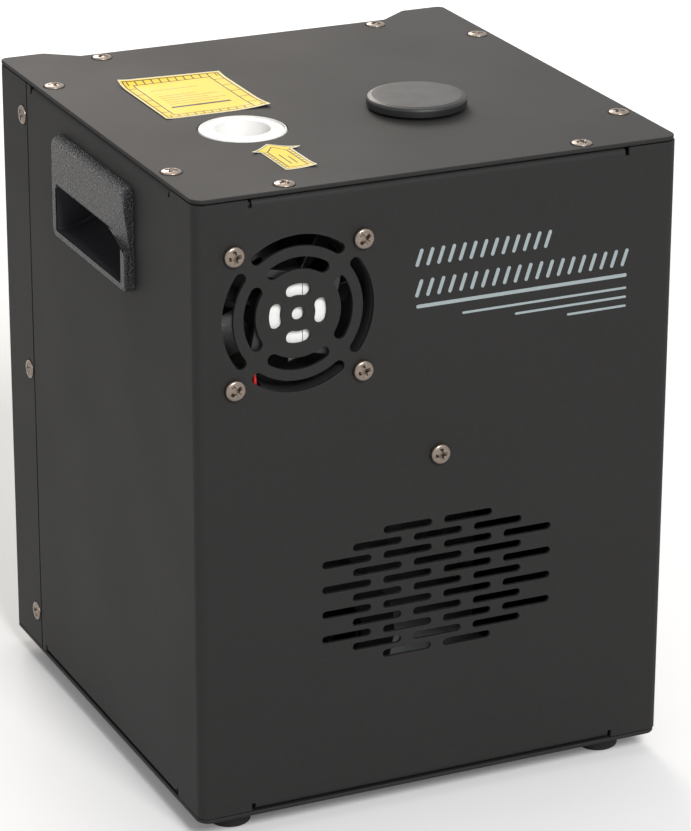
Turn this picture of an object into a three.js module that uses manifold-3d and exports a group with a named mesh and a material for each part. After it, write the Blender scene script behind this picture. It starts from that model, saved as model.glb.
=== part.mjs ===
// A compact cold spark machine: a folded sheet steel case on rubber feet, with a spark
// nozzle and a powder port on top, a fan and air slots in front, and its controls behind.
// Millimetres, +Z up, the front faces -Y, and the feet stand on z = 0.
import * as THREE from "three";
import { ConvexGeometry } from "three/addons/geometries/ConvexGeometry.js";
import { mergeVertices } from "three/addons/utils/BufferGeometryUtils.js";
import Module from "manifold-3d";

const wasm = await Module();
wasm.setup();

const DEGREE = Math.PI / 180;

// Case
const CASE_WIDTH = 192;
const CASE_DEPTH = 188.7;
const CASE_HEIGHT = 242;
const SHEET = 1.6;
const PLATE_GAP = 0.4;
const PLATE_CORNER = 5;
const CASE_BEND = 4;
const FLANGE_BEND = 2.4;
const FLANGE_DEPTH = 12;
const FLANGE_ROOT = 8;
const RELIEF_WIDTH = 1.5;
const RELIEF_DEPTH = 3;
const FRONT_FLANGE_INSET = 22;
const SIDE_FLANGE_FRONT = 23.6;
const SIDE_FLANGE_REAR = 5.5;
const SHELL_DEPTH = 167.3;
const SEAM = 1;
const EAR_DEPTH = 9.3;
const EAR_WIDTH = 18;
const EAR_SLOPE = 12.5;
const EAR_BEND = 3;
const REAR_FLANGE_INSET = 2;
const LIP_REACH = 13;
const LIP_ROOT = 5;
const LIP_INSET = 6;

// Clearances
const SEAT = 0.1;
const LAP_GAP = 0.3;
const RUNNING_GAP = 0.3;
const OVERRUN = 1;
const WELD = 0.001;

// Screws
const SCREW_HEAD = 7.6;
const SCREW_HEAD_DEPTH = 1.5;
const SCREW_HEAD_RIM = 0.35;
const SCREW_SHANK = 3.6;
const SCREW_HOLE = 4.4;
const SCREW_LENGTH = 9;
const PAN_HEAD = 7.8;
const PAN_HEAD_HEIGHT = 2.4;
const PAN_HEAD_CROWN = 1.3;
const PAN_CROWN_WIDTH = 5;
const PLATE_SCREW_EDGE = 6;
const PLATE_SCREW_SIDE = 37;
const PLATE_SCREW_FRONT = 35;
const PLATE_SCREW_REAR = 45;
const SEAM_SCREW_SETBACK = 4.8;
const SEAM_SCREW_END = 16;
const BRACKET_SCREW_HEIGHT = 132.8;

// Feet
const FOOT_HEIGHT = 8;
const FOOT_RADIUS = 9;
const FOOT_TAPER = 1;
const FOOT_RECESS_RADIUS = 4;
const FOOT_RECESS_DEPTH = 3;
const FOOT_STEM_RADIUS = 2.2;
const FOOT_STEM_HEIGHT = 4;
const FOOT_SIDE = 18;
const FOOT_FRONT = 16;
const FOOT_REAR = 22;

// Front fan and its grille
const FAN_DEPTH = 25;
const FAN_PITCH = 50;
const FAN_HOLE_EDGE = 5;
const FAN_CORNER = 3;
const FAN_BORE = 28.6;
const FAN_BARREL = 30.6;
const FAN_FLANGE = 3.6;
const FAN_FROM_SIDE = 39.7;
const FAN_FROM_TOP = 46.8;
const FAN_HUB = 15;
const FAN_HUB_PLATE = 2.4;
const FAN_ARM = 3;
const FAN_ARM_DEPTH = 2;
const FAN_ARM_TURN = 30 * DEGREE;
const FAN_SHAFT = 1.6;
const FAN_BEARING_FLOOR = 1;
const ROTOR_HUB = 14.6;
const ROTOR_CLEARANCE = 1;
const ROTOR_TIP_GAP = 1;
const ROTOR_BLADE = 1.4;
const ROTOR_BLADE_CHORD = 15;
const ROTOR_BLADE_TURN = 50 * DEGREE;
const GRILLE_OUTER = 29.5;
const GRILLE_OUTER_INSIDE = 25.2;
const GRILLE_MIDDLE = 21.2;
const GRILLE_MIDDLE_INSIDE = 16.6;
const GRILLE_INNER = 11.3;
const GRILLE_INNER_INSIDE = 6.6;
const GRILLE_HOLE = 2.5;
const GRILLE_OUTER_SPREAD = 40 * DEGREE;
const GRILLE_MIDDLE_SPREAD = 38 * DEGREE;
const GRILLE_INNER_SPREAD = 31 * DEGREE;

// Air slots below
const VENT_HEIGHT = 80.85;
const VENT_PITCH_X = 12.35;
const VENT_PITCH_Z = 9.96;
const VENT_LENGTH = 19.7;
const VENT_WIDTH = 3;
const REAR_VENT_HEIGHT = 96;
const REAR_VENT_PITCH = 8;
const REAR_VENT_LENGTH = 22;

// Side handles
const HANDLE_WIDTH = 75;
const HANDLE_HEIGHT = 40.1;
const HANDLE_PROUD = 4;
const HANDLE_CORNER = 3;
const HANDLE_CHAMFER = 1.2;
const HANDLE_DEPTH = 22;
const HANDLE_LAP = 1.7;
const HANDLE_WALL = 2.2;
const HANDLE_RIM = 2.9;
const HANDLE_BAND = 19.5;
const HANDLE_BAND_THICKNESS = 6;
const HANDLE_ROOF = 4.5;
const HANDLE_FROM_FRONT = 94.3;
const HANDLE_FROM_TOP = 31.55;

// Spark nozzle, heater and air path
const NOZZLE_FROM_SIDE = 49.6;
const PORT_FROM_FRONT = 72.7;
const NOZZLE_RADIUS = 16.5;
const NOZZLE_MOUTH = 13;
const NOZZLE_THROAT = 8.6;
const NOZZLE_FUNNEL = 11;
const NOZZLE_LENGTH = 40;
const NOZZLE_FLANGE_RADIUS = 21;
const NOZZLE_FLANGE = 3;
const NOZZLE_SOCKET = 5;
const TUBE_RADIUS = 13;
const TUBE_WALL = 2;
const TUBE_FLANGE_RADIUS = 20;
const TUBE_FLANGE = 3;
const TUBE_TAIL = 7;
const BAND_WALL = 4.2;
const BAND_HEIGHT = 30;
const BAND_ABOVE_NOSE = 2;
const SLEEVE_WALL = 6.2;
const SLEEVE_HEIGHT = 68;
const DUCT_WALL = 2;
const DUCT_COLLAR = 8;
const DUCT_NECK = 5;

// Blower
const BLOWER_WIDTH = 30;
const BLOWER_SCROLL = 36;
const BLOWER_CUTOFF = 26;
const BLOWER_WALL = 2;
const BLOWER_FLOOR_GAP = 4;
const BLOWER_OUTLET = 45;
const BLOWER_INLET = 16;
const BLOWER_FOOT = 40;
const BLOWER_TONGUE_TURN = 310 * DEGREE;
const IMPELLER_RADIUS = 22;
const IMPELLER_EYE = 15.5;
const IMPELLER_PLATE = 1.6;
const IMPELLER_SIDE_GAP = 1.2;
const IMPELLER_BLADE = 0.9;
const IMPELLER_BLADE_TURN = 30 * DEGREE;
const IMPELLER_HUB = 6;
const IMPELLER_SHAFT = 2;
const BLOWER_MOTOR_RADIUS = 14;
const BLOWER_MOTOR_LENGTH = 18;
const BLOWER_SHAFT_REACH = 8;

// Powder port, hopper and feed
const CAP_FROM_SIDE = 71.5;
const CAP_RADIUS = 19;
const CAP_HEIGHT = 4.8;
const CAP_EDGE = 1.4;
const CAP_PLUG_DEPTH = 8;
const PORT_BORE = 14.5;
const PORT_WALL = 2.5;
const PORT_LENGTH = 14;
const PORT_FLANGE_RADIUS = 22;
const PORT_FLANGE = 3;
const HOPPER_RADIUS = 29;
const HOPPER_WALL = 2;
const HOPPER_CONE = 32;
const HOPPER_NECK = 8;
const HOPPER_NECK_LENGTH = 8;
const HOPPER_NECK_SEAT = 7;
const FEED_RISE = 19;
const FEED_BORE = 5;
const FEED_TUBE = 9;
const FEED_NOSE = 6.6;
const FEED_NOSE_GAP = 1;
const FEED_THROAT = 4;
const FEED_BOSS = 11;
const FEED_BOSS_HEIGHT = 14;
const FEED_LEG = 8;
const FEED_LEG_WIDTH = 22;
const FEED_TAIL = 20;
const LANTERN_RADIUS = 13;
const LANTERN_BORE = 9;
const LANTERN_LENGTH = 15;
const LANTERN_FLOOR = 1;
const SCREW_CORE = 2.2;
const SCREW_SETBACK = 1;
const SCREW_FLIGHT = 4.5;
const SCREW_PITCH = 11;
const COUPLER_RADIUS = 6;
const COUPLER_LENGTH = 11;
const COUPLER_GRIP = 6;
const COUPLER_GAP = 1;
const DRIVE_STUB = 3;
const DRIVE_STUB_LENGTH = 8;
const GEARBOX_RADIUS = 16;
const GEARBOX_LENGTH = 14;
const FEED_MOTOR_RADIUS = 13;
const FEED_MOTOR_LENGTH = 14;

// Inner chassis
const PARTITION_FROM_REAR = 76;
const PARTITION_TOP_GAP = 14;
const PARTITION_FOOT = 12;
const PARTITION_CABLE_HOLE = 8;
const CHASSIS_SIDE_GAP = 3;
const SHELF_BELOW_SCREW = 13.2;
const SHELF_TAB_WIDTH = 24;
const SHELF_TAB_ABOVE = 10;
const SHELF_REAR_FLANGE = 14;

// Electronics
const SUPPLY_WIDTH = 129;
const SUPPLY_DEPTH = 30;
const SUPPLY_HEIGHT = 97;
const SUPPLY_RAISE = 3;
const SUPPLY_STEP = 12;
const BOARD = 1.6;
const CONTROL_WIDTH = 100;
const CONTROL_HEIGHT = 70;
const CONTROL_ABOVE_SUPPLY = 14;
const SPACER = 4;
const SPACER_RADIUS = 3;
const SPACER_INSET = 5;
const CHIP_WIDTH = 18;
const CHIP_THICKNESS = 3;
const COIL_HEIGHT = 9;
const SINK_WIDTH = 40;
const SINK_HEIGHT = 18;

// Rear controls
const DISPLAY_WIDTH = 52;
const DISPLAY_TALL = 20;
const DISPLAY_BORDER = 3;
const DISPLAY_LENS = 1.4;
const DISPLAY_CORNER = 2;
const DISPLAY_BOARD_WIDTH = 92;
const DISPLAY_BOARD_TALL = 56;
const DISPLAY_BOARD_DROP = 11;
const DISPLAY_BOARD_HEADROOM = 18.4;
const DISPLAY_BOARD_GAP = 8;
const DISPLAY_MODULE_GAP = 1;
const BUTTON_DROP = 24;
const BUTTON_PITCH = 20;
const BUTTON_RADIUS = 4;
const BUTTON_PROUD = 2.2;
const BUTTON_RIM = 1.2;
const BUTTON_RIM_THICKNESS = 1;
const BUTTON_TAIL = 1.4;
const BUTTON_STROKE_GAP = 0.95;
const SWITCH_STEM_RADIUS = 2.4;
const DMX_BELOW_BOARD = 8.5;
const DMX_SPACING = 52;
const DMX_FLANGE_WIDTH = 26;
const DMX_FLANGE_TALL = 31;
const DMX_FLANGE = 2;
const DMX_FLANGE_CORNER = 2;
const DMX_BODY = 11.8;
const DMX_BODY_DEPTH = 20;
const DMX_CUP = 9.4;
const DMX_CUP_DEPTH = 15;
const DMX_PIN = 1.1;
const DMX_PIN_CIRCLE = 4.2;
const DMX_PIN_LENGTH = 12;
const DMX_CORE = 8;
const DMX_LATCH_WIDTH = 7;
const DMX_LATCH_TALL = 3.2;
const DMX_LATCH_PROUD = 1.8;
const DMX_LATCH_DEPTH = 3;
const DMX_LATCH_RISE = 12.3;
const DMX_LATCH_POCKET = 6;
const POWER_HEIGHT = 46;
const INLET_X = 27;
const INLET_FLANGE_WIDTH = 48;
const INLET_FLANGE_TALL = 24;
const INLET_FLANGE = 2.6;
const INLET_FLANGE_CORNER = 4;
const INLET_BODY_WIDTH = 27.4;
const INLET_BODY_TALL = 20;
const INLET_BODY_DEPTH = 22;
const INLET_BODY_CORNER = 2;
const INLET_CUP_WIDTH = 24;
const INLET_CUP_TALL = 16.4;
const INLET_CUP_DEPTH = 15;
const INLET_CUP_CORNER = 4;
const INLET_PIN_WIDTH = 2;
const INLET_PIN_TALL = 4;
const INLET_PIN_LENGTH = 12;
const INLET_PIN_SPREAD = 7;
const INLET_PIN_RISE = 1.5;
const INLET_PIN_DROP = 3;
const FUSE_X = -16;
const FUSE_BODY = 6.4;
const FUSE_BORE = 3.6;
const FUSE_DEPTH = 26;
const FUSE_FLANGE = 8.5;
const FUSE_FLANGE_THICKNESS = 1.8;
const FUSE_CAP = 6.3;
const FUSE_CAP_HEIGHT = 5;
const FUSE_STEM = 3.2;
const FUSE_STEM_LENGTH = 22;
const FUSE_END_GAP = 1;
const FUSE_NUT = 8.6;
const FUSE_NUT_THICKNESS = 3;
const NUT_SIDES = 6;
const ROCKER_X = -44;
const ROCKER_FRAME_WIDTH = 15;
const ROCKER_FRAME_TALL = 21;
const ROCKER_FRAME = 2;
const ROCKER_FRAME_CORNER = 1.5;
const ROCKER_BODY_WIDTH = 12.8;
const ROCKER_BODY_TALL = 19;
const ROCKER_BODY_DEPTH = 19;
const ROCKER_WIDTH = 9.6;
const ROCKER_SWEEP = 8.2;
const ROCKER_CREST = 3.6;
const ROCKER_KEEL = 3;
const ROCKER_PIVOT_DEPTH = 1.6;
const ROCKER_PIN = 1.1;
const ROCKER_PIN_LENGTH = 0.9;
const ROCKER_SIDE_GAP = 0.35;
const ROCKER_END_GAP = 0.4;
const ROCKER_TILT = 9 * DEGREE;

// Counts of faces and repeats
const FINE = 28;
const ROUND = 18;
const SMALL = 10;
const ARC_STEPS = 3;
const SLOT_STEPS = 1;
const GRILLE_STEPS = 5;
const FAN_BLADES = 7;
const IMPELLER_BLADES = 14;
const FLIGHT_STEPS = 8;
const VENT_COLUMNS = [4, 5, 6, 5, 6, 5, 4];
const REAR_VENT_COUNT = 9;

// Places worked out from the sizes
const HALF_WIDTH = CASE_WIDTH / 2;
const FRONT = -(CASE_DEPTH + EAR_DEPTH) / 2;
const REAR = FRONT + CASE_DEPTH;
const EAR = REAR + EAR_DEPTH;
const BASE = FOOT_HEIGHT;
const FLOOR = BASE + SHEET;
const TOP = BASE + CASE_HEIGHT;
const CEILING = TOP - SHEET;
const SHELL_LOW = FLOOR + PLATE_GAP;
const SHELL_HIGH = CEILING - PLATE_GAP;
const SEAM_Y = FRONT + SHELL_DEPTH;
const INNER_FRONT = FRONT + SHEET;
const INNER_REAR = REAR - SHEET;
const FAN_SIZE = FAN_PITCH + 2 * FAN_HOLE_EDGE;
const FAN_X = -HALF_WIDTH + FAN_FROM_SIDE;
const FAN_Z = TOP - FAN_FROM_TOP;
const NOZZLE_X = -HALF_WIDTH + NOZZLE_FROM_SIDE;
const PORT_Y = FRONT + PORT_FROM_FRONT;
const CAP_X = HALF_WIDTH - CAP_FROM_SIDE;
const HANDLE_Y = FRONT + HANDLE_FROM_FRONT;
const HANDLE_Z = TOP - HANDLE_FROM_TOP;
const BRACKET_SCREW_Z = BASE + BRACKET_SCREW_HEIGHT;
const SHELF_Z = BRACKET_SCREW_Z - SHELF_BELOW_SCREW;
const FEED_Z = SHELF_Z + FEED_RISE;
const CHASSIS_HALF = HALF_WIDTH - HANDLE_DEPTH - CHASSIS_SIDE_GAP;
const PARTITION_Y = REAR - PARTITION_FROM_REAR;
const SUPPLY_Y = PARTITION_Y + SEAT;
const SUPPLY_TOP = FLOOR + SUPPLY_RAISE + SUPPLY_HEIGHT;
const HEAD_SIZE = SCREW_HEAD / 2;
const HOLE_SIZE = SCREW_HOLE / 2;
const DISPLAY_BOARD_TOP = CEILING - DISPLAY_BOARD_HEADROOM;
const DISPLAY_BOARD_Z = DISPLAY_BOARD_TOP - DISPLAY_BOARD_TALL / 2;
const LENS_Z = DISPLAY_BOARD_Z + DISPLAY_BOARD_DROP;
const BUTTON_Z = LENS_Z - BUTTON_DROP;
const DMX_Z = DISPLAY_BOARD_TOP - DISPLAY_BOARD_TALL - DMX_BELOW_BOARD - DMX_FLANGE_TALL / 2;
const POWER_Z = BASE + POWER_HEIGHT;

const powderCoat = new THREE.MeshStandardMaterial({ color: 0x2e2e2f, roughness: 0.55, metalness: 0.35 });
const handlePlastic = new THREE.MeshStandardMaterial({ color: 0x1c1c1d, roughness: 0.62, metalness: 0 });
const rubber = new THREE.MeshStandardMaterial({ color: 0x202122, roughness: 0.85, metalness: 0 });
const capRubber = new THREE.MeshStandardMaterial({ color: 0x3b3d3f, roughness: 0.7, metalness: 0 });
const ceramic = new THREE.MeshStandardMaterial({ color: 0xf2f1ec, roughness: 0.4, metalness: 0 });
const nickel = new THREE.MeshStandardMaterial({ color: 0xb7aca2, roughness: 0.3, metalness: 1 });
const steel = new THREE.MeshStandardMaterial({ color: 0x9a9da0, roughness: 0.35, metalness: 1 });
const aluminium = new THREE.MeshStandardMaterial({ color: 0xc2c5c7, roughness: 0.4, metalness: 1 });
const blackPlastic = new THREE.MeshStandardMaterial({ color: 0x141415, roughness: 0.5, metalness: 0 });
const insulation = new THREE.MeshStandardMaterial({ color: 0xd9d4c6, roughness: 0.95, metalness: 0 });
const board = new THREE.MeshStandardMaterial({ color: 0x1c5a35, roughness: 0.5, metalness: 0 });
const lens = new THREE.MeshStandardMaterial({ color: 0x2a0a0c, roughness: 0.12, metalness: 0 });
const brass = new THREE.MeshStandardMaterial({ color: 0xb59a52, roughness: 0.35, metalness: 1 });
const buttonPlastic = new THREE.MeshStandardMaterial({ color: 0xd8d8d6, roughness: 0.5, metalness: 0 });

const X_AXIS = new THREE.Vector3(1, 0, 0);
const Y_AXIS = new THREE.Vector3(0, 1, 0);
const Z_AXIS = new THREE.Vector3(0, 0, 1);
const BACKWARD = Y_AXIS.clone().negate();
const FRAMES = {
  x: new THREE.Matrix4().makeBasis(Y_AXIS, Z_AXIS, X_AXIS),
  y: new THREE.Matrix4().makeBasis(X_AXIS, Z_AXIS, BACKWARD),
  z: new THREE.Matrix4(),
};

// A closed mesh as a solid that can be joined and cut.
function solid(geometry) {
  const bare = geometry.clone();
  bare.deleteAttribute("normal");
  bare.deleteAttribute("uv");
  const merged = mergeVertices(bare, WELD);
  return new wasm.Manifold(
    new wasm.Mesh({
      numProp: 3,
      vertProperties: merged.attributes.position.array,
      triVerts: new Uint32Array(merged.index.array),
    }),
  );
}

// A named piece from a finished solid.
function piece(name, body, material) {
  const made = body.getMesh();
  const geometry = new THREE.BufferGeometry();
  geometry.setAttribute("position", new THREE.BufferAttribute(made.vertProperties, 3));
  geometry.setIndex(new THREE.BufferAttribute(made.triVerts, 1));
  geometry.computeVertexNormals();
  const mesh = new THREE.Mesh(geometry, material);
  mesh.name = name;
  return mesh;
}

// Copies of one piece, each named and set in its own place.
function copies(name, body, material, places) {
  return places.map(([x, y, z], i) => {
    const mesh = piece(`${name}_${i + 1}`, body, material);
    mesh.position.set(x, y, z);
    return mesh;
  });
}

function join(...bodies) {
  return bodies.reduce((whole, next) => whole.add(next));
}

function cut(body, ...tools) {
  return tools.reduce((left, tool) => left.subtract(tool), body);
}

// A drawing made solid along an axis. It is drawn in (y, z) for x, (x, z) for y and (x, y) for z.
function along(axis, drawing, from, to) {
  const low = Math.min(from, to);
  const high = Math.max(from, to);
  const geometry = new THREE.ExtrudeGeometry(drawing, { depth: high - low, bevelEnabled: false });
  geometry.applyMatrix4(FRAMES[axis]);
  if (axis === "x") geometry.translate(low, 0, 0);
  if (axis === "y") geometry.translate(0, high, 0);
  if (axis === "z") geometry.translate(0, 0, low);
  return solid(geometry);
}

function polygon(points) {
  return new THREE.Shape(points.map(([x, y]) => new THREE.Vector2(x, y)));
}

function disc(x, y, radius, sides) {
  const points = [];
  for (let i = 0; i < sides; i += 1) {
    const turn = (2 * Math.PI * (i + 0.5)) / sides;
    points.push([x + radius * Math.cos(turn), y + radius * Math.sin(turn)]);
  }
  return polygon(points);
}

// A line of corners given as x, y and a radius, with each corner rounded.
function rounded(corners, closed, steps = ARC_STEPS) {
  const count = corners.length;
  const points = [];
  corners.forEach(([x, y, radius = 0], i) => {
    const atEnd = !closed && (i === 0 || i === count - 1);
    if (radius <= 0 || atEnd) {
      points.push([x, y]);
      return;
    }
    const corner = new THREE.Vector2(x, y);
    const [beforeX, beforeY] = corners[(i + count - 1) % count];
    const [afterX, afterY] = corners[(i + 1) % count];
    const before = new THREE.Vector2(beforeX, beforeY).sub(corner).normalize();
    const after = new THREE.Vector2(afterX, afterY).sub(corner).normalize();
    const half = Math.acos(before.dot(after)) / 2;
    const centre = before.clone().add(after).normalize();
    centre.multiplyScalar(radius / Math.sin(half)).add(corner);
    const start = before.multiplyScalar(radius / Math.tan(half)).add(corner).sub(centre);
    const finish = after.multiplyScalar(radius / Math.tan(half)).add(corner).sub(centre);
    const sweep = Math.atan2(start.cross(finish), start.dot(finish));
    for (let step = 0; step <= steps; step += 1) {
      const turn = start.angle() + (sweep * step) / steps;
      points.push([centre.x + radius * Math.cos(turn), centre.y + radius * Math.sin(turn)]);
    }
  });
  return points;
}

function rectangle(x, y, width, height, radius, steps) {
  const corners = [
    [x - width / 2, y - height / 2, radius],
    [x + width / 2, y - height / 2, radius],
    [x + width / 2, y + height / 2, radius],
    [x - width / 2, y + height / 2, radius],
  ];
  return polygon(rounded(corners, true, steps));
}

function block(x0, x1, y0, y1, z0, z1) {
  const geometry = new THREE.BoxGeometry(Math.abs(x1 - x0), Math.abs(y1 - y0), Math.abs(z1 - z0));
  geometry.translate((x0 + x1) / 2, (y0 + y1) / 2, (z0 + z1) / 2);
  return solid(geometry);
}

// The edge-on section of a folded sheet, from the corners of its outer face. A positive wall lies
// to the left of the line, and a negative one to its right.
function folded(corners, wall) {
  const outer = rounded(corners, false).map(([x, y]) => new THREE.Vector2(x, y));
  const inner = outer.map((point, i) => {
    const before = i > 0 ? point.clone().sub(outer[i - 1]) : outer[1].clone().sub(point);
    const after = i < outer.length - 1 ? outer[i + 1].clone().sub(point) : before.clone();
    const first = new THREE.Vector2(-before.y, before.x).normalize();
    const second = new THREE.Vector2(-after.y, after.x).normalize();
    const mitre = first.clone().add(second).normalize();
    return mitre.multiplyScalar(wall / mitre.dot(first)).add(point);
  });
  return new THREE.Shape([...outer, ...inner.reverse()]);
}

// A round body from a profile of radius and height, standing on a place or lying along an axis.
function turned(profile, sides, axis = "z", place = [0, 0, 0]) {
  const points = profile.map(([radius, height]) => new THREE.Vector2(radius, height));
  if (THREE.ShapeUtils.area(points) < 0) points.reverse();
  const geometry = new THREE.LatheGeometry(points, sides);
  geometry.rotateY(Math.PI / sides);
  if (axis === "z") geometry.rotateX(Math.PI / 2);
  if (axis === "x") geometry.rotateZ(-Math.PI / 2);
  geometry.translate(...place);
  return solid(geometry);
}

function rod(axis, u, v, radius, from, to, sides = ROUND) {
  return along(axis, disc(u, v, radius, sides), from, to);
}

function hull(points) {
  return solid(new ConvexGeometry(points.map(([x, y, z]) => new THREE.Vector3(x, y, z))));
}

// A slot with round ends that runs along the first axis, or along the second when it is upright.
function obround(x, y, length, width, upright) {
  const across = upright ? width : length;
  const tall = upright ? length : width;
  return rectangle(x, y, across, tall, width / 2, SLOT_STEPS);
}

// A slot bent round the grille's centre, with round ends.
function arcSlot(inside, outside, spread, middle) {
  const radius = (inside + outside) / 2;
  const half = (outside - inside) / 2;
  const reach = spread - Math.asin(half / radius);
  const points = [];
  const steps = Math.max(2, Math.round((GRILLE_STEPS * outside) / GRILLE_OUTER));
  for (let i = 0; i <= steps; i += 1) {
    const turn = middle - reach + (2 * reach * i) / steps;
    points.push([outside * Math.cos(turn), outside * Math.sin(turn)]);
  }
  for (let i = 1; i < ARC_STEPS; i += 1) {
    const turn = middle + reach + (Math.PI * i) / ARC_STEPS;
    points.push([
      radius * Math.cos(middle + reach) + half * Math.cos(turn),
      radius * Math.sin(middle + reach) + half * Math.sin(turn),
    ]);
  }
  for (let i = 0; i <= steps; i += 1) {
    const turn = middle + reach - (2 * reach * i) / steps;
    points.push([inside * Math.cos(turn), inside * Math.sin(turn)]);
  }
  for (let i = 1; i < ARC_STEPS; i += 1) {
    const turn = middle - reach + Math.PI + (Math.PI * i) / ARC_STEPS;
    points.push([
      radius * Math.cos(middle - reach) + half * Math.cos(turn),
      radius * Math.sin(middle - reach) + half * Math.sin(turn),
    ]);
  }
  return polygon(points.map(([x, z]) => [FAN_X + x, FAN_Z + z]));
}

// Where the plates are screwed to the shell and the rear cover.
function plateScrewPlaces() {
  const places = [];
  for (const side of [-1, 1]) {
    places.push([side * (HALF_WIDTH - PLATE_SCREW_SIDE), FRONT + PLATE_SCREW_EDGE]);
    places.push([side * (HALF_WIDTH - PLATE_SCREW_SIDE), REAR - PLATE_SCREW_EDGE]);
    places.push([side * (HALF_WIDTH - PLATE_SCREW_EDGE), FRONT + PLATE_SCREW_FRONT]);
    places.push([side * (HALF_WIDTH - PLATE_SCREW_EDGE), EAR - PLATE_SCREW_REAR]);
  }
  return places;
}

function fanScrewPlaces() {
  const half = FAN_PITCH / 2;
  return [
    [FAN_X - half, FAN_Z + half],
    [FAN_X + half, FAN_Z + half],
    [FAN_X - half, FAN_Z - half],
    [FAN_X + half, FAN_Z - half],
  ];
}

function footPlaces() {
  const x = HALF_WIDTH - FOOT_SIDE;
  return [
    [-x, FRONT + FOOT_FRONT],
    [x, FRONT + FOOT_FRONT],
    [-x, EAR - FOOT_REAR],
    [x, EAR - FOOT_REAR],
  ];
}

// A plain screw hole with a countersink that opens at the level given, facing up or down.
function countersink(x, y, level, up) {
  const radius = HEAD_SIZE + LAP_GAP;
  const profile = [
    [0, up * OVERRUN],
    [radius, up * OVERRUN],
    [radius, 0],
    [HOLE_SIZE, -up * SCREW_HEAD_DEPTH],
    [HOLE_SIZE, -up * (SHEET + OVERRUN)],
    [0, -up * (SHEET + OVERRUN)],
  ];
  return turned(profile, SMALL, "z", [x, y, level]);
}

// The outline that both plates share: square in front, with two ears behind.
function plateOutline() {
  const ear = HALF_WIDTH - EAR_WIDTH;
  const notch = ear - EAR_SLOPE;
  const corners = [
    [-HALF_WIDTH, FRONT, PLATE_CORNER],
    [HALF_WIDTH, FRONT, PLATE_CORNER],
    [HALF_WIDTH, EAR, EAR_BEND],
    [ear, EAR, EAR_BEND],
    [notch, REAR, EAR_BEND - SHEET],
    [-notch, REAR, EAR_BEND - SHEET],
    [-ear, EAR, EAR_BEND],
    [-HALF_WIDTH, EAR, EAR_BEND],
  ];
  return polygon(rounded(corners, true));
}

function topPlate() {
  const plate = along("z", plateOutline(), CEILING, TOP);
  const screws = plateScrewPlaces().map(([x, y]) => countersink(x, y, TOP, 1));
  const through = [CEILING - OVERRUN, TOP + OVERRUN];
  const nozzle = rod("z", NOZZLE_X, PORT_Y, NOZZLE_RADIUS + LAP_GAP, ...through, FINE);
  const port = rod("z", CAP_X, PORT_Y, PORT_BORE + PORT_WALL + LAP_GAP, ...through, FINE);
  return piece("top_plate", cut(plate, nozzle, port, ...screws), powderCoat);
}

function bottomPlate() {
  const plate = along("z", plateOutline(), BASE, FLOOR);
  const screws = plateScrewPlaces().map(([x, y]) => countersink(x, y, BASE, -1));
  const stems = footPlaces().map(([x, y]) =>
    rod("z", x, y, FOOT_STEM_RADIUS + LAP_GAP, BASE - OVERRUN, FLOOR + OVERRUN, SMALL),
  );
  return piece("bottom_plate", cut(plate, ...screws, ...stems), powderCoat);
}

// The section of an edge folded in from a wall, at the wall's upper end or its lower one.
function flange(edge, inward, level, up) {
  const corners = [
    [edge + inward * FLANGE_DEPTH, level],
    [edge, level, FLANGE_BEND],
    [edge, level - up * FLANGE_ROOT],
  ];
  return folded(corners, SHEET * inward * up);
}

// The screw holes that the folded edges share with the plates.
function flangeHoles() {
  const holes = plateScrewPlaces().map(([x, y]) => disc(x, y, HOLE_SIZE, SMALL));
  return join(
    along("z", holes, SHELL_LOW - OVERRUN, SHELL_LOW + SHEET + OVERRUN),
    along("z", holes, SHELL_HIGH - SHEET - OVERRUN, SHELL_HIGH + OVERRUN),
  );
}

function seamScrewHeights() {
  const low = BASE + SEAM_SCREW_END;
  const high = TOP - SEAM_SCREW_END;
  return [low, (low + high) / 2, high];
}

function grille() {
  const shapes = [];
  for (let quarter = 0; quarter < 4; quarter += 1) {
    const middle = (quarter * Math.PI) / 2;
    shapes.push(arcSlot(GRILLE_OUTER_INSIDE, GRILLE_OUTER, GRILLE_OUTER_SPREAD, middle));
    shapes.push(arcSlot(GRILLE_MIDDLE_INSIDE, GRILLE_MIDDLE, GRILLE_MIDDLE_SPREAD, middle));
    shapes.push(arcSlot(GRILLE_INNER_INSIDE, GRILLE_INNER, GRILLE_INNER_SPREAD, middle));
  }
  shapes.push(disc(FAN_X, FAN_Z, GRILLE_HOLE, SMALL));
  return shapes;
}

function vents() {
  const shapes = [];
  VENT_COLUMNS.forEach((rows, column) => {
    const x = (column - (VENT_COLUMNS.length - 1) / 2) * VENT_PITCH_X;
    for (let row = 0; row < rows; row += 1) {
      const z = BASE + VENT_HEIGHT + (row - (rows - 1) / 2) * VENT_PITCH_Z;
      shapes.push(obround(x, z, VENT_LENGTH, VENT_WIDTH, false));
    }
  });
  return shapes;
}

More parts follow.
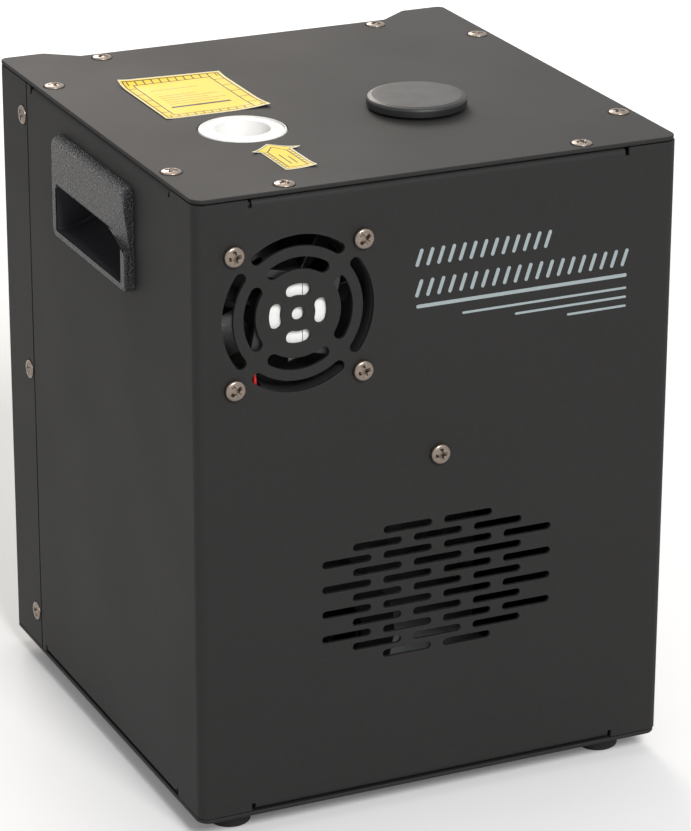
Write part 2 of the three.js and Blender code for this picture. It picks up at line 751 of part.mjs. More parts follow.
// The front and both sides are one sheet, folded round the front corners, with its upper and
// lower edges folded in and a lip at each rear edge that the rear cover is screwed to.
function mainShell() {
  const plan = [
    [-HALF_WIDTH, SEAM_Y],
    [-HALF_WIDTH, FRONT, CASE_BEND],
    [HALF_WIDTH, FRONT, CASE_BEND],
    [HALF_WIDTH, SEAM_Y],
  ];
  let shell = along("z", folded(plan, SHEET), SHELL_LOW, SHELL_HIGH);
  const frontEnd = HALF_WIDTH - FRONT_FLANGE_INSET;
  const sideFront = FRONT + SIDE_FLANGE_FRONT;
  const sideRear = SEAM_Y - SIDE_FLANGE_REAR;
  for (const up of [-1, 1]) {
    const level = up > 0 ? SHELL_HIGH : SHELL_LOW;
    const low = level - up * RELIEF_DEPTH;
    const high = level + up * OVERRUN;
    const reach = frontEnd + RELIEF_WIDTH;
    shell = cut(shell, block(-reach, reach, FRONT - OVERRUN, INNER_FRONT + OVERRUN, low, high));
    shell = join(shell, along("x", flange(FRONT, 1, level, up), -frontEnd, frontEnd));
    for (const side of [-1, 1]) {
      const edge = side * HALF_WIDTH;
      const inside = edge - side * (SHEET + OVERRUN);
      const notch = [sideFront - RELIEF_WIDTH, sideRear + RELIEF_WIDTH];
      shell = cut(shell, block(edge + side * OVERRUN, inside, ...notch, low, high));
      shell = join(shell, along("y", flange(edge, -side, level, up), sideFront, sideRear));
    }
  }
  for (const side of [-1, 1]) {
    const outer = HALF_WIDTH - SHEET - LAP_GAP;
    const heights = [SHELL_LOW + LIP_INSET, SHELL_HIGH - LIP_INSET];
    const inside = side * (outer - SHEET);
    const lip = [inside, side * outer, SEAM_Y - LIP_ROOT, SEAM_Y + LIP_REACH];
    const weld = [inside, side * (HALF_WIDTH - SHEET / 2), SEAM_Y - LIP_ROOT, SEAM_Y - SHEET];
    shell = join(shell, block(...lip, ...heights), block(...weld, ...heights));
    for (const z of seamScrewHeights()) {
      const bore = [side * (outer - SHEET - OVERRUN), side * (outer + LAP_GAP / 2)];
      shell = cut(shell, rod("x", SEAM_Y + SEAM + SEAM_SCREW_SETBACK, z, HOLE_SIZE, ...bore, SMALL));
    }
    const opening = [HANDLE_WIDTH - 2 * HANDLE_LAP, HANDLE_HEIGHT - 2 * HANDLE_LAP];
    const window = rectangle(HANDLE_Y, HANDLE_Z, ...opening, HANDLE_CORNER);
    const depth = [side * (HALF_WIDTH - SHEET - OVERRUN), side * (HALF_WIDTH + OVERRUN)];
    shell = cut(shell, along("x", window, ...depth));
  }
  const screws = fanScrewPlaces().map(([x, z]) => disc(x, z, HOLE_SIZE, SMALL));
  screws.push(disc(0, BRACKET_SCREW_Z, HOLE_SIZE, SMALL));
  const openings = [...grille(), ...vents(), ...screws];
  shell = cut(shell, along("y", openings, FRONT - OVERRUN, INNER_FRONT + OVERRUN), flangeHoles());
  return piece("main_shell", shell, powderCoat);
}

// The rear cover wraps the rear edges of both sides, and its middle is set in between two ears.
function rearCover() {
  const ear = HALF_WIDTH - EAR_WIDTH;
  const notch = ear - EAR_SLOPE;
  const plan = [
    [-HALF_WIDTH, SEAM_Y + SEAM],
    [-HALF_WIDTH, EAR, EAR_BEND],
    [-ear, EAR, EAR_BEND],
    [-notch, REAR, EAR_BEND - SHEET],
    [notch, REAR, EAR_BEND - SHEET],
    [ear, EAR, EAR_BEND],
    [HALF_WIDTH, EAR, EAR_BEND],
    [HALF_WIDTH, SEAM_Y + SEAM],
  ];
  let cover = along("z", folded(plan, -SHEET), SHELL_LOW, SHELL_HIGH);
  const end = notch - REAR_FLANGE_INSET;
  for (const up of [-1, 1]) {
    const level = up > 0 ? SHELL_HIGH : SHELL_LOW;
    const notchHeights = [level - up * RELIEF_DEPTH, level + up * OVERRUN];
    const notchDepth = [INNER_REAR - OVERRUN, REAR + OVERRUN];
    cover = cut(cover, block(-end - RELIEF_WIDTH, end + RELIEF_WIDTH, ...notchDepth, ...notchHeights));
    cover = join(cover, along("x", flange(REAR, -1, level, up), -end, end));
  }
  for (const side of [-1, 1]) {
    for (const z of seamScrewHeights()) {
      const profile = [
        [0, OVERRUN],
        [HEAD_SIZE + LAP_GAP, OVERRUN],
        [HEAD_SIZE + LAP_GAP, 0],
        [HOLE_SIZE, -SCREW_HEAD_DEPTH],
        [HOLE_SIZE, -SHEET - OVERRUN],
        [0, -SHEET - OVERRUN],
      ].map(([radius, depth]) => [radius, side * depth]);
      const place = [side * HALF_WIDTH, SEAM_Y + SEAM + SEAM_SCREW_SETBACK, z];
      cover = cut(cover, turned(profile, SMALL, "x", place));
    }
  }
  const inletWidth = INLET_BODY_WIDTH + 2 * LAP_GAP;
  const inletTall = INLET_BODY_TALL + 2 * LAP_GAP;
  const switchWidth = ROCKER_BODY_WIDTH + 2 * LAP_GAP;
  const switchTall = ROCKER_BODY_TALL + 2 * LAP_GAP;
  const openings = [
    rectangle(0, LENS_Z, DISPLAY_WIDTH, DISPLAY_TALL, DISPLAY_CORNER),
    rectangle(INLET_X, POWER_Z, inletWidth, inletTall, INLET_BODY_CORNER),
    rectangle(ROCKER_X, POWER_Z, switchWidth, switchTall, ROCKER_FRAME_CORNER),
    disc(FUSE_X, POWER_Z, FUSE_BODY + LAP_GAP, ROUND),
    disc(-DMX_SPACING / 2, DMX_Z, DMX_BODY + LAP_GAP, ROUND),
    disc(DMX_SPACING / 2, DMX_Z, DMX_BODY + LAP_GAP, ROUND),
    ...buttonPlaces().map(([x, z]) => disc(x, z, BUTTON_RADIUS + RUNNING_GAP, SMALL)),
  ];
  for (let i = 0; i < REAR_VENT_COUNT; i += 1) {
    const x = (i - (REAR_VENT_COUNT - 1) / 2) * REAR_VENT_PITCH;
    openings.push(obround(x, BASE + REAR_VENT_HEIGHT, REAR_VENT_LENGTH, VENT_WIDTH, true));
  }
  const depth = [INNER_REAR - OVERRUN, REAR + OVERRUN];
  const latch = along("y", latchRoom(RUNNING_GAP), ...depth);
  cover = cut(cover, along("y", openings, ...depth), latch, flangeHoles());
  return piece("rear_cover", cover, powderCoat);
}

function buttonPlaces() {
  return [-1.5, -0.5, 0.5, 1.5].map((step) => [step * BUTTON_PITCH, BUTTON_Z]);
}

// A countersunk screw with its head's top at the level of its place.
function plateScrews() {
  const rim = SCREW_HEAD_RIM;
  const profile = [
    [0, rim],
    [HEAD_SIZE - rim, rim],
    [HEAD_SIZE, 0],
    [SCREW_SHANK / 2, -SCREW_HEAD_DEPTH],
    [SCREW_SHANK / 2, -SCREW_LENGTH],
    [0, -SCREW_LENGTH],
  ];
  const places = plateScrewPlaces().map(([x, y]) => [x, y, TOP]);
  return copies("top_screw", turned(profile, SMALL), nickel, places);
}

// Pan head screws stand in front of the panel and pass through it.
function panScrews() {
  const profile = [
    [0, PAN_HEAD_HEIGHT],
    [PAN_CROWN_WIDTH / 2, PAN_HEAD_HEIGHT],
    [PAN_HEAD / 2, PAN_HEAD_CROWN],
    [PAN_HEAD / 2, SEAT],
    [SCREW_SHANK / 2, SEAT],
    [SCREW_SHANK / 2, -SCREW_LENGTH + SEAT],
    [0, -SCREW_LENGTH + SEAT],
  ].map(([radius, height]) => [radius, -height]);
  const body = turned(profile, SMALL, "y");
  const fan = fanScrewPlaces().map(([x, z]) => [x, FRONT, z]);
  const bracket = piece("bracket_screw", body, nickel);
  bracket.position.set(0, FRONT, BRACKET_SCREW_Z);
  return [...copies("fan_screw", body, nickel, fan), bracket];
}

// A rubber foot with a hollow below and a stem that is pushed through the bottom plate.
function feet() {
  const top = FOOT_HEIGHT - SEAT;
  const profile = [
    [0, FOOT_RECESS_DEPTH],
    [FOOT_RECESS_RADIUS, FOOT_RECESS_DEPTH],
    [FOOT_RECESS_RADIUS, 0],
    [FOOT_RADIUS - FOOT_TAPER, 0],
    [FOOT_RADIUS, top],
    [FOOT_STEM_RADIUS, top],
    [FOOT_STEM_RADIUS, top + FOOT_STEM_HEIGHT],
    [0, top + FOOT_STEM_HEIGHT],
  ];
  return copies("foot", turned(profile, ROUND), rubber, footPlaces().map(([x, y]) => [x, y, 0]));
}

// A moulded cup handle: a bezel on the case's side, with a finger pocket that turns up behind it.
function handle(name, side) {
  const face = side * (HALF_WIDTH + HANDLE_PROUD);
  const seat = side * (HALF_WIDTH + SEAT);
  const outlines = [
    [seat, 0],
    [face - side * HANDLE_CHAMFER, 0],
    [face, HANDLE_CHAMFER],
  ].flatMap(([x, inset]) => {
    const size = [HANDLE_WIDTH - 2 * inset, HANDLE_HEIGHT - 2 * inset];
    const edge = rectangle(HANDLE_Y, HANDLE_Z, ...size, HANDLE_CORNER);
    return edge.getPoints().map((point) => [x, point.x, point.y]);
  });
  const lap = HANDLE_LAP + LAP_GAP;
  const size = [HANDLE_WIDTH - 2 * lap, HANDLE_HEIGHT - 2 * lap];
  const cup = rectangle(HANDLE_Y, HANDLE_Z, ...size, HANDLE_CORNER - LAP_GAP);
  const back = side * (HALF_WIDTH - HANDLE_DEPTH);
  const low = HANDLE_Z - HANDLE_HEIGHT / 2 + HANDLE_RIM;
  const high = HANDLE_Z + HANDLE_HEIGHT / 2;
  const lipEdge = high - HANDLE_BAND;
  const wallBack = back + side * HANDLE_WALL;
  const rampFoot = face - side * HANDLE_BAND_THICKNESS / 2;
  const rise = lipEdge - low;
  const roof = high - HANDLE_ROOF;
  const profile = [[face + side * OVERRUN, lipEdge], [face + side * OVERRUN, low]];
  for (let i = 0; i <= 2 * ARC_STEPS; i += 1) {
    const turn = (i * Math.PI) / (4 * ARC_STEPS);
    const x = rampFoot + (wallBack - rampFoot) * Math.sin(turn);
    profile.push([x, low + rise * (1 - Math.cos(turn))]);
  }
  const behind = face - side * HANDLE_BAND_THICKNESS;
  profile.push([wallBack, roof - HANDLE_WALL], [wallBack + side * HANDLE_WALL, roof]);
  profile.push([behind - side * HANDLE_CHAMFER, roof], [behind, roof - HANDLE_WALL]);
  profile.push([behind, lipEdge + HANDLE_WALL], [behind + side * HANDLE_WALL, lipEdge]);
  const half = HANDLE_WIDTH / 2 - lap - HANDLE_WALL;
  const pocket = along("y", polygon(profile), HANDLE_Y - half, HANDLE_Y + half);
  const body = join(hull(outlines), along("x", cup, back, seat + side * HANDLE_CHAMFER));
  return piece(name, cut(body, pocket), handlePlastic);
}

// The white ring in the top plate, with its funnel, its clamping flange and a socket below.
function sparkNozzle() {
  const flangeTop = CEILING - SEAT;
  const end = TOP - NOZZLE_LENGTH;
  const socket = end + NOZZLE_SOCKET;
  const throat = TOP - NOZZLE_FUNNEL;
  const profile = [
    [NOZZLE_MOUTH, TOP],
    [NOZZLE_RADIUS, TOP],
    [NOZZLE_RADIUS, flangeTop],
    [NOZZLE_FLANGE_RADIUS, flangeTop],
    [NOZZLE_FLANGE_RADIUS, flangeTop - NOZZLE_FLANGE],
    [NOZZLE_RADIUS, flangeTop - NOZZLE_FLANGE],
    [NOZZLE_RADIUS, end],
    [TUBE_RADIUS + LAP_GAP, end],
    [TUBE_RADIUS + LAP_GAP, socket],
    [TUBE_RADIUS - TUBE_WALL, socket],
    [NOZZLE_THROAT, throat],
    [NOZZLE_MOUTH, TOP],
  ];
  return piece("spark_nozzle", turned(profile, FINE, "z", [NOZZLE_X, PORT_Y, 0]), ceramic);
}

// The steel tube that the powder burns in, hung from the shelf by its flange.
function heaterTube() {
  const top = TOP - NOZZLE_LENGTH + NOZZLE_SOCKET - SEAT;
  const under = SHELF_Z - SHEET - SEAT;
  const inner = TUBE_RADIUS - TUBE_WALL;
  const profile = [
    [inner, under - TUBE_TAIL],
    [TUBE_RADIUS, under - TUBE_TAIL],
    [TUBE_RADIUS, under - TUBE_FLANGE],
    [TUBE_FLANGE_RADIUS, under - TUBE_FLANGE],
    [TUBE_FLANGE_RADIUS, under],
    [TUBE_RADIUS, under],
    [TUBE_RADIUS, top],
    [inner, top],
    [inner, under - TUBE_TAIL],
  ];
  const tube = turned(profile, ROUND, "z", [NOZZLE_X, PORT_Y, 0]);
  const reach = NOZZLE_X + TUBE_RADIUS + OVERRUN;
  const inlet = rod("x", PORT_Y, FEED_Z, FEED_NOSE + LAP_GAP, NOZZLE_X, reach);
  return piece("heater_tube", cut(tube, inlet), steel);
}

const BAND_LOW = FEED_Z + FEED_NOSE + BAND_ABOVE_NOSE;
const BAND_OUTER = TUBE_RADIUS + LAP_GAP + BAND_WALL;
const SLEEVE_INNER = BAND_OUTER + LAP_GAP;
const SLEEVE_OUTER = SLEEVE_INNER + SLEEVE_WALL;

// The clamped band heater, split at the back.
function heaterBand() {
  const inner = TUBE_RADIUS + LAP_GAP;
  const ring = turned([
    [inner, BAND_LOW],
    [BAND_OUTER, BAND_LOW],
    [BAND_OUTER, BAND_LOW + BAND_HEIGHT],
    [inner, BAND_LOW + BAND_HEIGHT],
    [inner, BAND_LOW],
  ], ROUND, "z", [NOZZLE_X, PORT_Y, 0]);
  const heights = [BAND_LOW - OVERRUN, BAND_LOW + BAND_HEIGHT + OVERRUN];
  const depth = [PORT_Y, PORT_Y + BAND_OUTER + OVERRUN];
  const split = block(NOZZLE_X - LAP_GAP, NOZZLE_X + LAP_GAP, ...depth, ...heights);
  return piece("heater_band", cut(ring, split), brass);
}

function insulationSleeve() {
  const low = SHELF_Z + SEAT;
  const high = low + SLEEVE_HEIGHT;
  const sleeve = turned([
    [SLEEVE_INNER, low],
    [SLEEVE_OUTER, low],
    [SLEEVE_OUTER, high],
    [SLEEVE_INNER, high],
    [SLEEVE_INNER, low],
  ], ROUND, "z", [NOZZLE_X, PORT_Y, 0]);
  const reach = NOZZLE_X + SLEEVE_OUTER + OVERRUN;
  const nose = rod("x", PORT_Y, FEED_Z, FEED_NOSE + LAP_GAP, NOZZLE_X, reach);
  return piece("insulation_sleeve", cut(sleeve, nose), insulation);
}

const BLOWER_FRONT = PORT_Y - BLOWER_WIDTH / 2;
const BLOWER_BACK = PORT_Y + BLOWER_WIDTH / 2;
const TONGUE_X = BLOWER_CUTOFF * Math.cos(Math.PI + BLOWER_TONGUE_TURN);
const BLOWER_X = NOZZLE_X + (BLOWER_SCROLL - TONGUE_X) / 2;
const BLOWER_Z = FLOOR + BLOWER_FLOOR_GAP + (BLOWER_SCROLL + BLOWER_CUTOFF) / 2 + BLOWER_WALL;
const OUTLET_WIDTH = BLOWER_SCROLL + TONGUE_X;
const OUTLET_Z = BLOWER_Z + BLOWER_OUTLET;

// The scroll's outline, whose radius falls steadily from the outlet round to the cut-off.
function scroll(inset, top) {
  const points = [[BLOWER_X - BLOWER_SCROLL + inset, top]];
  for (let i = 0; i <= ROUND; i += 1) {
    const share = i / ROUND;
    const turn = Math.PI + BLOWER_TONGUE_TURN * share;
    const radius = BLOWER_SCROLL - (BLOWER_SCROLL - BLOWER_CUTOFF) * share - inset;
    points.push([BLOWER_X + radius * Math.cos(turn), BLOWER_Z + radius * Math.sin(turn)]);
  }
  points.push([BLOWER_X + TONGUE_X - inset, top]);
  return polygon(points);
}

function blowerHousing() {
  const shell = along("y", scroll(0, OUTLET_Z), BLOWER_FRONT, BLOWER_BACK);
  const room = along("y", scroll(BLOWER_WALL, OUTLET_Z + OVERRUN), BLOWER_FRONT + BLOWER_WALL,
    BLOWER_BACK - BLOWER_WALL);
  const centre = [BLOWER_X, BLOWER_Z];
  const shaftHole = IMPELLER_SHAFT + RUNNING_GAP;
  const inlet = rod("y", ...centre, BLOWER_INLET, BLOWER_FRONT - OVERRUN, PORT_Y);
  const shaft = rod("y", ...centre, shaftHole, PORT_Y, BLOWER_BACK + OVERRUN, SMALL);
  const sides = [BLOWER_X - BLOWER_FOOT / 2, BLOWER_X + BLOWER_FOOT / 2];
  const foot = block(...sides, BLOWER_FRONT, BLOWER_BACK, FLOOR + SEAT, BLOWER_Z - BLOWER_CUTOFF);
  return piece("blower_housing", cut(join(shell, foot), room, inlet, shaft), blackPlastic);
}

// The impeller wheel: a back plate, a front ring, blades between them, and its shaft behind.
function blowerImpeller() {
  const front = BLOWER_FRONT + BLOWER_WALL + IMPELLER_SIDE_GAP;
  const back = BLOWER_BACK - BLOWER_WALL - IMPELLER_SIDE_GAP;
  const centre = [BLOWER_X, BLOWER_Z];
  let wheel = rod("y", ...centre, IMPELLER_RADIUS, back - IMPELLER_PLATE, back);
  const ring = cut(
    rod("y", ...centre, IMPELLER_RADIUS, front, front + IMPELLER_PLATE),
    rod("y", ...centre, IMPELLER_EYE, front - OVERRUN, front + IMPELLER_PLATE + OVERRUN),
  );
  const shaftEnd = BLOWER_BACK + BLOWER_SHAFT_REACH;
  wheel = join(wheel, ring, rod("y", ...centre, IMPELLER_HUB, PORT_Y, back, SMALL));
  wheel = join(wheel, rod("y", ...centre, IMPELLER_SHAFT, PORT_Y, shaftEnd, SMALL));
  for (let i = 0; i < IMPELLER_BLADES; i += 1) {
    const chord = IMPELLER_RADIUS - IMPELLER_EYE - 2 * IMPELLER_BLADE;
    const geometry = new THREE.BoxGeometry(chord, back - front - IMPELLER_PLATE, IMPELLER_BLADE);
    geometry.rotateY(IMPELLER_BLADE_TURN);
    geometry.translate((IMPELLER_RADIUS + IMPELLER_EYE) / 2, 0, 0);
    geometry.rotateY((2 * Math.PI * i) / IMPELLER_BLADES);
    geometry.translate(BLOWER_X, (front + back) / 2, BLOWER_Z);
    wheel = join(wheel, solid(geometry));
  }
  return piece("blower_impeller", wheel, blackPlastic);
}

function blowerMotor() {
  const front = BLOWER_BACK + SEAT;
  const can = rod("y", BLOWER_X, BLOWER_Z, BLOWER_MOTOR_RADIUS, front, front + BLOWER_MOTOR_LENGTH);
  const reach = front + BLOWER_SHAFT_REACH + RUNNING_GAP;
  const bore = rod("y", BLOWER_X, BLOWER_Z, IMPELLER_SHAFT + RUNNING_GAP, front - OVERRUN, reach, SMALL);
  return piece("blower_motor", cut(can, bore), steel);
}

// The duct that leads the blower's square outlet into the round tube above.
function airDuct() {
  const low = OUTLET_Z + SEAT;
  const top = SHELF_Z - SHEET - TUBE_FLANGE - 2 * SEAT;
  const neck = top - DUCT_NECK;
  const rims = (inset, radius, bottom, high) => {
    const halfX = OUTLET_WIDTH / 2 - inset;
    const halfY = BLOWER_WIDTH / 2 - inset;
    const points = [];
    for (const z of [bottom, low + DUCT_COLLAR]) {
      for (const [u, v] of [[-1, -1], [1, -1], [1, 1], [-1, 1]]) {
        points.push([NOZZLE_X + u * halfX, PORT_Y + v * halfY, z]);
      }
    }
    const ring = disc(NOZZLE_X, PORT_Y, radius, ROUND).getPoints();
    return [...points, ...ring.map((point) => [point.x, point.y, high])];
  };
  const socket = TUBE_RADIUS + LAP_GAP;
  const outside = hull(rims(0, socket + DUCT_WALL, low, neck));
  const inside = hull(rims(DUCT_WALL, socket - DUCT_WALL, low, neck));
  const mouth = block(
    NOZZLE_X - OUTLET_WIDTH / 2 + DUCT_WALL, NOZZLE_X + OUTLET_WIDTH / 2 - DUCT_WALL,
    PORT_Y - BLOWER_WIDTH / 2 + DUCT_WALL, PORT_Y + BLOWER_WIDTH / 2 - DUCT_WALL,
    low - OVERRUN, low + DUCT_COLLAR,
  );
  const collar = rod("z", NOZZLE_X, PORT_Y, socket + DUCT_WALL, neck - OVERRUN, top);
  const throat = rod("z", NOZZLE_X, PORT_Y, socket - DUCT_WALL, neck - OVERRUN, top);
  const tailEnd = SHELF_Z - SHEET - 2 * SEAT - TUBE_TAIL - LAP_GAP;
  const tail = rod("z", NOZZLE_X, PORT_Y, socket, tailEnd, top + OVERRUN);
  return piece("air_duct", cut(join(outside, collar), inside, mouth, throat, tail), blackPlastic);
}

function feedCap() {
  const low = TOP + SEAT;
  const plug = PORT_BORE - RUNNING_GAP;
  const profile = [
    [0, TOP - CAP_PLUG_DEPTH],
    [plug, TOP - CAP_PLUG_DEPTH],
    [plug, low],
    [CAP_RADIUS, low],
    [CAP_RADIUS, TOP + CAP_HEIGHT - CAP_EDGE],
    [CAP_RADIUS - CAP_EDGE, TOP + CAP_HEIGHT],
    [0, TOP + CAP_HEIGHT],
  ];
  return piece("feed_cap", turned(profile, FINE, "z", [CAP_X, PORT_Y, 0]), capRubber);
}

const PORT_FLANGE_TOP = CEILING - SEAT;
const HOPPER_TOP = PORT_FLANGE_TOP - PORT_FLANGE - SEAT;

function feedPort() {
  const outer = PORT_BORE + PORT_WALL;
  const profile = [
    [PORT_BORE, TOP - PORT_LENGTH],
    [outer, TOP - PORT_LENGTH],
    [outer, PORT_FLANGE_TOP - PORT_FLANGE],
    [PORT_FLANGE_RADIUS, PORT_FLANGE_TOP - PORT_FLANGE],
    [PORT_FLANGE_RADIUS, PORT_FLANGE_TOP],
    [outer, PORT_FLANGE_TOP],
    [outer, TOP],
    [PORT_BORE, TOP],
    [PORT_BORE, TOP - PORT_LENGTH],
  ];
  return piece("feed_port_collar", turned(profile, ROUND, "z", [CAP_X, PORT_Y, 0]), aluminium);
}

// The powder hopper: a drum under the port that narrows to a neck in the feed housing.
function powderHopper() {
  const neckEnd = FEED_Z + HOPPER_NECK_SEAT;
  const coneEnd = neckEnd + HOPPER_NECK_LENGTH;
  const coneTop = coneEnd + HOPPER_CONE;
  const mouth = PORT_BORE + PORT_WALL + LAP_GAP;
  const inner = HOPPER_RADIUS - HOPPER_WALL;
  const profile = [
    [mouth, HOPPER_TOP],
    [HOPPER_RADIUS, HOPPER_TOP],
    [HOPPER_RADIUS, coneTop],
    [HOPPER_NECK, coneEnd],
    [HOPPER_NECK, neckEnd],
    [HOPPER_NECK - HOPPER_WALL, neckEnd],
    [HOPPER_NECK - HOPPER_WALL, coneEnd + HOPPER_WALL],
    [inner, coneTop + HOPPER_WALL],
    [inner, HOPPER_TOP - HOPPER_WALL],
    [mouth, HOPPER_TOP - HOPPER_WALL],
    [mouth, HOPPER_TOP],
  ];
  return piece("powder_hopper", turned(profile, ROUND, "z", [CAP_X, PORT_Y, 0]), aluminium);
}

const NOSE_TIP = NOZZLE_X + TUBE_RADIUS - TUBE_WALL;
const NOSE_ROOT = NOZZLE_X + SLEEVE_OUTER + FEED_NOSE_GAP;
const LANTERN_START = CAP_X + FEED_TAIL;
const LANTERN_END = LANTERN_START + LANTERN_LENGTH;

// The feed housing: a bored tube on two legs, with the hopper's seat on top, a nose that enters
// the heater tube, and a lantern at the other end for the shaft coupler.
function feedHousing() {
  const legDepth = [PORT_Y - FEED_LEG_WIDTH / 2, PORT_Y + FEED_LEG_WIDTH / 2];
  const legHeights = [SHELF_Z + SEAT, FEED_Z - (FEED_BORE + FEED_TUBE) / 2];
  const legs = [NOSE_ROOT + FEED_LEG, LANTERN_START - FEED_LEG].map((x) =>
    block(x - FEED_LEG / 2, x + FEED_LEG / 2, ...legDepth, ...legHeights));
  const bossTop = FEED_Z + FEED_BOSS_HEIGHT;
  const neckSeat = FEED_Z + HOPPER_NECK_SEAT - SEAT;
  const shape = join(
    rod("x", PORT_Y, FEED_Z, FEED_TUBE, NOSE_ROOT, LANTERN_START + OVERRUN),
    rod("x", PORT_Y, FEED_Z, FEED_NOSE, NOSE_TIP, NOSE_ROOT + OVERRUN),
    rod("x", PORT_Y, FEED_Z, LANTERN_RADIUS, LANTERN_START, LANTERN_END),
    rod("z", CAP_X, PORT_Y, FEED_BOSS, FEED_Z, bossTop),
    ...legs,
  );
  return piece("feed_housing", cut(
    shape,
    rod("x", PORT_Y, FEED_Z, FEED_BORE, NOSE_TIP - OVERRUN, LANTERN_START + LANTERN_FLOOR),
    rod("x", PORT_Y, FEED_Z, LANTERN_BORE, LANTERN_START + LANTERN_FLOOR, LANTERN_END + OVERRUN),
    rod("z", CAP_X, PORT_Y, HOPPER_NECK + LAP_GAP, neckSeat, bossTop + OVERRUN),
    rod("z", CAP_X, PORT_Y, FEED_THROAT, FEED_Z, bossTop),
  ), aluminium);
}

const COUPLER_START = LANTERN_START + LANTERN_FLOOR + COUPLER_GAP;

// The feed screw: rings of points along a shaft, with one point in each turn pushed out to the
// flight's radius, a step further round on every ring, so that the crest winds along it.
function feedScrew() {
  const start = NOSE_TIP + SCREW_SETBACK;
  const tail = COUPLER_START + COUPLER_GRIP - LAP_GAP;
  const flightEnd = LANTERN_START - SCREW_PITCH / 2;
  const rings = Math.round(((tail - start) / SCREW_PITCH) * FLIGHT_STEPS);
  const positions = [];
  const index = [];
  for (let ring = 0; ring <= rings; ring += 1) {
    const x = start + ((tail - start) * ring) / rings;
    for (let step = 0; step < FLIGHT_STEPS; step += 1) {
      const turn = (2 * Math.PI * step) / FLIGHT_STEPS;
      const crest = (ring - step + FLIGHT_STEPS) % FLIGHT_STEPS === 0 && ring > 0 && x < flightEnd;
      const radius = crest ? SCREW_FLIGHT : SCREW_CORE;
      positions.push(x, PORT_Y + radius * Math.cos(turn), FEED_Z + radius * Math.sin(turn));
      const a = ring * FLIGHT_STEPS + step;
      const b = ring * FLIGHT_STEPS + ((step + 1) % FLIGHT_STEPS);
      const next = a + FLIGHT_STEPS;
      const beyond = b + FLIGHT_STEPS;
      if (ring < rings) index.push(a, b, beyond, a, beyond, next);
    }
  }
  const last = rings * FLIGHT_STEPS;
  for (let step = 2; step < FLIGHT_STEPS; step += 1) {
    index.push(0, step, step - 1, last, last + step - 1, last + step);
  }
  const geometry = new THREE.BufferGeometry();
  geometry.setAttribute("position", new THREE.Float32BufferAttribute(positions, 3));
  geometry.setIndex(index);
  return piece("feed_screw", solid(geometry), steel);
}

function shaftCoupler() {
  const end = COUPLER_START + COUPLER_LENGTH;
  const body = rod("x", PORT_Y, FEED_Z, COUPLER_RADIUS, COUPLER_START, end);
  const stub = rod("x", PORT_Y, FEED_Z, DRIVE_STUB, end - OVERRUN, end + DRIVE_STUB_LENGTH, SMALL);
  const grip = [COUPLER_START - OVERRUN, COUPLER_START + COUPLER_GRIP];
  const bore = rod("x", PORT_Y, FEED_Z, SCREW_CORE + RUNNING_GAP / 2, ...grip, SMALL);
  return piece("shaft_coupler", cut(join(body, stub), bore), brass);
}

function feedGearbox() {
  const start = LANTERN_END + SEAT;
  const can = rod("x", PORT_Y, FEED_Z, GEARBOX_RADIUS, start, start + GEARBOX_LENGTH);
  const reach = COUPLER_START + COUPLER_LENGTH + DRIVE_STUB_LENGTH + RUNNING_GAP;
  const bore = rod("x", PORT_Y, FEED_Z, DRIVE_STUB + RUNNING_GAP, start - OVERRUN, reach, SMALL);
  return piece("feed_gearbox", cut(can, bore), steel);
}

function feedMotor() {
  const start = LANTERN_END + 2 * SEAT + GEARBOX_LENGTH;
  const can = rod("x", PORT_Y, FEED_Z, FEED_MOTOR_RADIUS, start, start + FEED_MOTOR_LENGTH);
  return piece("feed_motor", can, aluminium);
}

// The upright partition parts the hot and powder side from the electronics behind it.
function partition() {
  const section = [
    [PARTITION_Y - PARTITION_FOOT, FLOOR + SEAT],
    [PARTITION_Y, FLOOR + SEAT, FLANGE_BEND],
    [PARTITION_Y, TOP - PARTITION_TOP_GAP],
  ];
  const wall = along("x", folded(section, SHEET), -CHASSIS_HALF, CHASSIS_HALF);
  const holeX = CHASSIS_HALF - 2 * PARTITION_CABLE_HOLE;
  const holeZ = SHELF_Z - 2 * PARTITION_CABLE_HOLE;
  const depth = [PARTITION_Y - SHEET - OVERRUN, PARTITION_Y + OVERRUN];
  const hole = rod("y", holeX, holeZ, PARTITION_CABLE_HOLE, ...depth);
  return piece("partition", cut(wall, hole), aluminium);
}

// The shelf carries the heater tube and the feed, and its front tab takes the bracket screw.
function feederShelf() {
  const rear = PARTITION_Y - SHEET - SEAT;
  const front = INNER_FRONT + SEAT;
  const section = [
    [rear, SHELF_Z - SHELF_REAR_FLANGE],
    [rear, SHELF_Z, FLANGE_BEND],
    [front + SHEET / 2, SHELF_Z],
  ];
  const tab = [
    [front + FLANGE_DEPTH, SHELF_Z - SHEET],
    [front, SHELF_Z - SHEET, FLANGE_BEND],
    [front, BRACKET_SCREW_Z + SHELF_TAB_ABOVE],
  ];
  const half = SHELF_TAB_WIDTH / 2;
  const through = [SHELF_Z - SHEET - OVERRUN, SHELF_Z + OVERRUN];
  const shelf = join(
    cut(
      along("x", folded(section, SHEET), -CHASSIS_HALF, CHASSIS_HALF),
      block(-half, half, front - OVERRUN, front + FLANGE_BEND, ...through),
    ),
    along("x", folded(tab, -SHEET), -half, half),
  );
  const tube = rod("z", NOZZLE_X, PORT_Y, TUBE_RADIUS + LAP_GAP, ...through);
  const screw = rod("y", 0, BRACKET_SCREW_Z, HOLE_SIZE, front - OVERRUN, front + SHEET + OVERRUN, SMALL);
  return piece("feeder_shelf", cut(shelf, tube, screw), aluminium);
}

const FAN_FRONT = INNER_FRONT + SEAT;

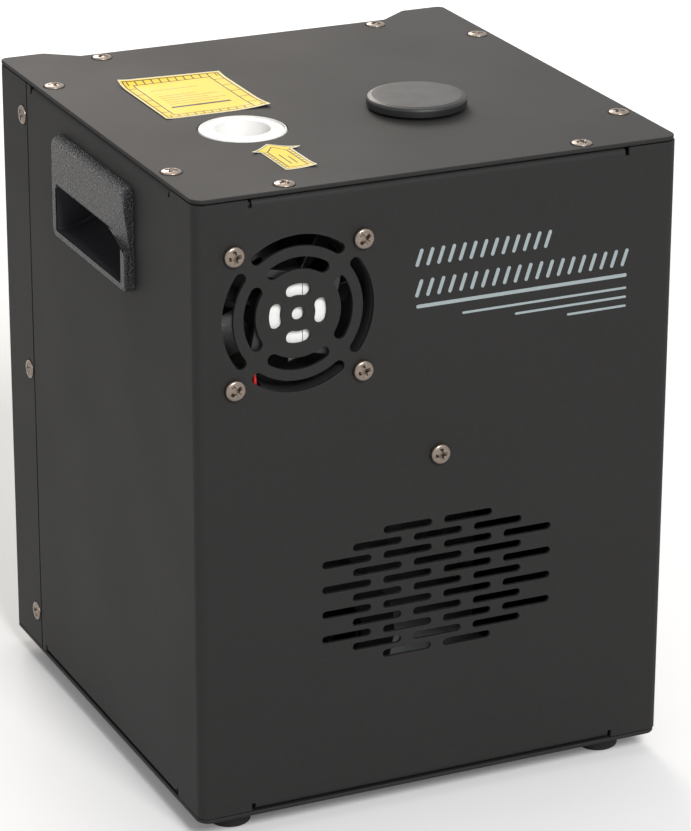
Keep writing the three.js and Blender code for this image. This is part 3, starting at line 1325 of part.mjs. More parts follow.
// The fan's frame, with the motor's base plate held on four slanted arms behind the grille.
function fanFrame() {
  const back = FAN_FRONT + FAN_DEPTH;
  const square = rectangle(FAN_X, FAN_Z, FAN_SIZE, FAN_SIZE, FAN_CORNER);
  const barrel = rod("y", FAN_X, FAN_Z, FAN_BARREL, FAN_FRONT, back, FINE);
  const holes = fanScrewPlaces().map(([x, z]) => disc(x, z, HOLE_SIZE, SMALL));
  let frame = join(
    along("y", square, FAN_FRONT, FAN_FRONT + FAN_FLANGE),
    along("y", square, back - FAN_FLANGE, back),
    along("y", square, FAN_FRONT, back).intersect(barrel),
  );
  const over = [FAN_FRONT - OVERRUN, back + OVERRUN];
  frame = cut(frame, rod("y", FAN_X, FAN_Z, FAN_BORE, ...over, FINE), along("y", holes, ...over));
  frame = join(frame, rod("y", FAN_X, FAN_Z, FAN_HUB, FAN_FRONT, FAN_FRONT + FAN_HUB_PLATE));
  for (let i = 0; i < 4; i += 1) {
    const reach = FAN_BORE - FAN_HUB + 2 * OVERRUN;
    const geometry = new THREE.BoxGeometry(reach, FAN_ARM_DEPTH, FAN_ARM);
    geometry.translate(FAN_HUB + reach / 2 - OVERRUN, 0, FAN_ARM);
    geometry.rotateY(-FAN_ARM_TURN - (i * Math.PI) / 2);
    geometry.translate(FAN_X, FAN_FRONT + FAN_HUB_PLATE - FAN_ARM_DEPTH / 2, FAN_Z);
    frame = join(frame, solid(geometry));
  }
  const bearing = FAN_FRONT + FAN_BEARING_FLOOR;
  const sleeve = rod("y", FAN_X, FAN_Z, FAN_SHAFT + RUNNING_GAP, bearing, back, SMALL);
  return piece("fan_frame", cut(frame, sleeve), blackPlastic);
}

function fanRotor() {
  const front = FAN_FRONT + FAN_HUB_PLATE + ROTOR_CLEARANCE;
  const back = FAN_FRONT + FAN_DEPTH - ROTOR_CLEARANCE;
  const shaftEnd = FAN_FRONT + FAN_BEARING_FLOOR + RUNNING_GAP;
  let rotor = join(
    rod("y", FAN_X, FAN_Z, ROTOR_HUB, front, back),
    rod("y", FAN_X, FAN_Z, FAN_SHAFT, shaftEnd, front + OVERRUN, SMALL),
  );
  const tip = FAN_BORE - ROTOR_TIP_GAP;
  for (let i = 0; i < FAN_BLADES; i += 1) {
    const reach = tip - ROTOR_HUB + OVERRUN;
    const geometry = new THREE.BoxGeometry(reach, ROTOR_BLADE, ROTOR_BLADE_CHORD);
    geometry.rotateX(ROTOR_BLADE_TURN);
    geometry.translate(tip - reach / 2, 0, 0);
    geometry.rotateY((2 * Math.PI * i) / FAN_BLADES);
    geometry.translate(FAN_X, (front + back) / 2, FAN_Z);
    rotor = join(rotor, solid(geometry));
  }
  const sweep = rod("y", FAN_X, FAN_Z, tip, FAN_FRONT, back, FINE);
  return piece("fan_rotor", rotor.intersect(sweep), blackPlastic);
}

// The power supply is a perforated metal box with its terminals on a step at one end.
function powerSupply() {
  const half = SUPPLY_WIDTH / 2;
  const low = FLOOR + SUPPLY_RAISE;
  const box = block(-half, half, SUPPLY_Y, SUPPLY_Y + SUPPLY_DEPTH, low, low + SUPPLY_HEIGHT);
  const step = block(-half - OVERRUN, -half + SUPPLY_STEP, SUPPLY_Y + SUPPLY_STEP,
    SUPPLY_Y + SUPPLY_DEPTH + OVERRUN, low - OVERRUN, low + SUPPLY_HEIGHT + OVERRUN);
  return piece("power_supply", cut(box, step), aluminium);
}

// A circuit board upright across Y, with a round spacer near each corner on the side given.
function boardBody(x, y, z, width, height, direction) {
  const half = [width / 2 - SPACER_INSET, height / 2 - SPACER_INSET];
  const spacers = [[-1, -1], [1, -1], [1, 1], [-1, 1]].map(([u, v]) =>
    disc(x + u * half[0], z + v * half[1], SPACER_RADIUS, SMALL));
  const sides = [x - width / 2, x + width / 2];
  const plate = block(...sides, y, y + direction * BOARD, z - height / 2, z + height / 2);
  return { plate, spacers };
}

function controlBoard() {
  const z = SUPPLY_TOP + CONTROL_ABOVE_SUPPLY + CONTROL_HEIGHT / 2;
  const face = PARTITION_Y + SEAT + SPACER;
  const { plate, spacers } = boardBody(0, face, z, CONTROL_WIDTH, CONTROL_HEIGHT, 1);
  const top = face + BOARD;
  const root = top - BOARD / 2;
  const left = -CONTROL_WIDTH / 2 + SPACER_INSET;
  const chip = CHIP_WIDTH / 2;
  const parts = [
    block(left + SPACER_INSET, left + SINK_WIDTH, root, top + SINK_HEIGHT, z, z + SINK_HEIGHT),
    block(chip, chip + CHIP_WIDTH, root, top + CHIP_THICKNESS, z - chip, z + chip),
    block(left, left + SINK_WIDTH, root, top + COIL_HEIGHT, z - SINK_HEIGHT, z - chip),
  ];
  const feetOfBoard = along("y", spacers, PARTITION_Y + SEAT, face + BOARD / 2);
  return piece("control_board", join(plate, feetOfBoard, ...parts), board);
}

const DISPLAY_BOARD_Y = INNER_REAR - DISPLAY_BOARD_GAP;

function displayBoard() {
  const size = [DISPLAY_BOARD_WIDTH, DISPLAY_BOARD_TALL];
  const { plate, spacers } = boardBody(0, DISPLAY_BOARD_Y, DISPLAY_BOARD_Z, ...size, -1);
  const root = DISPLAY_BOARD_Y - BOARD / 2;
  const half = [DISPLAY_WIDTH / 2, DISPLAY_TALL / 2];
  const moduleDepth = [root, INNER_REAR - DISPLAY_MODULE_GAP];
  const module = block(-half[0], half[0], ...moduleDepth, LENS_Z - half[1], LENS_Z + half[1]);
  const stemTop = INNER_REAR - SEAT - BUTTON_RIM_THICKNESS - BUTTON_TAIL - BUTTON_STROKE_GAP;
  const stems = buttonPlaces().map(([x, z]) => disc(x, z, SWITCH_STEM_RADIUS, SMALL));
  const posts = along("y", spacers, root, INNER_REAR - SEAT);
  const made = join(plate, module, posts, along("y", stems, root, stemTop));
  return piece("display_board", made, board);
}

function displayWindow() {
  const border = 2 * DISPLAY_BORDER;
  const inset = 2 * LAP_GAP;
  const size = [DISPLAY_WIDTH - inset, DISPLAY_TALL - inset];
  const face = rectangle(0, LENS_Z, DISPLAY_WIDTH + border, DISPLAY_TALL + border, DISPLAY_CORNER);
  const inner = rectangle(0, LENS_Z, ...size, DISPLAY_CORNER);
  const seat = REAR + SEAT;
  const made = join(
    along("y", face, seat, seat + DISPLAY_LENS),
    along("y", inner, INNER_REAR, seat + DISPLAY_LENS / 2),
  );
  return piece("display_window", made, lens);
}

// A menu button: a round cap that stands through the cover, held by its rim behind it.
function menuButtons() {
  const rimTop = INNER_REAR - SEAT;
  const rimLow = rimTop - BUTTON_RIM_THICKNESS;
  const profile = [
    [0, rimLow - BUTTON_TAIL],
    [SWITCH_STEM_RADIUS, rimLow - BUTTON_TAIL],
    [SWITCH_STEM_RADIUS, rimLow],
    [BUTTON_RADIUS + BUTTON_RIM, rimLow],
    [BUTTON_RADIUS + BUTTON_RIM, rimTop],
    [BUTTON_RADIUS, rimTop],
    [BUTTON_RADIUS, REAR + BUTTON_PROUD - CAP_EDGE / 2],
    [BUTTON_RADIUS - CAP_EDGE / 2, REAR + BUTTON_PROUD],
    [0, REAR + BUTTON_PROUD],
  ];
  const places = buttonPlaces().map(([x, z]) => [x, 0, z]);
  return copies("menu_button", turned(profile, SMALL, "y"), buttonPlastic, places);
}

function dmxFlange(x) {
  const face = rectangle(x, DMX_Z, DMX_FLANGE_WIDTH, DMX_FLANGE_TALL, DMX_FLANGE_CORNER);
  return join(
    along("y", face, REAR + SEAT, REAR + SEAT + DMX_FLANGE),
    rod("y", x, DMX_Z, DMX_BODY, REAR - DMX_BODY_DEPTH, REAR + DMX_FLANGE / 2),
  );
}

// The data input has three pins in an open cup.
function dmxIn() {
  const x = DMX_SPACING / 2;
  const bottom = REAR - DMX_CUP_DEPTH;
  const cup = rod("y", x, DMX_Z, DMX_CUP, bottom, REAR + DMX_FLANGE + OVERRUN);
  const pins = [90, 210, 330].map((degrees) => {
    const turn = (degrees / 180) * Math.PI;
    const place = [x + DMX_PIN_CIRCLE * Math.cos(turn), DMX_Z + DMX_PIN_CIRCLE * Math.sin(turn)];
    return rod("y", ...place, DMX_PIN, bottom - OVERRUN, bottom + DMX_PIN_LENGTH, SMALL);
  });
  return piece("dmx_in_socket", join(cut(dmxFlange(x), cup), ...pins), nickel);
}

function latchRoom(gap) {
  const size = [DMX_LATCH_WIDTH + 2 * gap, DMX_LATCH_TALL + 2 * gap];
  return rectangle(-DMX_SPACING / 2, DMX_Z + DMX_LATCH_RISE, ...size, 0);
}

// The data output has a core with three holes, and room above it for its latch.
function dmxOut() {
  const x = -DMX_SPACING / 2;
  const bottom = REAR - DMX_CUP_DEPTH;
  const top = REAR + DMX_FLANGE + OVERRUN;
  const ring = cut(
    rod("y", x, DMX_Z, DMX_CUP, bottom, top),
    rod("y", x, DMX_Z, DMX_CORE, bottom - OVERRUN, top),
  );
  const pins = [30, 150, 270].map((degrees) => {
    const turn = (degrees / 180) * Math.PI;
    const place = [x + DMX_PIN_CIRCLE * Math.cos(turn), DMX_Z + DMX_PIN_CIRCLE * Math.sin(turn)];
    return disc(...place, DMX_PIN + RUNNING_GAP, SMALL);
  });
  const room = along("y", latchRoom(RUNNING_GAP), REAR - DMX_LATCH_POCKET, top);
  const body = cut(dmxFlange(x), ring, along("y", pins, bottom, top), room);
  const recess = rod("y", x, DMX_Z, (DMX_CORE + DMX_CUP) / 2, REAR + DMX_FLANGE / 2, top);
  return piece("dmx_out_socket", cut(body, recess), nickel);
}

function dmxLatch() {
  const back = REAR - DMX_LATCH_DEPTH;
  return piece("dmx_out_latch", along("y", latchRoom(0), back, REAR + DMX_FLANGE + DMX_LATCH_PROUD), steel);
}

// The mains inlet: a flanged body with an open cup and three flat pins.
function powerInlet() {
  const face = rectangle(INLET_X, POWER_Z, INLET_FLANGE_WIDTH, INLET_FLANGE_TALL, INLET_FLANGE_CORNER);
  const body = rectangle(INLET_X, POWER_Z, INLET_BODY_WIDTH, INLET_BODY_TALL, INLET_BODY_CORNER);
  const cup = rectangle(INLET_X, POWER_Z, INLET_CUP_WIDTH, INLET_CUP_TALL, INLET_CUP_CORNER);
  const bottom = REAR + INLET_FLANGE - INLET_CUP_DEPTH;
  const places = [
    [-INLET_PIN_SPREAD, INLET_PIN_RISE],
    [INLET_PIN_SPREAD, INLET_PIN_RISE],
    [0, -INLET_PIN_DROP],
  ];
  const pins = places.map(([x, z]) =>
    rectangle(INLET_X + x, POWER_Z + z, INLET_PIN_WIDTH, INLET_PIN_TALL, 0));
  const made = join(
    cut(
      join(
        along("y", face, REAR + SEAT, REAR + INLET_FLANGE),
        along("y", body, REAR - INLET_BODY_DEPTH, REAR + INLET_FLANGE / 2),
      ),
      along("y", cup, bottom, REAR + INLET_FLANGE + OVERRUN),
    ),
    along("y", pins, bottom - OVERRUN, bottom + INLET_PIN_LENGTH),
  );
  return piece("power_inlet", made, blackPlastic);
}

function fuseHolder() {
  const seat = REAR + SEAT;
  const nutTop = INNER_REAR - SEAT;
  const body = join(
    rod("y", FUSE_X, POWER_Z, FUSE_BODY, REAR - FUSE_DEPTH, seat + OVERRUN),
    rod("y", FUSE_X, POWER_Z, FUSE_FLANGE, seat, seat + FUSE_FLANGE_THICKNESS),
    rod("y", FUSE_X, POWER_Z, FUSE_NUT, nutTop - FUSE_NUT_THICKNESS, nutTop, NUT_SIDES),
  );
  const boreEnd = REAR - FUSE_STEM_LENGTH - FUSE_END_GAP;
  const mouth = seat + FUSE_FLANGE_THICKNESS + OVERRUN;
  const bore = rod("y", FUSE_X, POWER_Z, FUSE_BORE, boreEnd, mouth);
  return piece("fuse_holder", cut(body, bore), blackPlastic);
}

function fuseCap() {
  const low = REAR + SEAT + FUSE_FLANGE_THICKNESS + SEAT;
  const profile = [
    [0, REAR - FUSE_STEM_LENGTH],
    [FUSE_STEM, REAR - FUSE_STEM_LENGTH],
    [FUSE_STEM, low],
    [FUSE_CAP, low],
    [FUSE_CAP, low + FUSE_CAP_HEIGHT - CAP_EDGE],
    [FUSE_CAP - CAP_EDGE, low + FUSE_CAP_HEIGHT],
    [0, low + FUSE_CAP_HEIGHT],
  ];
  return piece("fuse_cap", turned(profile, ROUND, "y", [FUSE_X, 0, POWER_Z]), blackPlastic);
}

const PIVOT_Y = REAR - ROCKER_PIVOT_DEPTH;

function switchFrame() {
  const seat = REAR + SEAT;
  const face = rectangle(ROCKER_X, POWER_Z, ROCKER_FRAME_WIDTH, ROCKER_FRAME_TALL, ROCKER_FRAME_CORNER);
  const body = rectangle(ROCKER_X, POWER_Z, ROCKER_BODY_WIDTH, ROCKER_BODY_TALL, ROCKER_FRAME_CORNER);
  const room = [ROCKER_WIDTH + 2 * ROCKER_SIDE_GAP, 2 * (ROCKER_SWEEP + ROCKER_END_GAP)];
  const well = rectangle(ROCKER_X, POWER_Z, ...room, 0);
  const pinReach = ROCKER_WIDTH / 2 + ROCKER_SIDE_GAP + ROCKER_PIN_LENGTH;
  const pinSpan = [ROCKER_X - pinReach, ROCKER_X + pinReach];
  const pins = rod("x", PIVOT_Y, POWER_Z, ROCKER_PIN + RUNNING_GAP, ...pinSpan, SMALL);
  const made = cut(
    join(
      along("y", face, seat, seat + ROCKER_FRAME),
      along("y", body, REAR - ROCKER_BODY_DEPTH, seat + ROCKER_FRAME / 2),
    ),
    along("y", well, PIVOT_Y - ROCKER_SWEEP, seat + ROCKER_FRAME + OVERRUN),
    pins,
  );
  return piece("switch_frame", made, blackPlastic);
}

// The rocker turns on two pins, with two faces that meet in a valley and ends round the pivot.
function powerRocker() {
  const points = [];
  const lift = Math.atan2(ROCKER_CREST, ROCKER_SWEEP) + ROCKER_TILT;
  const drop = Math.asin(ROCKER_KEEL / ROCKER_SWEEP);
  for (const [from, to] of [[-drop, lift], [Math.PI - lift, Math.PI + drop]]) {
    for (let i = 0; i <= ARC_STEPS; i += 1) {
      const turn = from + ((to - from) * i) / ARC_STEPS;
      points.push([ROCKER_SWEEP * Math.cos(turn), ROCKER_SWEEP * Math.sin(turn)]);
    }
    if (from < 0) points.push([0, ROCKER_CREST]);
  }
  const tilted = points.map(([z, y]) => [
    PIVOT_Y + y * Math.cos(ROCKER_TILT) + z * Math.sin(ROCKER_TILT),
    POWER_Z + z * Math.cos(ROCKER_TILT) - y * Math.sin(ROCKER_TILT),
  ]);
  const half = ROCKER_WIDTH / 2;
  const pin = half + ROCKER_PIN_LENGTH;
  const made = join(
    along("x", polygon(tilted), ROCKER_X - half, ROCKER_X + half),
    rod("x", PIVOT_Y, POWER_Z, ROCKER_PIN, ROCKER_X - pin, ROCKER_X + pin, SMALL),
  );
  return piece("power_rocker", made, blackPlastic);
}

const machine = new THREE.Group();
machine.add(
  mainShell(), topPlate(), bottomPlate(), rearCover(), ...plateScrews(), ...panScrews(), ...feet(),
  handle("handle_left", -1), handle("handle_right", 1), sparkNozzle(), feedCap(), feedPort(),
  powderHopper(), feedHousing(), feedScrew(), shaftCoupler(), feedGearbox(), feedMotor(),
  heaterTube(), heaterBand(), insulationSleeve(), airDuct(), blowerHousing(), blowerImpeller(),
  blowerMotor(), partition(), feederShelf(), fanFrame(), fanRotor(), powerSupply(), controlBoard(),
  displayBoard(), displayWindow(), ...menuButtons(), dmxIn(), dmxOut(), dmxLatch(), powerInlet(),
  fuseHolder(), fuseCap(), switchFrame(), powerRocker(),
);
// The screw heads stand in front of the case, so the whole is set back by half their height.
machine.position.y = PAN_HEAD_HEIGHT / 2;

const part = new THREE.Group();
part.add(machine);
export default part;
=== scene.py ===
"""The looks of a compact cold spark machine: a powder-coated steel case with a spark nozzle and a
powder port on top, a fan in front, a cup handle in each side and its controls behind."""
from math import asin, atan2, cos, hypot, pi, radians, sin, sqrt, tan
import bmesh
import bpy
from mathutils import Matrix, Vector


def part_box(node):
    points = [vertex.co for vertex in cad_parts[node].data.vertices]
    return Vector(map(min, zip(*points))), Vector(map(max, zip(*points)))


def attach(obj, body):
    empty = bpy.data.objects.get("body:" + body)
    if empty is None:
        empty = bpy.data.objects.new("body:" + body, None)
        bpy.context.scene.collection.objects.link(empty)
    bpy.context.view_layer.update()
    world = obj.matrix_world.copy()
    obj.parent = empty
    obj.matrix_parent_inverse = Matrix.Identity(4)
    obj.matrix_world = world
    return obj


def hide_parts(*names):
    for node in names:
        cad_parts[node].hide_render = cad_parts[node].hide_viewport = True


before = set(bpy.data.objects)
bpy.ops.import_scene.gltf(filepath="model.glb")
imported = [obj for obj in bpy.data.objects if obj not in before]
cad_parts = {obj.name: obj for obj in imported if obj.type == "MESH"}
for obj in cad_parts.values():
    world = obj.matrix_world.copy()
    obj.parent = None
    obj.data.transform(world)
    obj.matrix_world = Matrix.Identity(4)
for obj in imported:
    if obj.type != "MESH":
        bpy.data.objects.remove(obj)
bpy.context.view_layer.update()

# The camera stands to the left of the machine's front and looks down on it through a long lens,
# from about a metre and a half away.
CAMERA_PLACE = (-0.565, -1.2428, 0.654)
CAMERA_TURN = radians(-24.72)
CAMERA_RISE = radians(21.34)
CAMERA_ROLL = radians(0.18)
CAMERA_LENS = 162.7
CAMERA_SENSOR = 36


def aimed(aim, spin=0.0):
    """The turn that points a piece's own Z along an axis, after a spin about it."""
    return Vector(aim).to_track_quat("Z", "Y").to_matrix() @ Matrix.Rotation(spin, 3, "Z")


camera = bpy.data.objects.new("camera", bpy.data.cameras.new("camera"))
camera.data.lens = CAMERA_LENS
camera.data.sensor_width = CAMERA_SENSOR
camera.location = CAMERA_PLACE
camera.rotation_euler = aimed((sin(CAMERA_TURN) * cos(CAMERA_RISE),
                               -cos(CAMERA_TURN) * cos(CAMERA_RISE), sin(CAMERA_RISE)),
                              CAMERA_ROLL).to_euler()
bpy.context.scene.collection.objects.link(camera)
bpy.context.scene.camera = camera

# The powder coat on all the sheet steel is a fine matt black with an even orange peel. It is
# sprayed on dry and baked, so its grain is finer than a millimetre and has no brush marks.
COAT_COLOUR = (0.0125, 0.0119, 0.0115)
COAT_ROUGHNESS = (0.63, 0.69)
COAT_SHEEN = 0.30
COAT_GRAIN = (1500, 2)
COAT_PEEL = (420, 2)
COAT_CLOUD = (14, 3)


def feed(tree, node, **values):
    """Sets a node's properties, in small letters, and its sockets, each to a value or to a link."""
    for name, value in values.items():
        if name[0].islower():
            setattr(node, name, value)
        elif isinstance(value, bpy.types.NodeSocket):
            tree.links.new(value, node.inputs[name.replace("_", " ")])
        else:
            node.inputs[name.replace("_", " ")].default_value = value
    return node


def add(tree, kind, output, **values):
    """What a new shader node gives at one of its outputs."""
    return feed(tree, tree.nodes.new("ShaderNode" + kind), **values).outputs[output]


def noise(tree, scale, detail=2, roughness=0.5, stretch=(1, 1, 1)):
    """Noise over the piece's own coordinates, in grains to a metre."""
    place = add(tree, "Mapping", "Vector", Vector=add(tree, "TexCoord", "Object"), Scale=stretch)
    return add(tree, "TexNoise", "Fac", Vector=place, Scale=scale, Detail=detail, Roughness=roughness)


def spread(tree, value, low, high, start=0.3, end=0.7):
    """A value that runs from a start to an end, stretched over a range."""
    return add(tree, "MapRange", "Result", Value=value, From_Min=start, From_Max=end, To_Min=low, To_Max=high)


def tint(tree, value, dark, light):
    """A colour between two others."""
    return add(tree, "Mix", "Result", data_type="RGBA", A=(*dark, 1), B=(*light, 1), Factor=value)


def material_nodes(name):
    """A new material with its node tree and its surface shader."""
    material = bpy.data.materials.new(name)
    material.use_nodes = True
    return material, material.node_tree, material.node_tree.nodes["Principled BSDF"]


def surface(name, colour, grain, tones, gloss, levels, *bumps, **values):
    """A finish. Noise varies its colour and, where it is given, its roughness. Each bump is a noise,
    a strength and a real depth, laid over the one before."""
    material, tree, shader = material_nodes(name)
    shades = [[part * tone for part in colour] for tone in tones]
    values["Base_Color"] = tint(tree, spread(tree, noise(tree, *grain), 0, 1), *shades)
    if gloss:
        values["Roughness"] = spread(tree, noise(tree, *gloss), *levels)
    under = {}
    for pattern, strength, depth in bumps:
        height = noise(tree, *pattern)
        under = {"Normal": add(tree, "Bump", "Normal", Strength=strength, Distance=depth, Height=height, **under)}
    feed(tree, shader, **values, **under)
    return material


coat = surface("powder_coat", COAT_COLOUR, COAT_GRAIN, (0.86, 1.16), COAT_CLOUD, COAT_ROUGHNESS,
               (COAT_PEEL, 0.25, 0.0002), (COAT_GRAIN, 0.35, 0.00008), Specular_IOR_Level=COAT_SHEEN)

# The front and both sides are one sheet of 1.6 mm steel. It is cut flat, with its air slots and
# the fan's grille, then folded round the front corners and in along its upper and lower edges.
SHEET = 0.0016
FRONT_BEND = 0.004
FLANGE_BEND = 0.0024
FLANGE_DEPTH = 0.012
FLANGE_ROOT = 0.008
FRONT_FLANGE_INSET = 0.022
SIDE_FLANGE = (0.0236, 0.0055)
RELIEF_WIDTH = 0.0015
RELIEF_DEPTH = 0.003
LIP_REACH = 0.013
LIP_ROOT = 0.005
LIP_INSET = 0.006
LIP_GAP = 0.0003
CUT_EDGE = 0.00022
OVER = 0.001
SCREW_HOLE = 0.0022
VENT_COLUMNS = (4, 5, 6, 5, 6, 5, 4)
VENT_PITCH = (0.01235, 0.00996)
VENT_LENGTH = 0.0197
VENT_WIDTH = 0.003
VENT_ROUND = 0.499
VENT_Z = 0.08885
GRILLE_RINGS = ((0.0252, 0.0295, 40), (0.0166, 0.0212, 38), (0.0066, 0.0113, 31))
GRILLE_HOLE = 0.0025
HANDLE_LAP = 0.0017
HANDLE_CORNER = 0.003
shell_low, shell_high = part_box("main_shell")
HALF = shell_high.x
FRONT = shell_low.y
SEAM = shell_high.y - LIP_REACH


def rounded(corners, steps=8):
    """The points of a closed outline whose corners are each given as two places and a radius."""
    points = []
    for i, (x, y, radius) in enumerate(corners):
        corner = Vector((x, y))
        if radius <= 0:
            points.append(corner)
            continue
        before = (Vector(corners[i - 1][:2]) - corner).normalized()
        after = (Vector(corners[(i + 1) % len(corners)][:2]) - corner).normalized()
        half = before.angle(after) / 2
        centre = corner + (before + after).normalized() * radius / sin(half)
        start = corner + before * radius / tan(half) - centre
        finish = corner + after * radius / tan(half) - centre
        sweep = atan2(start.x * finish.y - start.y * finish.x, start.dot(finish))
        first = atan2(start.y, start.x)
        for step in range(steps + 1):
            turn = first + sweep * step / steps
            points.append(centre + radius * Vector((cos(turn), sin(turn))))
    return points


def offset(corner, before, after, depth):
    """Where a corner between two directions comes when both edges move left, and if it turns left."""
    first = Vector((-before.y, before.x)).normalized()
    second = Vector((-after.y, after.x)).normalized()
    return corner + (first + second) * depth / (1 + first.dot(second)), before.x * after.y - before.y * after.x > 0


def shrunk(corners, depth):
    """The corners of an anticlockwise outline, moved in by a depth, or out by a negative one."""
    moved = []
    for i, (x, y, radius) in enumerate(corners):
        corner = Vector((x, y))
        before, after = corner - Vector(corners[i - 1][:2]), Vector(corners[(i + 1) % len(corners)][:2]) - corner
        place, left = offset(corner, before, after, depth)
        moved.append((place.x, place.y, max(radius + (-depth if left else depth), 0.00001) if radius > 0 else 0))
    return moved


def folded(path, wall):
    """The section of a folded sheet that lies to the left of the corners of its outer face."""
    inner = []
    for i, (x, y, radius) in enumerate(path):
        corner = Vector((x, y))
        before = corner - Vector(path[i - 1][:2]) if i else Vector(path[1][:2]) - corner
        after = Vector(path[i + 1][:2]) - corner if i < len(path) - 1 else before
        place, left = offset(corner, before, after, wall)
        inner.append((place.x, place.y, radius + (-wall if left else wall) if radius else 0))
    return list(path) + inner[::-1]


def box_corners(x, y, width, height, radius=0.0):
    """The corners of a rectangle round a centre."""
    left, right, low, high = x - width / 2, x + width / 2, y - height / 2, y + height / 2
    return [(left, low, radius), (right, low, radius), (right, high, radius), (left, high, radius)]


def disc(x, y, radius, sides=32):
    turns = [2 * pi * (i + 0.5) / sides for i in range(sides)]
    return [Vector((x + radius * cos(t), y + radius * sin(t))) for t in turns]


def level(axis, points, height):
    """A drawing set square to an axis. It is drawn in yz for x, in xz for y and in xy for z."""
    spot = "xyz".index(axis)
    return [Vector((*point[:spot], height, *point[spot:2])) for point in points]


def as_piece(name, shape):
    """A piece from a shape that is done with."""
    mesh = bpy.data.meshes.new(name)
    shape.to_mesh(mesh)
    shape.free()
    piece = bpy.data.objects.new(name, mesh)
    bpy.context.scene.collection.objects.link(piece)
    return piece


def loft(rings, hollow=False, name="tool"):
    """A closed solid through rings that have equally many points. A hollow one joins its ends."""
    shape = bmesh.new()
    loops = [[shape.verts.new(point) for point in ring] for ring in rings]
    for lower, upper in list(zip(loops, loops[1:])) + ([(loops[-1], loops[0])] if hollow else []):
        for i in range(len(lower)):
            j = (i + 1) % len(lower)
            shape.faces.new((lower[i], lower[j], upper[j], upper[i]))
    if not hollow:
        shape.faces.new(loops[0][::-1])
        shape.faces.new(loops[-1])
    bmesh.ops.recalc_face_normals(shape, faces=shape.faces)
    return as_piece(name, shape)


def prism(axis, points, start, end, name="tool"):
    return loft([level(axis, points, start), level(axis, points, end)], name=name)


def slab(x0, x1, y0, y1, z0, z1, name="tool"):
    corners = box_corners((x0 + x1) / 2, (y0 + y1) / 2, abs(x1 - x0), abs(y1 - y0))
    return prism("z", [corner[:2] for corner in corners], min(z0, z1), max(z0, z1), name=name)


def settle(piece):
    """Makes what a piece's modifiers give its own plain mesh."""
    graph = bpy.context.evaluated_depsgraph_get()
    mesh = bpy.data.meshes.new_from_object(piece.evaluated_get(graph), depsgraph=graph)
    piece.modifiers.clear()
    piece.data = mesh
    return piece


def combine(piece, operation, *tools):
    """Joins the tools to a solid or cuts them out of it, and takes them away."""
    for tool in tools:
        step = piece.modifiers.new(tool.name, "BOOLEAN")
        step.operation = operation
        step.solver = "MANIFOLD"
        step.object = tool
    settle(piece)
    for tool in tools:
        bpy.data.objects.remove(tool)
    if not piece.data.polygons:
        raise RuntimeError(f"{piece.name} has nothing left")
    return piece


def join(piece, *tools):
    return combine(piece, "UNION", *tools)


def carve(piece, *tools):
    return combine(piece, "DIFFERENCE", *tools)


def shares(edge, steps=4):
    """The steps of a rounded edge, each as how far in and how far down it lies."""
    turns = [step * pi / 2 / steps for step in range(steps + 1)]
    return [(edge * (1 - sin(turn)), edge * (1 - cos(turn))) for turn in turns]


def round_over(radius, top, edge):
    """The profile of a rounded edge, from a round piece's side up to its top."""
    return [(radius - inset, top - rise) for inset, rise in shares(edge)[::-1]]


def bore(axis, outline, start, end, edge=CUT_EDGE):
    """A cutter for a hole whose two rims are rounded. The outline is given how far it grows."""
    into = 1 if end > start else -1
    rim = [(edge, -OVER)] + shares(edge, 3)
    return loft([level(axis, outline(grow), start + into * depth) for grow, depth in rim]
                + [level(axis, outline(grow), end - into * depth) for grow, depth in rim[::-1]])


def round_hole(axis, x, y, radius, start, end, sides=32, edge=CUT_EDGE):
    return bore(axis, lambda grow: disc(x, y, radius + grow, sides), start, end, edge)


def shaped_hole(axis, corners, start, end, steps=8, edge=CUT_EDGE):
    return bore(axis, lambda grow: rounded(shrunk(corners, -grow), steps), start, end, edge)


def copies_tree():
    """Geometry nodes that set a pattern on every point, turned as the point says."""
    tree = bpy.data.node_groups.new("copies", "GeometryNodeTree")
    for name, kind in (("Geometry", "Geometry"), ("Pattern", "Object"), ("Size", "Float"), ("Finish", "Material")):
        tree.interface.new_socket(name, in_out="INPUT", socket_type="NodeSocket" + kind)
    tree.interface.new_socket("Geometry", in_out="OUTPUT", socket_type="NodeSocketGeometry")
    entry, exit_, pattern, turn, spin, put, real, paint, number, first = [tree.nodes.new(kind) for kind in (
        "NodeGroupInput", "NodeGroupOutput", "GeometryNodeObjectInfo", "GeometryNodeInputNamedAttribute",
        "FunctionNodeEulerToRotation", "GeometryNodeInstanceOnPoints", "GeometryNodeRealizeInstances",
        "GeometryNodeSetMaterial", "GeometryNodeInputMaterialIndex", "FunctionNodeCompare")]
    turn.data_type, first.data_type, first.operation = "FLOAT_VECTOR", "INT", "EQUAL"
    turn.inputs["Name"].default_value = "turn"
    for giver, output, taker, socket in (
        (entry, "Pattern", pattern, "Object"), (turn, "Attribute", spin, 0), (entry, "Geometry", put, "Points"),
        (pattern, "Geometry", put, "Instance"), (spin, 0, put, "Rotation"), (entry, "Size", put, "Scale"),
        (put, "Instances", real, "Geometry"), (real, "Geometry", paint, "Geometry"), (number, 0, first, 2),
        (first, 0, paint, "Selection"), (entry, "Finish", paint, "Material"), (paint, "Geometry", exit_, "Geometry"),
    ):
        tree.links.new(giver.outputs[output], taker.inputs[socket])
    return tree


copies = copies_tree()


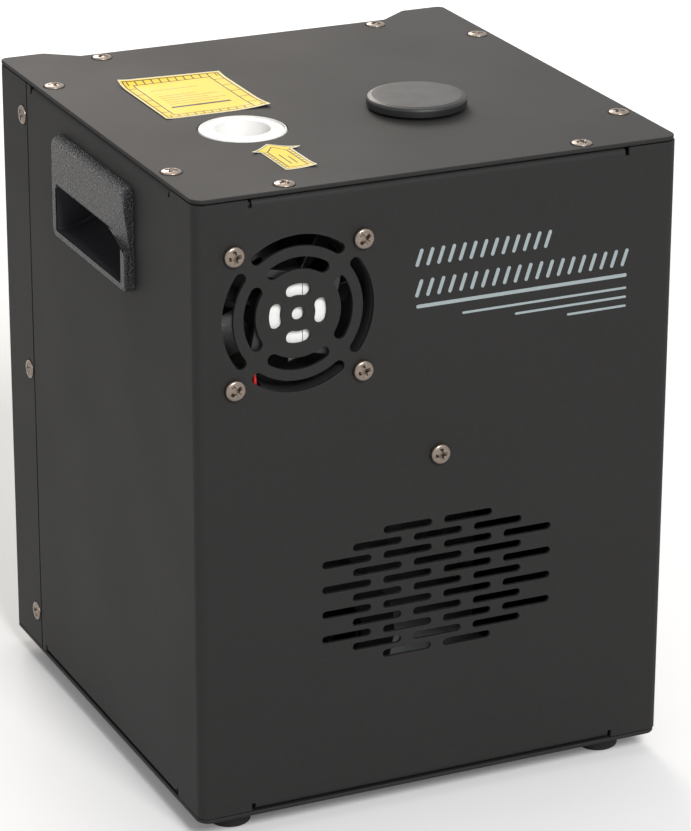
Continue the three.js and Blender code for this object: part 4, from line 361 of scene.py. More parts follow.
def repeat(pattern, places, material=None, size=1.0, name="tool"):
    """One plain mesh with a pattern at each place, which is a point and a turn about the axes."""
    mesh = bpy.data.meshes.new(name)
    mesh.from_pydata([tuple(point) for point, turn in places], [], [])
    turns = mesh.attributes.new("turn", "FLOAT_VECTOR", "POINT")
    turns.data.foreach_set("vector", [angle for point, turn in places for angle in turn])
    piece = bpy.data.objects.new(name, mesh)
    bpy.context.scene.collection.objects.link(piece)
    nodes = piece.modifiers.new("copies", "NODES")
    nodes.node_group = copies
    values = {"Pattern": pattern, "Size": size, "Finish": material}
    for socket in copies.interface.items_tree:
        if socket.in_out == "INPUT" and values.get(socket.name) is not None:
            nodes[socket.identifier] = values[socket.name]
    settle(piece)
    bpy.data.objects.remove(pattern)
    return piece


def upright(points):
    """Places for copies that aren't turned."""
    return [(Vector(point), (0, 0, 0)) for point in points]


def quarters(x, z):
    """Four places for copies round an axis that runs back."""
    return [(Vector((x, 0, z)), (0, quarter * pi / 2, 0)) for quarter in range(4)]


def facing(place, aim, spin=0.0):
    """A place for a copy whose own Z points along an axis."""
    return Vector(place), tuple(aimed(aim, spin).to_euler())


def centre_of(node):
    low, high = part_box(node)
    return (low + high) / 2


def centres(node, count):
    """The middles of a run of nodes with a numbered name."""
    return [centre_of(f"{node}_{number}") for number in range(1, count + 1)]


def fasten(piece, material=None, slot=None, *nodes, body="case", angle=32):
    """Smooths a finished piece, gives it a finish if it has none, and sets it in place of its nodes."""
    mesh = piece.data
    mesh.shade_smooth()
    mesh.set_sharp_from_angle(angle=radians(angle))
    if not mesh.materials or not mesh.materials[0]:
        mesh.materials.clear()
        mesh.materials.append(material)
    piece.modifiers.new("even", "WEIGHTED_NORMAL").keep_sharp = True
    settle(piece)
    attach(piece, body)
    if nodes:
        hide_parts(*nodes)


def elbow(edge, inward, height, up):
    """The section of an edge that is folded in from a wall."""
    foot, end = height - up * FLANGE_ROOT, edge + inward * FLANGE_DEPTH
    return [
        (edge, foot, 0), (edge, height, FLANGE_BEND), (end, height, 0), (end, height - up * SHEET, 0),
        (edge + inward * SHEET, height - up * SHEET, FLANGE_BEND - SHEET), (edge + inward * SHEET, foot, 0),
    ]


def arc_slot(inside, outside, spread_degrees, grow):
    """A slot bent round the fan's axis, with round ends."""
    radius, width = (inside + outside) / 2, (outside - inside) / 2
    reach = radians(spread_degrees) - asin(width / radius)
    width += grow
    across, up = radius * cos(reach), radius * sin(reach)
    points = []
    for x, z, size, start, sweep, steps, count in (
        (0, 0, radius + width, -reach, 2 * reach, range(25), 24),
        (across, up, width, reach, pi, range(1, 12), 12),
        (0, 0, radius - width, reach, -2 * reach, range(25), 24),
        (across, -up, width, pi - reach, pi, range(1, 12), 12),
    ):
        turns = [start + sweep * i / count for i in steps]
        points += [(x + size * cos(turn), z + size * sin(turn)) for turn in turns]
    return points


def main_sheet():
    path = [(-HALF, SEAM, 0), (-HALF, FRONT, FRONT_BEND), (HALF, FRONT, FRONT_BEND), (HALF, SEAM, 0)]
    shell = prism("z", rounded(folded(path, SHEET), 12), shell_low.z, shell_high.z, name="main_sheet")
    end, back = HALF - FRONT_FLANGE_INSET, FRONT + SHEET
    side_front, side_rear = FRONT + SIDE_FLANGE[0], SEAM - SIDE_FLANGE[1]
    notches, flanges, lips, cutters = [], [], [], []
    for up, height in ((-1, shell_low.z), (1, shell_high.z)):
        cut = (height - up * RELIEF_DEPTH, height + up * OVER)
        notches.append(slab(-end - RELIEF_WIDTH, end + RELIEF_WIDTH, FRONT - OVER, back + OVER, *cut))
        flanges.append(prism("x", rounded(elbow(FRONT, 1, height, up)), -end, end))
        for side in (-1, 1):
            edge = side * HALF
            notches.append(slab(edge + side * OVER, edge - side * (SHEET + OVER),
                                side_front - RELIEF_WIDTH, side_rear + RELIEF_WIDTH, *cut))
            flanges.append(prism("y", rounded(elbow(edge, -side, height, up)), side_front, side_rear))
    for side in (-1, 1):
        outer, heights = HALF - SHEET - LIP_GAP, (shell_low.z + LIP_INSET, shell_high.z - LIP_INSET)
        inside = side * (outer - SHEET)
        lips.append(slab(inside, side * outer, SEAM - LIP_ROOT, SEAM + LIP_REACH, *heights))
        lips.append(slab(inside, side * (HALF - SHEET / 2), SEAM - LIP_ROOT, SEAM - SHEET, *heights))
    carve(shell, *notches)
    join(shell, *flanges, *lips)
    vent = shaped_hole("y", box_corners(0, 0, VENT_LENGTH, VENT_WIDTH, VENT_WIDTH * VENT_ROUND), FRONT, back)
    across, up = VENT_PITCH
    vents = [((column - (len(VENT_COLUMNS) - 1) / 2) * across, 0, VENT_Z + (row - (rows - 1) / 2) * up)
             for column, rows in enumerate(VENT_COLUMNS) for row in range(rows)]
    cutters.append(repeat(vent, upright(vents)))
    fan = centre_of("fan_frame")
    for inside, outside, degrees in GRILLE_RINGS:
        slot = bore("y", lambda grow: arc_slot(inside, outside, degrees, grow), FRONT, back)
        cutters.append(repeat(slot, quarters(fan.x, fan.z)))
    holes = [(p.x, 0, p.z) for p in (*centres("fan_screw", 4), centre_of("bracket_screw"))]
    cutters.append(repeat(round_hole("y", 0, 0, SCREW_HOLE, FRONT, back, 24), upright(holes)))
    cutters.append(round_hole("y", fan.x, fan.z, GRILLE_HOLE, FRONT, back))
    for name, side in (("handle_left", -1), ("handle_right", 1)):
        low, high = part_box(name)
        window = box_corners((low.y + high.y) / 2, (low.z + high.z) / 2, high.y - low.y - 2 * HANDLE_LAP,
                             high.z - low.z - 2 * HANDLE_LAP, HANDLE_CORNER)
        cutters.append(prism("x", rounded(window), side * (HALF - 2 * SHEET), side * (HALF + OVER)))
    carve(shell, *cutters)
    fasten(shell, coat, "powder_coat", "main_shell")


main_sheet()

# The top and bottom plates are 1.6 mm steel, cut square in front and with two ears behind, and
# their edges are rounded over before they are coated. Each is screwed down at eight places.
PLATE_CORNER = 0.005
PLATE_EDGE = 0.0004
EAR_WIDTH = 0.018
EAR_DEPTH = 0.0093
EAR_SLOPE = 0.0125
EAR_BEND = 0.003
SCREW_HEAD = 0.0038
SCREW_SINK = 0.0015
HEAD_GAP = 0.0003
LAP_GAP = 0.0003
NOZZLE_RING = 0.0165
PORT_HOLE = 0.0173
FOOT_HOLE = 0.0025
plate_low, plate_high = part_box("top_plate")
base_low, base_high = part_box("bottom_plate")
nozzle, port = centre_of("spark_nozzle"), centre_of("feed_cap")
EAR = plate_high.y
REAR = EAR - EAR_DEPTH
INNER_REAR = REAR - SHEET
EAR_START = HALF - EAR_WIDTH
NOTCH = EAR_START - EAR_SLOPE
plate_screws = [(place.x, place.y) for place in centres("top_screw", 8)]
foot_places = upright((place.x, place.y, 0) for place in centres("foot", 4))


def soft_slab(axis, corners, low, high, edge, steps=8, name="tool"):
    """A plate whose edges are rounded over on both faces."""
    rings = [level(axis, rounded(shrunk(corners, inset), steps), low + rise) for inset, rise in shares(edge)]
    rings += [level(axis, rounded(shrunk(corners, inset), steps), high - rise) for inset, rise in shares(edge)[::-1]]
    return loft(rings, name=name)


def turned(profile, place=(0, 0, 0), aim=(0, 0, 1), sides=48, name="tool"):
    """A round piece from a profile of radius and height. A closed profile makes a ring."""
    hollow = profile[0] == profile[-1]
    rings = [level("z", disc(0, 0, max(r, 0.00001), sides), h) for r, h in (profile[:-1] if hollow else profile)]
    piece = loft(rings, hollow, name=name)
    piece.data.transform(Matrix.Translation(place) @ aimed(aim).to_4x4())
    return piece


def countersink():
    """The cutter for a sunk screw's head and shank."""
    rim = SCREW_HEAD + HEAD_GAP
    return turned([(rim + CUT_EDGE, OVER), (rim + CUT_EDGE, 0), (rim, -CUT_EDGE), (SCREW_HOLE, -SCREW_SINK),
                   (SCREW_HOLE, -SHEET - OVER)], sides=32)


def case_plate(name, node, up, surface_z, *cutters):
    low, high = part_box(node)
    ears = [(EAR_START, EAR, EAR_BEND), (NOTCH, REAR, EAR_BEND - SHEET)]
    outline = [(-HALF, FRONT, PLATE_CORNER), (HALF, FRONT, PLATE_CORNER), (HALF, EAR, EAR_BEND), *ears,
               *[(-x, y, radius) for x, y, radius in ears[::-1]], (-HALF, EAR, EAR_BEND)]
    piece = soft_slab("z", outline, low.z, high.z, PLATE_EDGE, 10, name=name)
    sinks = repeat(countersink(), [facing((x, y, surface_z), (0, 0, up)) for x, y in plate_screws])
    carve(piece, sinks, *cutters)
    fasten(piece, coat, "powder_coat", node)


case_plate("roof", "top_plate", 1, plate_high.z,
           round_hole("z", nozzle.x, nozzle.y, NOZZLE_RING + LAP_GAP, plate_low.z, plate_high.z, 64),
           round_hole("z", port.x, port.y, PORT_HOLE, plate_low.z, plate_high.z, 64))
case_plate("base", "bottom_plate", -1, base_low.z,
           repeat(round_hole("z", 0, 0, FOOT_HOLE, base_low.z, base_high.z, 24), foot_places))

# The rear cover is folded from the same sheet. It wraps the rear edges of both sides as two ears,
# and its middle is set in between them, cut for the controls and for a row of upright air slots.
COVER_SEAM = 0.001
REAR_FLANGE_INSET = 0.002
SEAM_SCREW_SETBACK = 0.0048
SEAM_SCREW_END = 0.014
REAR_VENT_PITCH = 0.008
REAR_VENT_LENGTH = 0.022
REAR_VENT_Z = 0.104
REAR_VENT_COUNT = 9
DISPLAY_WIDTH = 0.052
DISPLAY_TALL = 0.020
DISPLAY_CORNER = 0.002
DISPLAY_BORDER = 0.003
BUTTON_RADIUS = 0.004
DMX_BODY = 0.0118
FUSE_BODY = 0.0064
INLET_HOLE = (0.0280, 0.0206)
SWITCH_HOLE = (0.0134, 0.0196)
LATCH_HOLE = (0.0076, 0.0038)
SCREEN_Z = centre_of("display_window").z
seam = SEAM + COVER_SEAM
seam_screws = [((side * HALF, seam + SEAM_SCREW_SETBACK, z), side) for side in (-1, 1) for z in (
    shell_low.z + SEAM_SCREW_END, (shell_low.z + shell_high.z) / 2, shell_high.z - SEAM_SCREW_END)]


def rear_sheet():
    ears = [(HALF, seam, 0), (HALF, EAR, EAR_BEND), (EAR_START, EAR, EAR_BEND), (NOTCH, REAR, EAR_BEND - SHEET)]
    path = [(-x, y, radius) for x, y, radius in ears] + ears[::-1]
    cover = prism("z", rounded(folded(path, -SHEET), 10), shell_low.z, shell_high.z, name="rear_sheet")
    end = NOTCH - REAR_FLANGE_INSET
    notches, flanges = [], []
    for up, height in ((-1, shell_low.z), (1, shell_high.z)):
        notches.append(slab(-end - RELIEF_WIDTH, end + RELIEF_WIDTH, INNER_REAR - OVER, REAR + OVER,
                            height - up * RELIEF_DEPTH, height + up * OVER))
        flanges.append(prism("x", rounded(elbow(REAR, -1, height, up)), -end, end))
    carve(cover, *notches)
    join(cover, *flanges)
    cutters = [repeat(countersink(), [facing(place, (side, 0, 0)) for place, side in seam_screws])]
    vent = shaped_hole("y", box_corners(0, 0, VENT_WIDTH, REAR_VENT_LENGTH, VENT_WIDTH * VENT_ROUND), INNER_REAR, REAR)
    vents = [((i - (REAR_VENT_COUNT - 1) / 2) * REAR_VENT_PITCH, 0, REAR_VENT_Z) for i in range(REAR_VENT_COUNT)]
    cutters.append(repeat(vent, upright(vents)))
    hole = round_hole("y", 0, 0, BUTTON_RADIUS + LAP_GAP, INNER_REAR, REAR)
    cutters.append(repeat(hole, upright((p.x, 0, p.z) for p in centres("menu_button", 4))))
    for node, size in (("dmx_in_socket", DMX_BODY), ("dmx_out_socket", DMX_BODY), ("fuse_holder", FUSE_BODY)):
        place = centre_of(node)
        cutters.append(round_hole("y", place.x, place.z, size + LAP_GAP, INNER_REAR, REAR, 48))
    for place, size in ((Vector((0, 0, SCREEN_Z)), (DISPLAY_WIDTH, DISPLAY_TALL)),
                        (centre_of("power_inlet"), INLET_HOLE), (centre_of("switch_frame"), SWITCH_HOLE)):
        cutters.append(shaped_hole("y", box_corners(place.x, place.z, *size, DISPLAY_CORNER), INNER_REAR, REAR, 6))
    carve(cover, *cutters)
    latch = centre_of("dmx_out_latch")
    room = [corner[:2] for corner in box_corners(latch.x, latch.z, *LATCH_HOLE)]
    carve(cover, prism("y", room, INNER_REAR - OVER, REAR + OVER))
    fasten(cover, coat, "powder_coat", "rear_cover")


rear_sheet()

# The plates and the rear cover are held by raised countersunk screws with a cross recess. They
# are steel with a warm nickel plating, M4, and each was left at the turn where it came tight.
SCREW_RIM = 0.00015
SCREW_CROWN = 0.00085
SCREW_SHANK = 0.0018
SCREW_LENGTH = 0.009
THREAD_PITCH = 0.0007
THREAD_ROOT = 0.86
RECESS_REACH = 0.0026
RECESS_WIDTH = 0.00074
RECESS_DEPTH = 0.0018
RECESS_FLOOR = 0.42
RECESS_ROUND = (0.00022, 0.00016)
NICKEL_COLOUR = (0.27, 0.225, 0.19)
# The cross recess's near-black, dull colour is painted shade, for the shadow down in the recess of a plated screw.
RECESS_SHADE_COLOUR = (0.007, 0.006, 0.005)
NICKEL_GRAIN = 900


def nickel_plate(name, colour, roughness, metal=1, sheen=0.5):
    """Plated metal: bright, with a fine unevenness in its gloss and faint handling marks."""
    worn = (NICKEL_GRAIN / 3, 4, 0.65)
    return surface(name, colour, (NICKEL_GRAIN, 3), (0.88, 1.08), worn, (roughness - 0.07, roughness + 0.12),
                   (worn, 0.15, 0.00003), Metallic=metal, Specular_IOR_Level=sheen)


nickel = nickel_plate("screw_nickel", NICKEL_COLOUR, 0.28)
recess_shade = nickel_plate("screw_recess_shade", RECESS_SHADE_COLOUR, 0.7, 0, 0.1)


def cross_recess(crown):
    """The cutter for a cross recess that narrows as it goes down from a head's crown."""
    rings, (tip, root) = [], RECESS_ROUND
    for height, share in ((crown + OVER, 1.0), (crown, 1.0), (crown - RECESS_DEPTH, RECESS_FLOOR)):
        reach, width = RECESS_REACH * share, RECESS_WIDTH * (0.5 + share / 2)
        corners = []
        for quarter in range(4):
            turn = Matrix.Rotation(quarter * pi / 2, 2)
            corners += [(*(turn @ Vector(place)), radius) for place, radius in (
                ((reach, -width), tip), ((reach, width), tip), ((width, width), root))]
        rings.append(level("z", rounded(corners, 3), height))
    return loft(rings)


def screw_pattern(profile, crown):
    screw = turned(profile, sides=40)
    carve(screw, cross_recess(crown))
    for material in (nickel, recess_shade):
        screw.data.materials.append(material)
    # Faces down in the cross recess take the painted shade finish.
    for polygon in screw.data.polygons:
        middle = polygon.center
        sunk = crown - RECESS_DEPTH - HEAD_GAP < middle.z < crown - 2 * HEAD_GAP * RECESS_REACH / SCREW_HEAD
        if sunk and middle.xy.length < RECESS_REACH:
            polygon.material_index = 1
    return screw


def sunk_screw():
    dome = [(SCREW_HEAD * cos(i * pi / 16), SCREW_RIM + SCREW_CROWN * sin(i * pi / 16)) for i in range(8)]
    start = -SCREW_LENGTH + SCREW_SHANK / 2
    shank = [(SCREW_SHANK / 2, -SCREW_LENGTH), (SCREW_SHANK, start)]
    for i in range(9):
        height = start + HEAD_GAP + i * THREAD_PITCH
        shank += [(SCREW_SHANK, height), (SCREW_SHANK * THREAD_ROOT, height + THREAD_PITCH / 2)]
    neck = [(SCREW_SHANK, -SCREW_SINK - 0.0001), (SCREW_HEAD, -0.00005)]
    return screw_pattern(shank + neck + dome, SCREW_RIM + SCREW_CROWN)


def drive(name, pattern, places, *nodes, size=1.0):
    """Screws of one kind at all their places, as one piece."""
    fasten(repeat(pattern, places, nickel, size, name=name), nickel, "screw_nickel", *nodes, angle=38)


stances = []
for i, (x, y) in enumerate(plate_screws):
    stances.append(facing((x, y, plate_high.z), (0, 0, 1), 0.4 + 1.9 * i))
    stances.append(facing((x, y, base_low.z), (0, 0, -1), 1.1 + 2.3 * i))
stances += [facing(place, (side, 0, 0), 0.7 + 1.3 * i) for i, (place, side) in enumerate(seam_screws)]
drive("case_screws", sunk_screw(), stances, *[f"top_screw_{i}" for i in range(1, 9)])

# The fan hangs on four pan head screws that pass through the front, and a fifth one lower down
# holds the shelf inside. They are plated like the others, with a rounded edge on a flat crown.
PAN_HEAD = 0.0039
PAN_RISE = 0.0024
PAN_EDGE = 0.0010
PAN_DOME = 0.00022
PAN_TURNS = {"fan_screw_1": 0.15, "fan_screw_2": 0.72, "fan_screw_3": 0.62, "fan_screw_4": 0.28, "bracket_screw": 0.08}


def pan_screw():
    side = [(PAN_HEAD - 0.0001, 0), (PAN_HEAD, 0.0001)]
    side += [(PAN_HEAD - down, PAN_RISE - PAN_DOME - inset) for inset, down in shares(PAN_EDGE, 6)]
    crown = [((PAN_HEAD - PAN_EDGE) * share, PAN_RISE - PAN_DOME * share ** 2) for share in (0.8, 0.6, 0.4, 0.2)]
    shank = [(SCREW_SHANK * 0.6, -0.0088), (SCREW_SHANK, -0.0083), (SCREW_SHANK, 0)]
    return screw_pattern(shank + side + crown, PAN_RISE)


drive("panel_screws", pan_screw(),
      [facing((centre_of(node).x, FRONT, centre_of(node).z), (0, -1, 0), turn) for node, turn in PAN_TURNS.items()],
      *PAN_TURNS)

# Four black rubber feet are pushed into the bottom plate by a stem. Each is moulded with a
# rounded foot edge, a draft on its side and a hollow below.
FOOT_TOP = 0.009
FOOT_BOTTOM = 0.008
FOOT_RISE = 0.0079
FOOT_EDGE = 0.0009
FOOT_HOLLOW = 0.004
FOOT_HOLLOW_DEPTH = 0.003
FOOT_STEM = 0.0022
FOOT_STEM_TOP = 0.0119
RUBBER_COLOUR = (0.012, 0.012, 0.0125)


def rubber_look(name, colour, roughness, grain, sheen=0.4):
    """Moulded rubber: dull and a little uneven, with a fine spark-eroded grain."""
    return surface(name, colour, (grain, 3), (0.82, 1.2), (grain / 12, 2), (roughness - 0.05, roughness + 0.05),
                   ((grain, 3), 0.35, 0.0001), Specular_IOR_Level=sheen)


foot_rubber = rubber_look("foot_rubber", RUBBER_COLOUR, 0.72, 1400)


def foot():
    edge = [(FOOT_BOTTOM - inset, rise) for inset, rise in shares(FOOT_EDGE)]
    lip = round_over(FOOT_TOP, FOOT_RISE, FOOT_EDGE / 2)
    hollow = [
        (0.0003, FOOT_HOLLOW_DEPTH), (FOOT_HOLLOW - 0.0004, FOOT_HOLLOW_DEPTH),
        (FOOT_HOLLOW, FOOT_HOLLOW_DEPTH - 0.0004), (FOOT_HOLLOW, 0.0003), (FOOT_HOLLOW + 0.0003, 0),
    ]
    stem = [(FOOT_STEM, FOOT_RISE), (FOOT_STEM, FOOT_STEM_TOP - 0.0005), (FOOT_STEM - 0.0005, FOOT_STEM_TOP)]
    return turned(hollow + edge + lip + stem, sides=56)


fasten(repeat(foot(), foot_places, foot_rubber, name="feet"), foot_rubber, "foot_rubber",
       *[f"foot_{i}" for i in range(1, 5)], angle=40)

# A cup handle of black moulded plastic is clipped into each side. Its bezel stands 4 mm proud with
# a coarse spark-eroded grain, and a smooth ramp leads the fingers up behind a broad grip.
HANDLE_EDGE = 0.0011
HANDLE_TOP_EDGE = 0.0032
HANDLE_EDGE_STEPS = 12
HANDLE_RIM = 0.0029
HANDLE_GRIP = 0.0195
HANDLE_GRIP_THICKNESS = 0.006
HANDLE_WALL = 0.0022
HANDLE_ROOF = 0.0045
HANDLE_SIDE = 0.0042
HANDLE_FILLET = 0.0014
HANDLE_RIM_EDGE = 0.0006
HANDLE_LIP = 0.0014
SEAT = 0.0001
CHEEK_LENGTH = 0.0125
CHEEK_RISE = 0.0045
CHEEK_SLOPE = CHEEK_RISE / CHEEK_LENGTH
CHEEK_LAP = (0.0004, 0.0012)
FACET_ABOVE = 0.0135
FACET_DEPTH = 0.0024
REAR_CHEEK = 0.0015
PLASTIC_COLOUR = (0.0100, 0.0108, 0.0118)
# The ramp's lighter blue-grey is painted light, standing in for the sky that the smooth ramp reflects.
RAMP_LIT_COLOUR = (0.034, 0.035, 0.039)


def moulded(name, colour, roughness, grain, depth, bright=1.25):
    """Moulded plastic with an even eroded grain. Its fine tops are glossier, and their colour is lighter as a painted
    highlight.
    """
    fine = (grain, 2, 0.6)
    return surface(name, colour, fine, (0.8, bright), fine, (roughness + 0.08, roughness - 0.08),
                   ((grain / 20, 2), 0.1, 0.0003), (fine, 0.8, depth))


# The grip's grain tops are painted up to 2.2 times lighter, a painted sparkle.
handle_grain = moulded("handle_plastic", PLASTIC_COLOUR, 0.24, 1200, 0.0030, 2.2)
ramp_painted_light = moulded("handle_ramp_painted_light", RAMP_LIT_COLOUR, 0.36, 900, 0.00002)


def hull(name, points):
    """The solid stretched round a few points."""
    shape = bmesh.new()
    for point in points:
        shape.verts.new(point)
    bmesh.ops.convex_hull(shape, input=shape.verts)
    bmesh.ops.recalc_face_normals(shape, faces=shape.faces)
    return as_piece(name, shape)


def rolled(radius, below):
    """How far in a rounded edge lies at a depth below its crown."""
    return radius - sqrt(max(radius ** 2 - max(radius - below, 0) ** 2, 0))


def bezel(side, low, high, seat, proud):
    """The handle's outer block, with a broad rounding along its top and a small one round the rest."""
    corners = box_corners((low.y + high.y) / 2, (low.z + high.z) / 2, high.y - low.y, high.z - low.z, HANDLE_CORNER)
    rings = [level("x", rounded(corners, 6), side * seat)]
    for step in range(HANDLE_EDGE_STEPS + 1):
        rise = proud - HANDLE_TOP_EDGE * (1 - sin(step * pi / 2 / HANDLE_EDGE_STEPS))
        inset, drop = rolled(HANDLE_EDGE, proud - rise), rolled(HANDLE_TOP_EDGE, proud - rise)
        outline = box_corners((low.y + high.y) / 2, (low.z + inset + high.z - drop) / 2, high.y - low.y - 2 * inset,
                              high.z - drop - low.z - inset, HANDLE_CORNER)
        rings.append(level("x", rounded(outline, 6), side * (seat + rise)))
    return corners, rings


def cup_handle(name, node, side):
    low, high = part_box(node)
    front, rear, bottom, top = low.y, high.y, low.z, high.z
    back, face = sorted((abs(low.x), abs(high.x)))
    seat = HALF + SEAT
    proud = face - seat
    corners, rings = bezel(side, low, high, seat, proud)
    body = loft(rings, name=name)
    cup = rounded(shrunk(corners, HANDLE_LAP + LAP_GAP), 6)
    join(body, prism("x", cup, side * back, side * (seat + (proud - HANDLE_TOP_EDGE) / 2)))
    sill, lip = bottom + HANDLE_RIM, top - HANDLE_GRIP
    start, end = front + HANDLE_SIDE, rear - HANDLE_SIDE
    ramp_foot, wall = face - HANDLE_GRIP_THICKNESS / 2, back + HANDLE_WALL
    behind, roof = face - HANDLE_GRIP_THICKNESS, top - HANDLE_ROOF
    profile = [(face + 2 * OVER, sill, 0), (face + 2 * OVER, lip + HANDLE_LIP, 0)]
    profile += [(face - down, lip + inset, 0) for inset, down in shares(HANDLE_LIP, 6)]
    profile += [(behind, lip, HANDLE_LIP), (behind, roof, 0.002), (wall, roof, 0.005)]
    for step in range(16, -1, -1):
        turn = step * pi / 32
        profile.append((ramp_foot + (wall - ramp_foot) * sin(turn), sill + (lip - sill) * (1 - cos(turn)), 0))
    if side < 0:
        profile = [(-x, z, radius) for x, z, radius in profile][::-1]
    rings = [level("y", rounded(shrunk(profile, inset), 4), start + rise) for inset, rise in shares(HANDLE_FILLET)]
    rings += [level("y", rounded(shrunk(profile, inset), 4), end - rise) for inset, rise in shares(HANDLE_FILLET)[::-1]]
    pocket = loft(rings)
    deep = (side * (behind - 0.0005), side * (face + 3 * OVER))
    under, over = CHEEK_LAP
    cheek = [(start - OVER, lip - CHEEK_RISE - under), (start + CHEEK_LENGTH, lip), (start - OVER, lip + over)]
    rear_cheek = [(end + OVER, lip - REAR_CHEEK), (end + OVER, lip + over), (end - REAR_CHEEK, lip)]
    carve(pocket, prism("x", cheek, *deep), prism("x", rear_cheek, *deep))
    mouth = [(start, sill, 0.0008), (end, sill, 0.0008), (end, lip - REAR_CHEEK, 0), (end - REAR_CHEEK, lip, 0),
             (start + CHEEK_LENGTH, lip, 0), (start, lip - CHEEK_RISE, 0)]
    stages = [(-OVER, 0)] + [(rise, inset) for inset, rise in shares(HANDLE_RIM_EDGE)]
    flare = loft([level("x", rounded(shrunk(mouth, inset - HANDLE_RIM_EDGE), 6), side * (face - rise))
                  for rise, inset in stages])
    edge, tip = front - OVER, (start + CHEEK_LENGTH + OVER, lip + CHEEK_SLOPE * OVER)
    foot = lip - CHEEK_SLOPE * (CHEEK_LENGTH + start - edge)
    facet = hull("facet", [Vector((side * (face + out), *spot)) for out, spot in (
        (SEAT, tip), (SEAT + OVER, tip), (SEAT, (edge, lip + FACET_ABOVE)), (OVER, (edge, lip + FACET_ABOVE)),
        (OVER, (edge, foot)), (-FACET_DEPTH, (edge, foot)))])
    carve(body, pocket, flare, facet)
    body.data.materials.clear()
    for material in (handle_grain, ramp_painted_light):
        body.data.materials.append(material)
    # Faces inside the pocket take the ramp's finish, whose lighter colour is painted light.
    for polygon in body.data.polygons:
        x, y, z = polygon.center
        within = abs(x) < face - HANDLE_RIM_EDGE and abs(y - (start + end) / 2) < (end - start) / 2 + SEAT
        polygon.material_index = int(within and sill - SEAT < z < roof + SEAT)
    fasten(body, handle_grain, "handle_plastic", node, angle=40)


cup_handle("left_cup_handle", "handle_left", -1)
cup_handle("right_cup_handle", "handle_right", 1)

# The sparks leave through a white ceramic ring set in the top plate. It is slip cast and glazed,
# with a fine turned groove in its face and a smooth funnel down to the throat.
NOZZLE_PROUD = 0.0004
NOZZLE_EDGE = 0.0009
NOZZLE_MOUTH = 0.0104
NOZZLE_THROAT = 0.0086
NOZZLE_FUNNEL = 0.011
NOZZLE_FLANGE_RADIUS = 0.021
NOZZLE_FLANGE = 0.003
NOZZLE_SOCKET = 0.005
TUBE_RADIUS = 0.013
TUBE_WALL = 0.002
GROOVE_RADIUS = 0.0130
GROOVE = 0.00022
CERAMIC_COLOUR = (0.88, 0.875, 0.855)
ceramic = surface("nozzle_ceramic", CERAMIC_COLOUR, (160, 3), (0.97, 1.02), (500, 2), (0.30, 0.42),
                  ((260, 2), 0.2, 0.00005), Subsurface_Weight=0.06, Subsurface_Radius=(0.002, 0.0018, 0.0015))


def spark_ring():
    low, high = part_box("spark_nozzle")
    top, end, flange = high.z, low.z, plate_low.z - SEAT
    crown, socket = top + NOZZLE_PROUD, end + NOZZLE_SOCKET
    rim = [(NOZZLE_RING - inset, crown - rise) for inset, rise in shares(NOZZLE_EDGE)]
    groove = [(GROOVE_RADIUS + GROOVE, crown), (GROOVE_RADIUS, crown - GROOVE), (GROOVE_RADIUS - GROOVE, crown)]
    mouth = [(NOZZLE_MOUTH + 0.0004, crown), (NOZZLE_MOUTH, top + 0.0001)]
    funnel = [(NOZZLE_THROAT + (NOZZLE_MOUTH - NOZZLE_THROAT) * (1 - share) ** 1.7, top - NOZZLE_FUNNEL * share)
              for share in [step / 10 for step in range(1, 11)]]
    profile = [(NOZZLE_RING, flange)] + rim + groove + mouth + funnel + [
        (TUBE_RADIUS - TUBE_WALL, socket), (TUBE_RADIUS + LAP_GAP, socket), (TUBE_RADIUS + LAP_GAP, end),
        (NOZZLE_RING, end), (NOZZLE_RING, flange - NOZZLE_FLANGE), (NOZZLE_FLANGE_RADIUS, flange - NOZZLE_FLANGE),
        (NOZZLE_FLANGE_RADIUS, flange), (NOZZLE_RING, flange),
    ]
    return turned(profile, (nozzle.x, nozzle.y, 0), sides=96, name="spark_ring")


fasten(spark_ring(), ceramic, "nozzle_ceramic", "spark_nozzle", angle=34)

# The powder port is closed by a grey rubber cap that lifts out. It is one moulding: a disc with a
# rounded edge and a shallow step round its crown, and a ribbed plug below.
CAP_RADIUS = 0.019
CAP_EDGE = 0.0014
CAP_STEP_RADIUS = 0.0172
CAP_STEP = 0.00025
CAP_UNDERCUT = 0.0006
PLUG_RADIUS = 0.0142
PLUG_RIB = 0.0003
PLUG_RIBS = 4
CAP_COLOUR = (0.0060, 0.0061, 0.0063)
cap_rubber = rubber_look("cap_rubber", CAP_COLOUR, 0.48, 1100, 0.5)


def port_cap():
    low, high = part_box("feed_cap")
    seat = plate_high.z + SEAT
    under = [(CAP_RADIUS - CAP_UNDERCUT - 0.0004, seat), (CAP_RADIUS - CAP_UNDERCUT, seat + 0.0004),
             (CAP_RADIUS, seat + 0.0011)]
    edge = round_over(CAP_RADIUS, high.z - CAP_STEP, CAP_EDGE)
    crown = [(CAP_STEP_RADIUS + 0.0002, high.z - CAP_STEP), (CAP_STEP_RADIUS, high.z - CAP_STEP * 0.4),
             (CAP_STEP_RADIUS - 0.0003, high.z)]
    crown += [(CAP_STEP_RADIUS * share, high.z) for share in (0.8, 0.5, 0.2)]
    plug = [(PLUG_RADIUS - 0.003, low.z), (PLUG_RADIUS - 0.001, low.z)]
    pitch = (seat - 0.0008 - low.z) / PLUG_RIBS
    for rib in range(PLUG_RIBS):
        plug += [(PLUG_RADIUS - drop, low.z + pitch * (rib + share)) for drop, share in (
            (PLUG_RIB, 0.25), (0, 0.45), (0, 0.6), (PLUG_RIB, 0.8))]
    neck = [(PLUG_RADIUS - PLUG_RIB, seat - 0.0002), (PLUG_RADIUS, seat)]
    return turned(plug + neck + under + edge + crown, (port.x, port.y, 0), sides=96, name="port_stopper")


fasten(port_cap(), cap_rubber, "cap_rubber", "feed_cap", body="port_cap", angle=40)

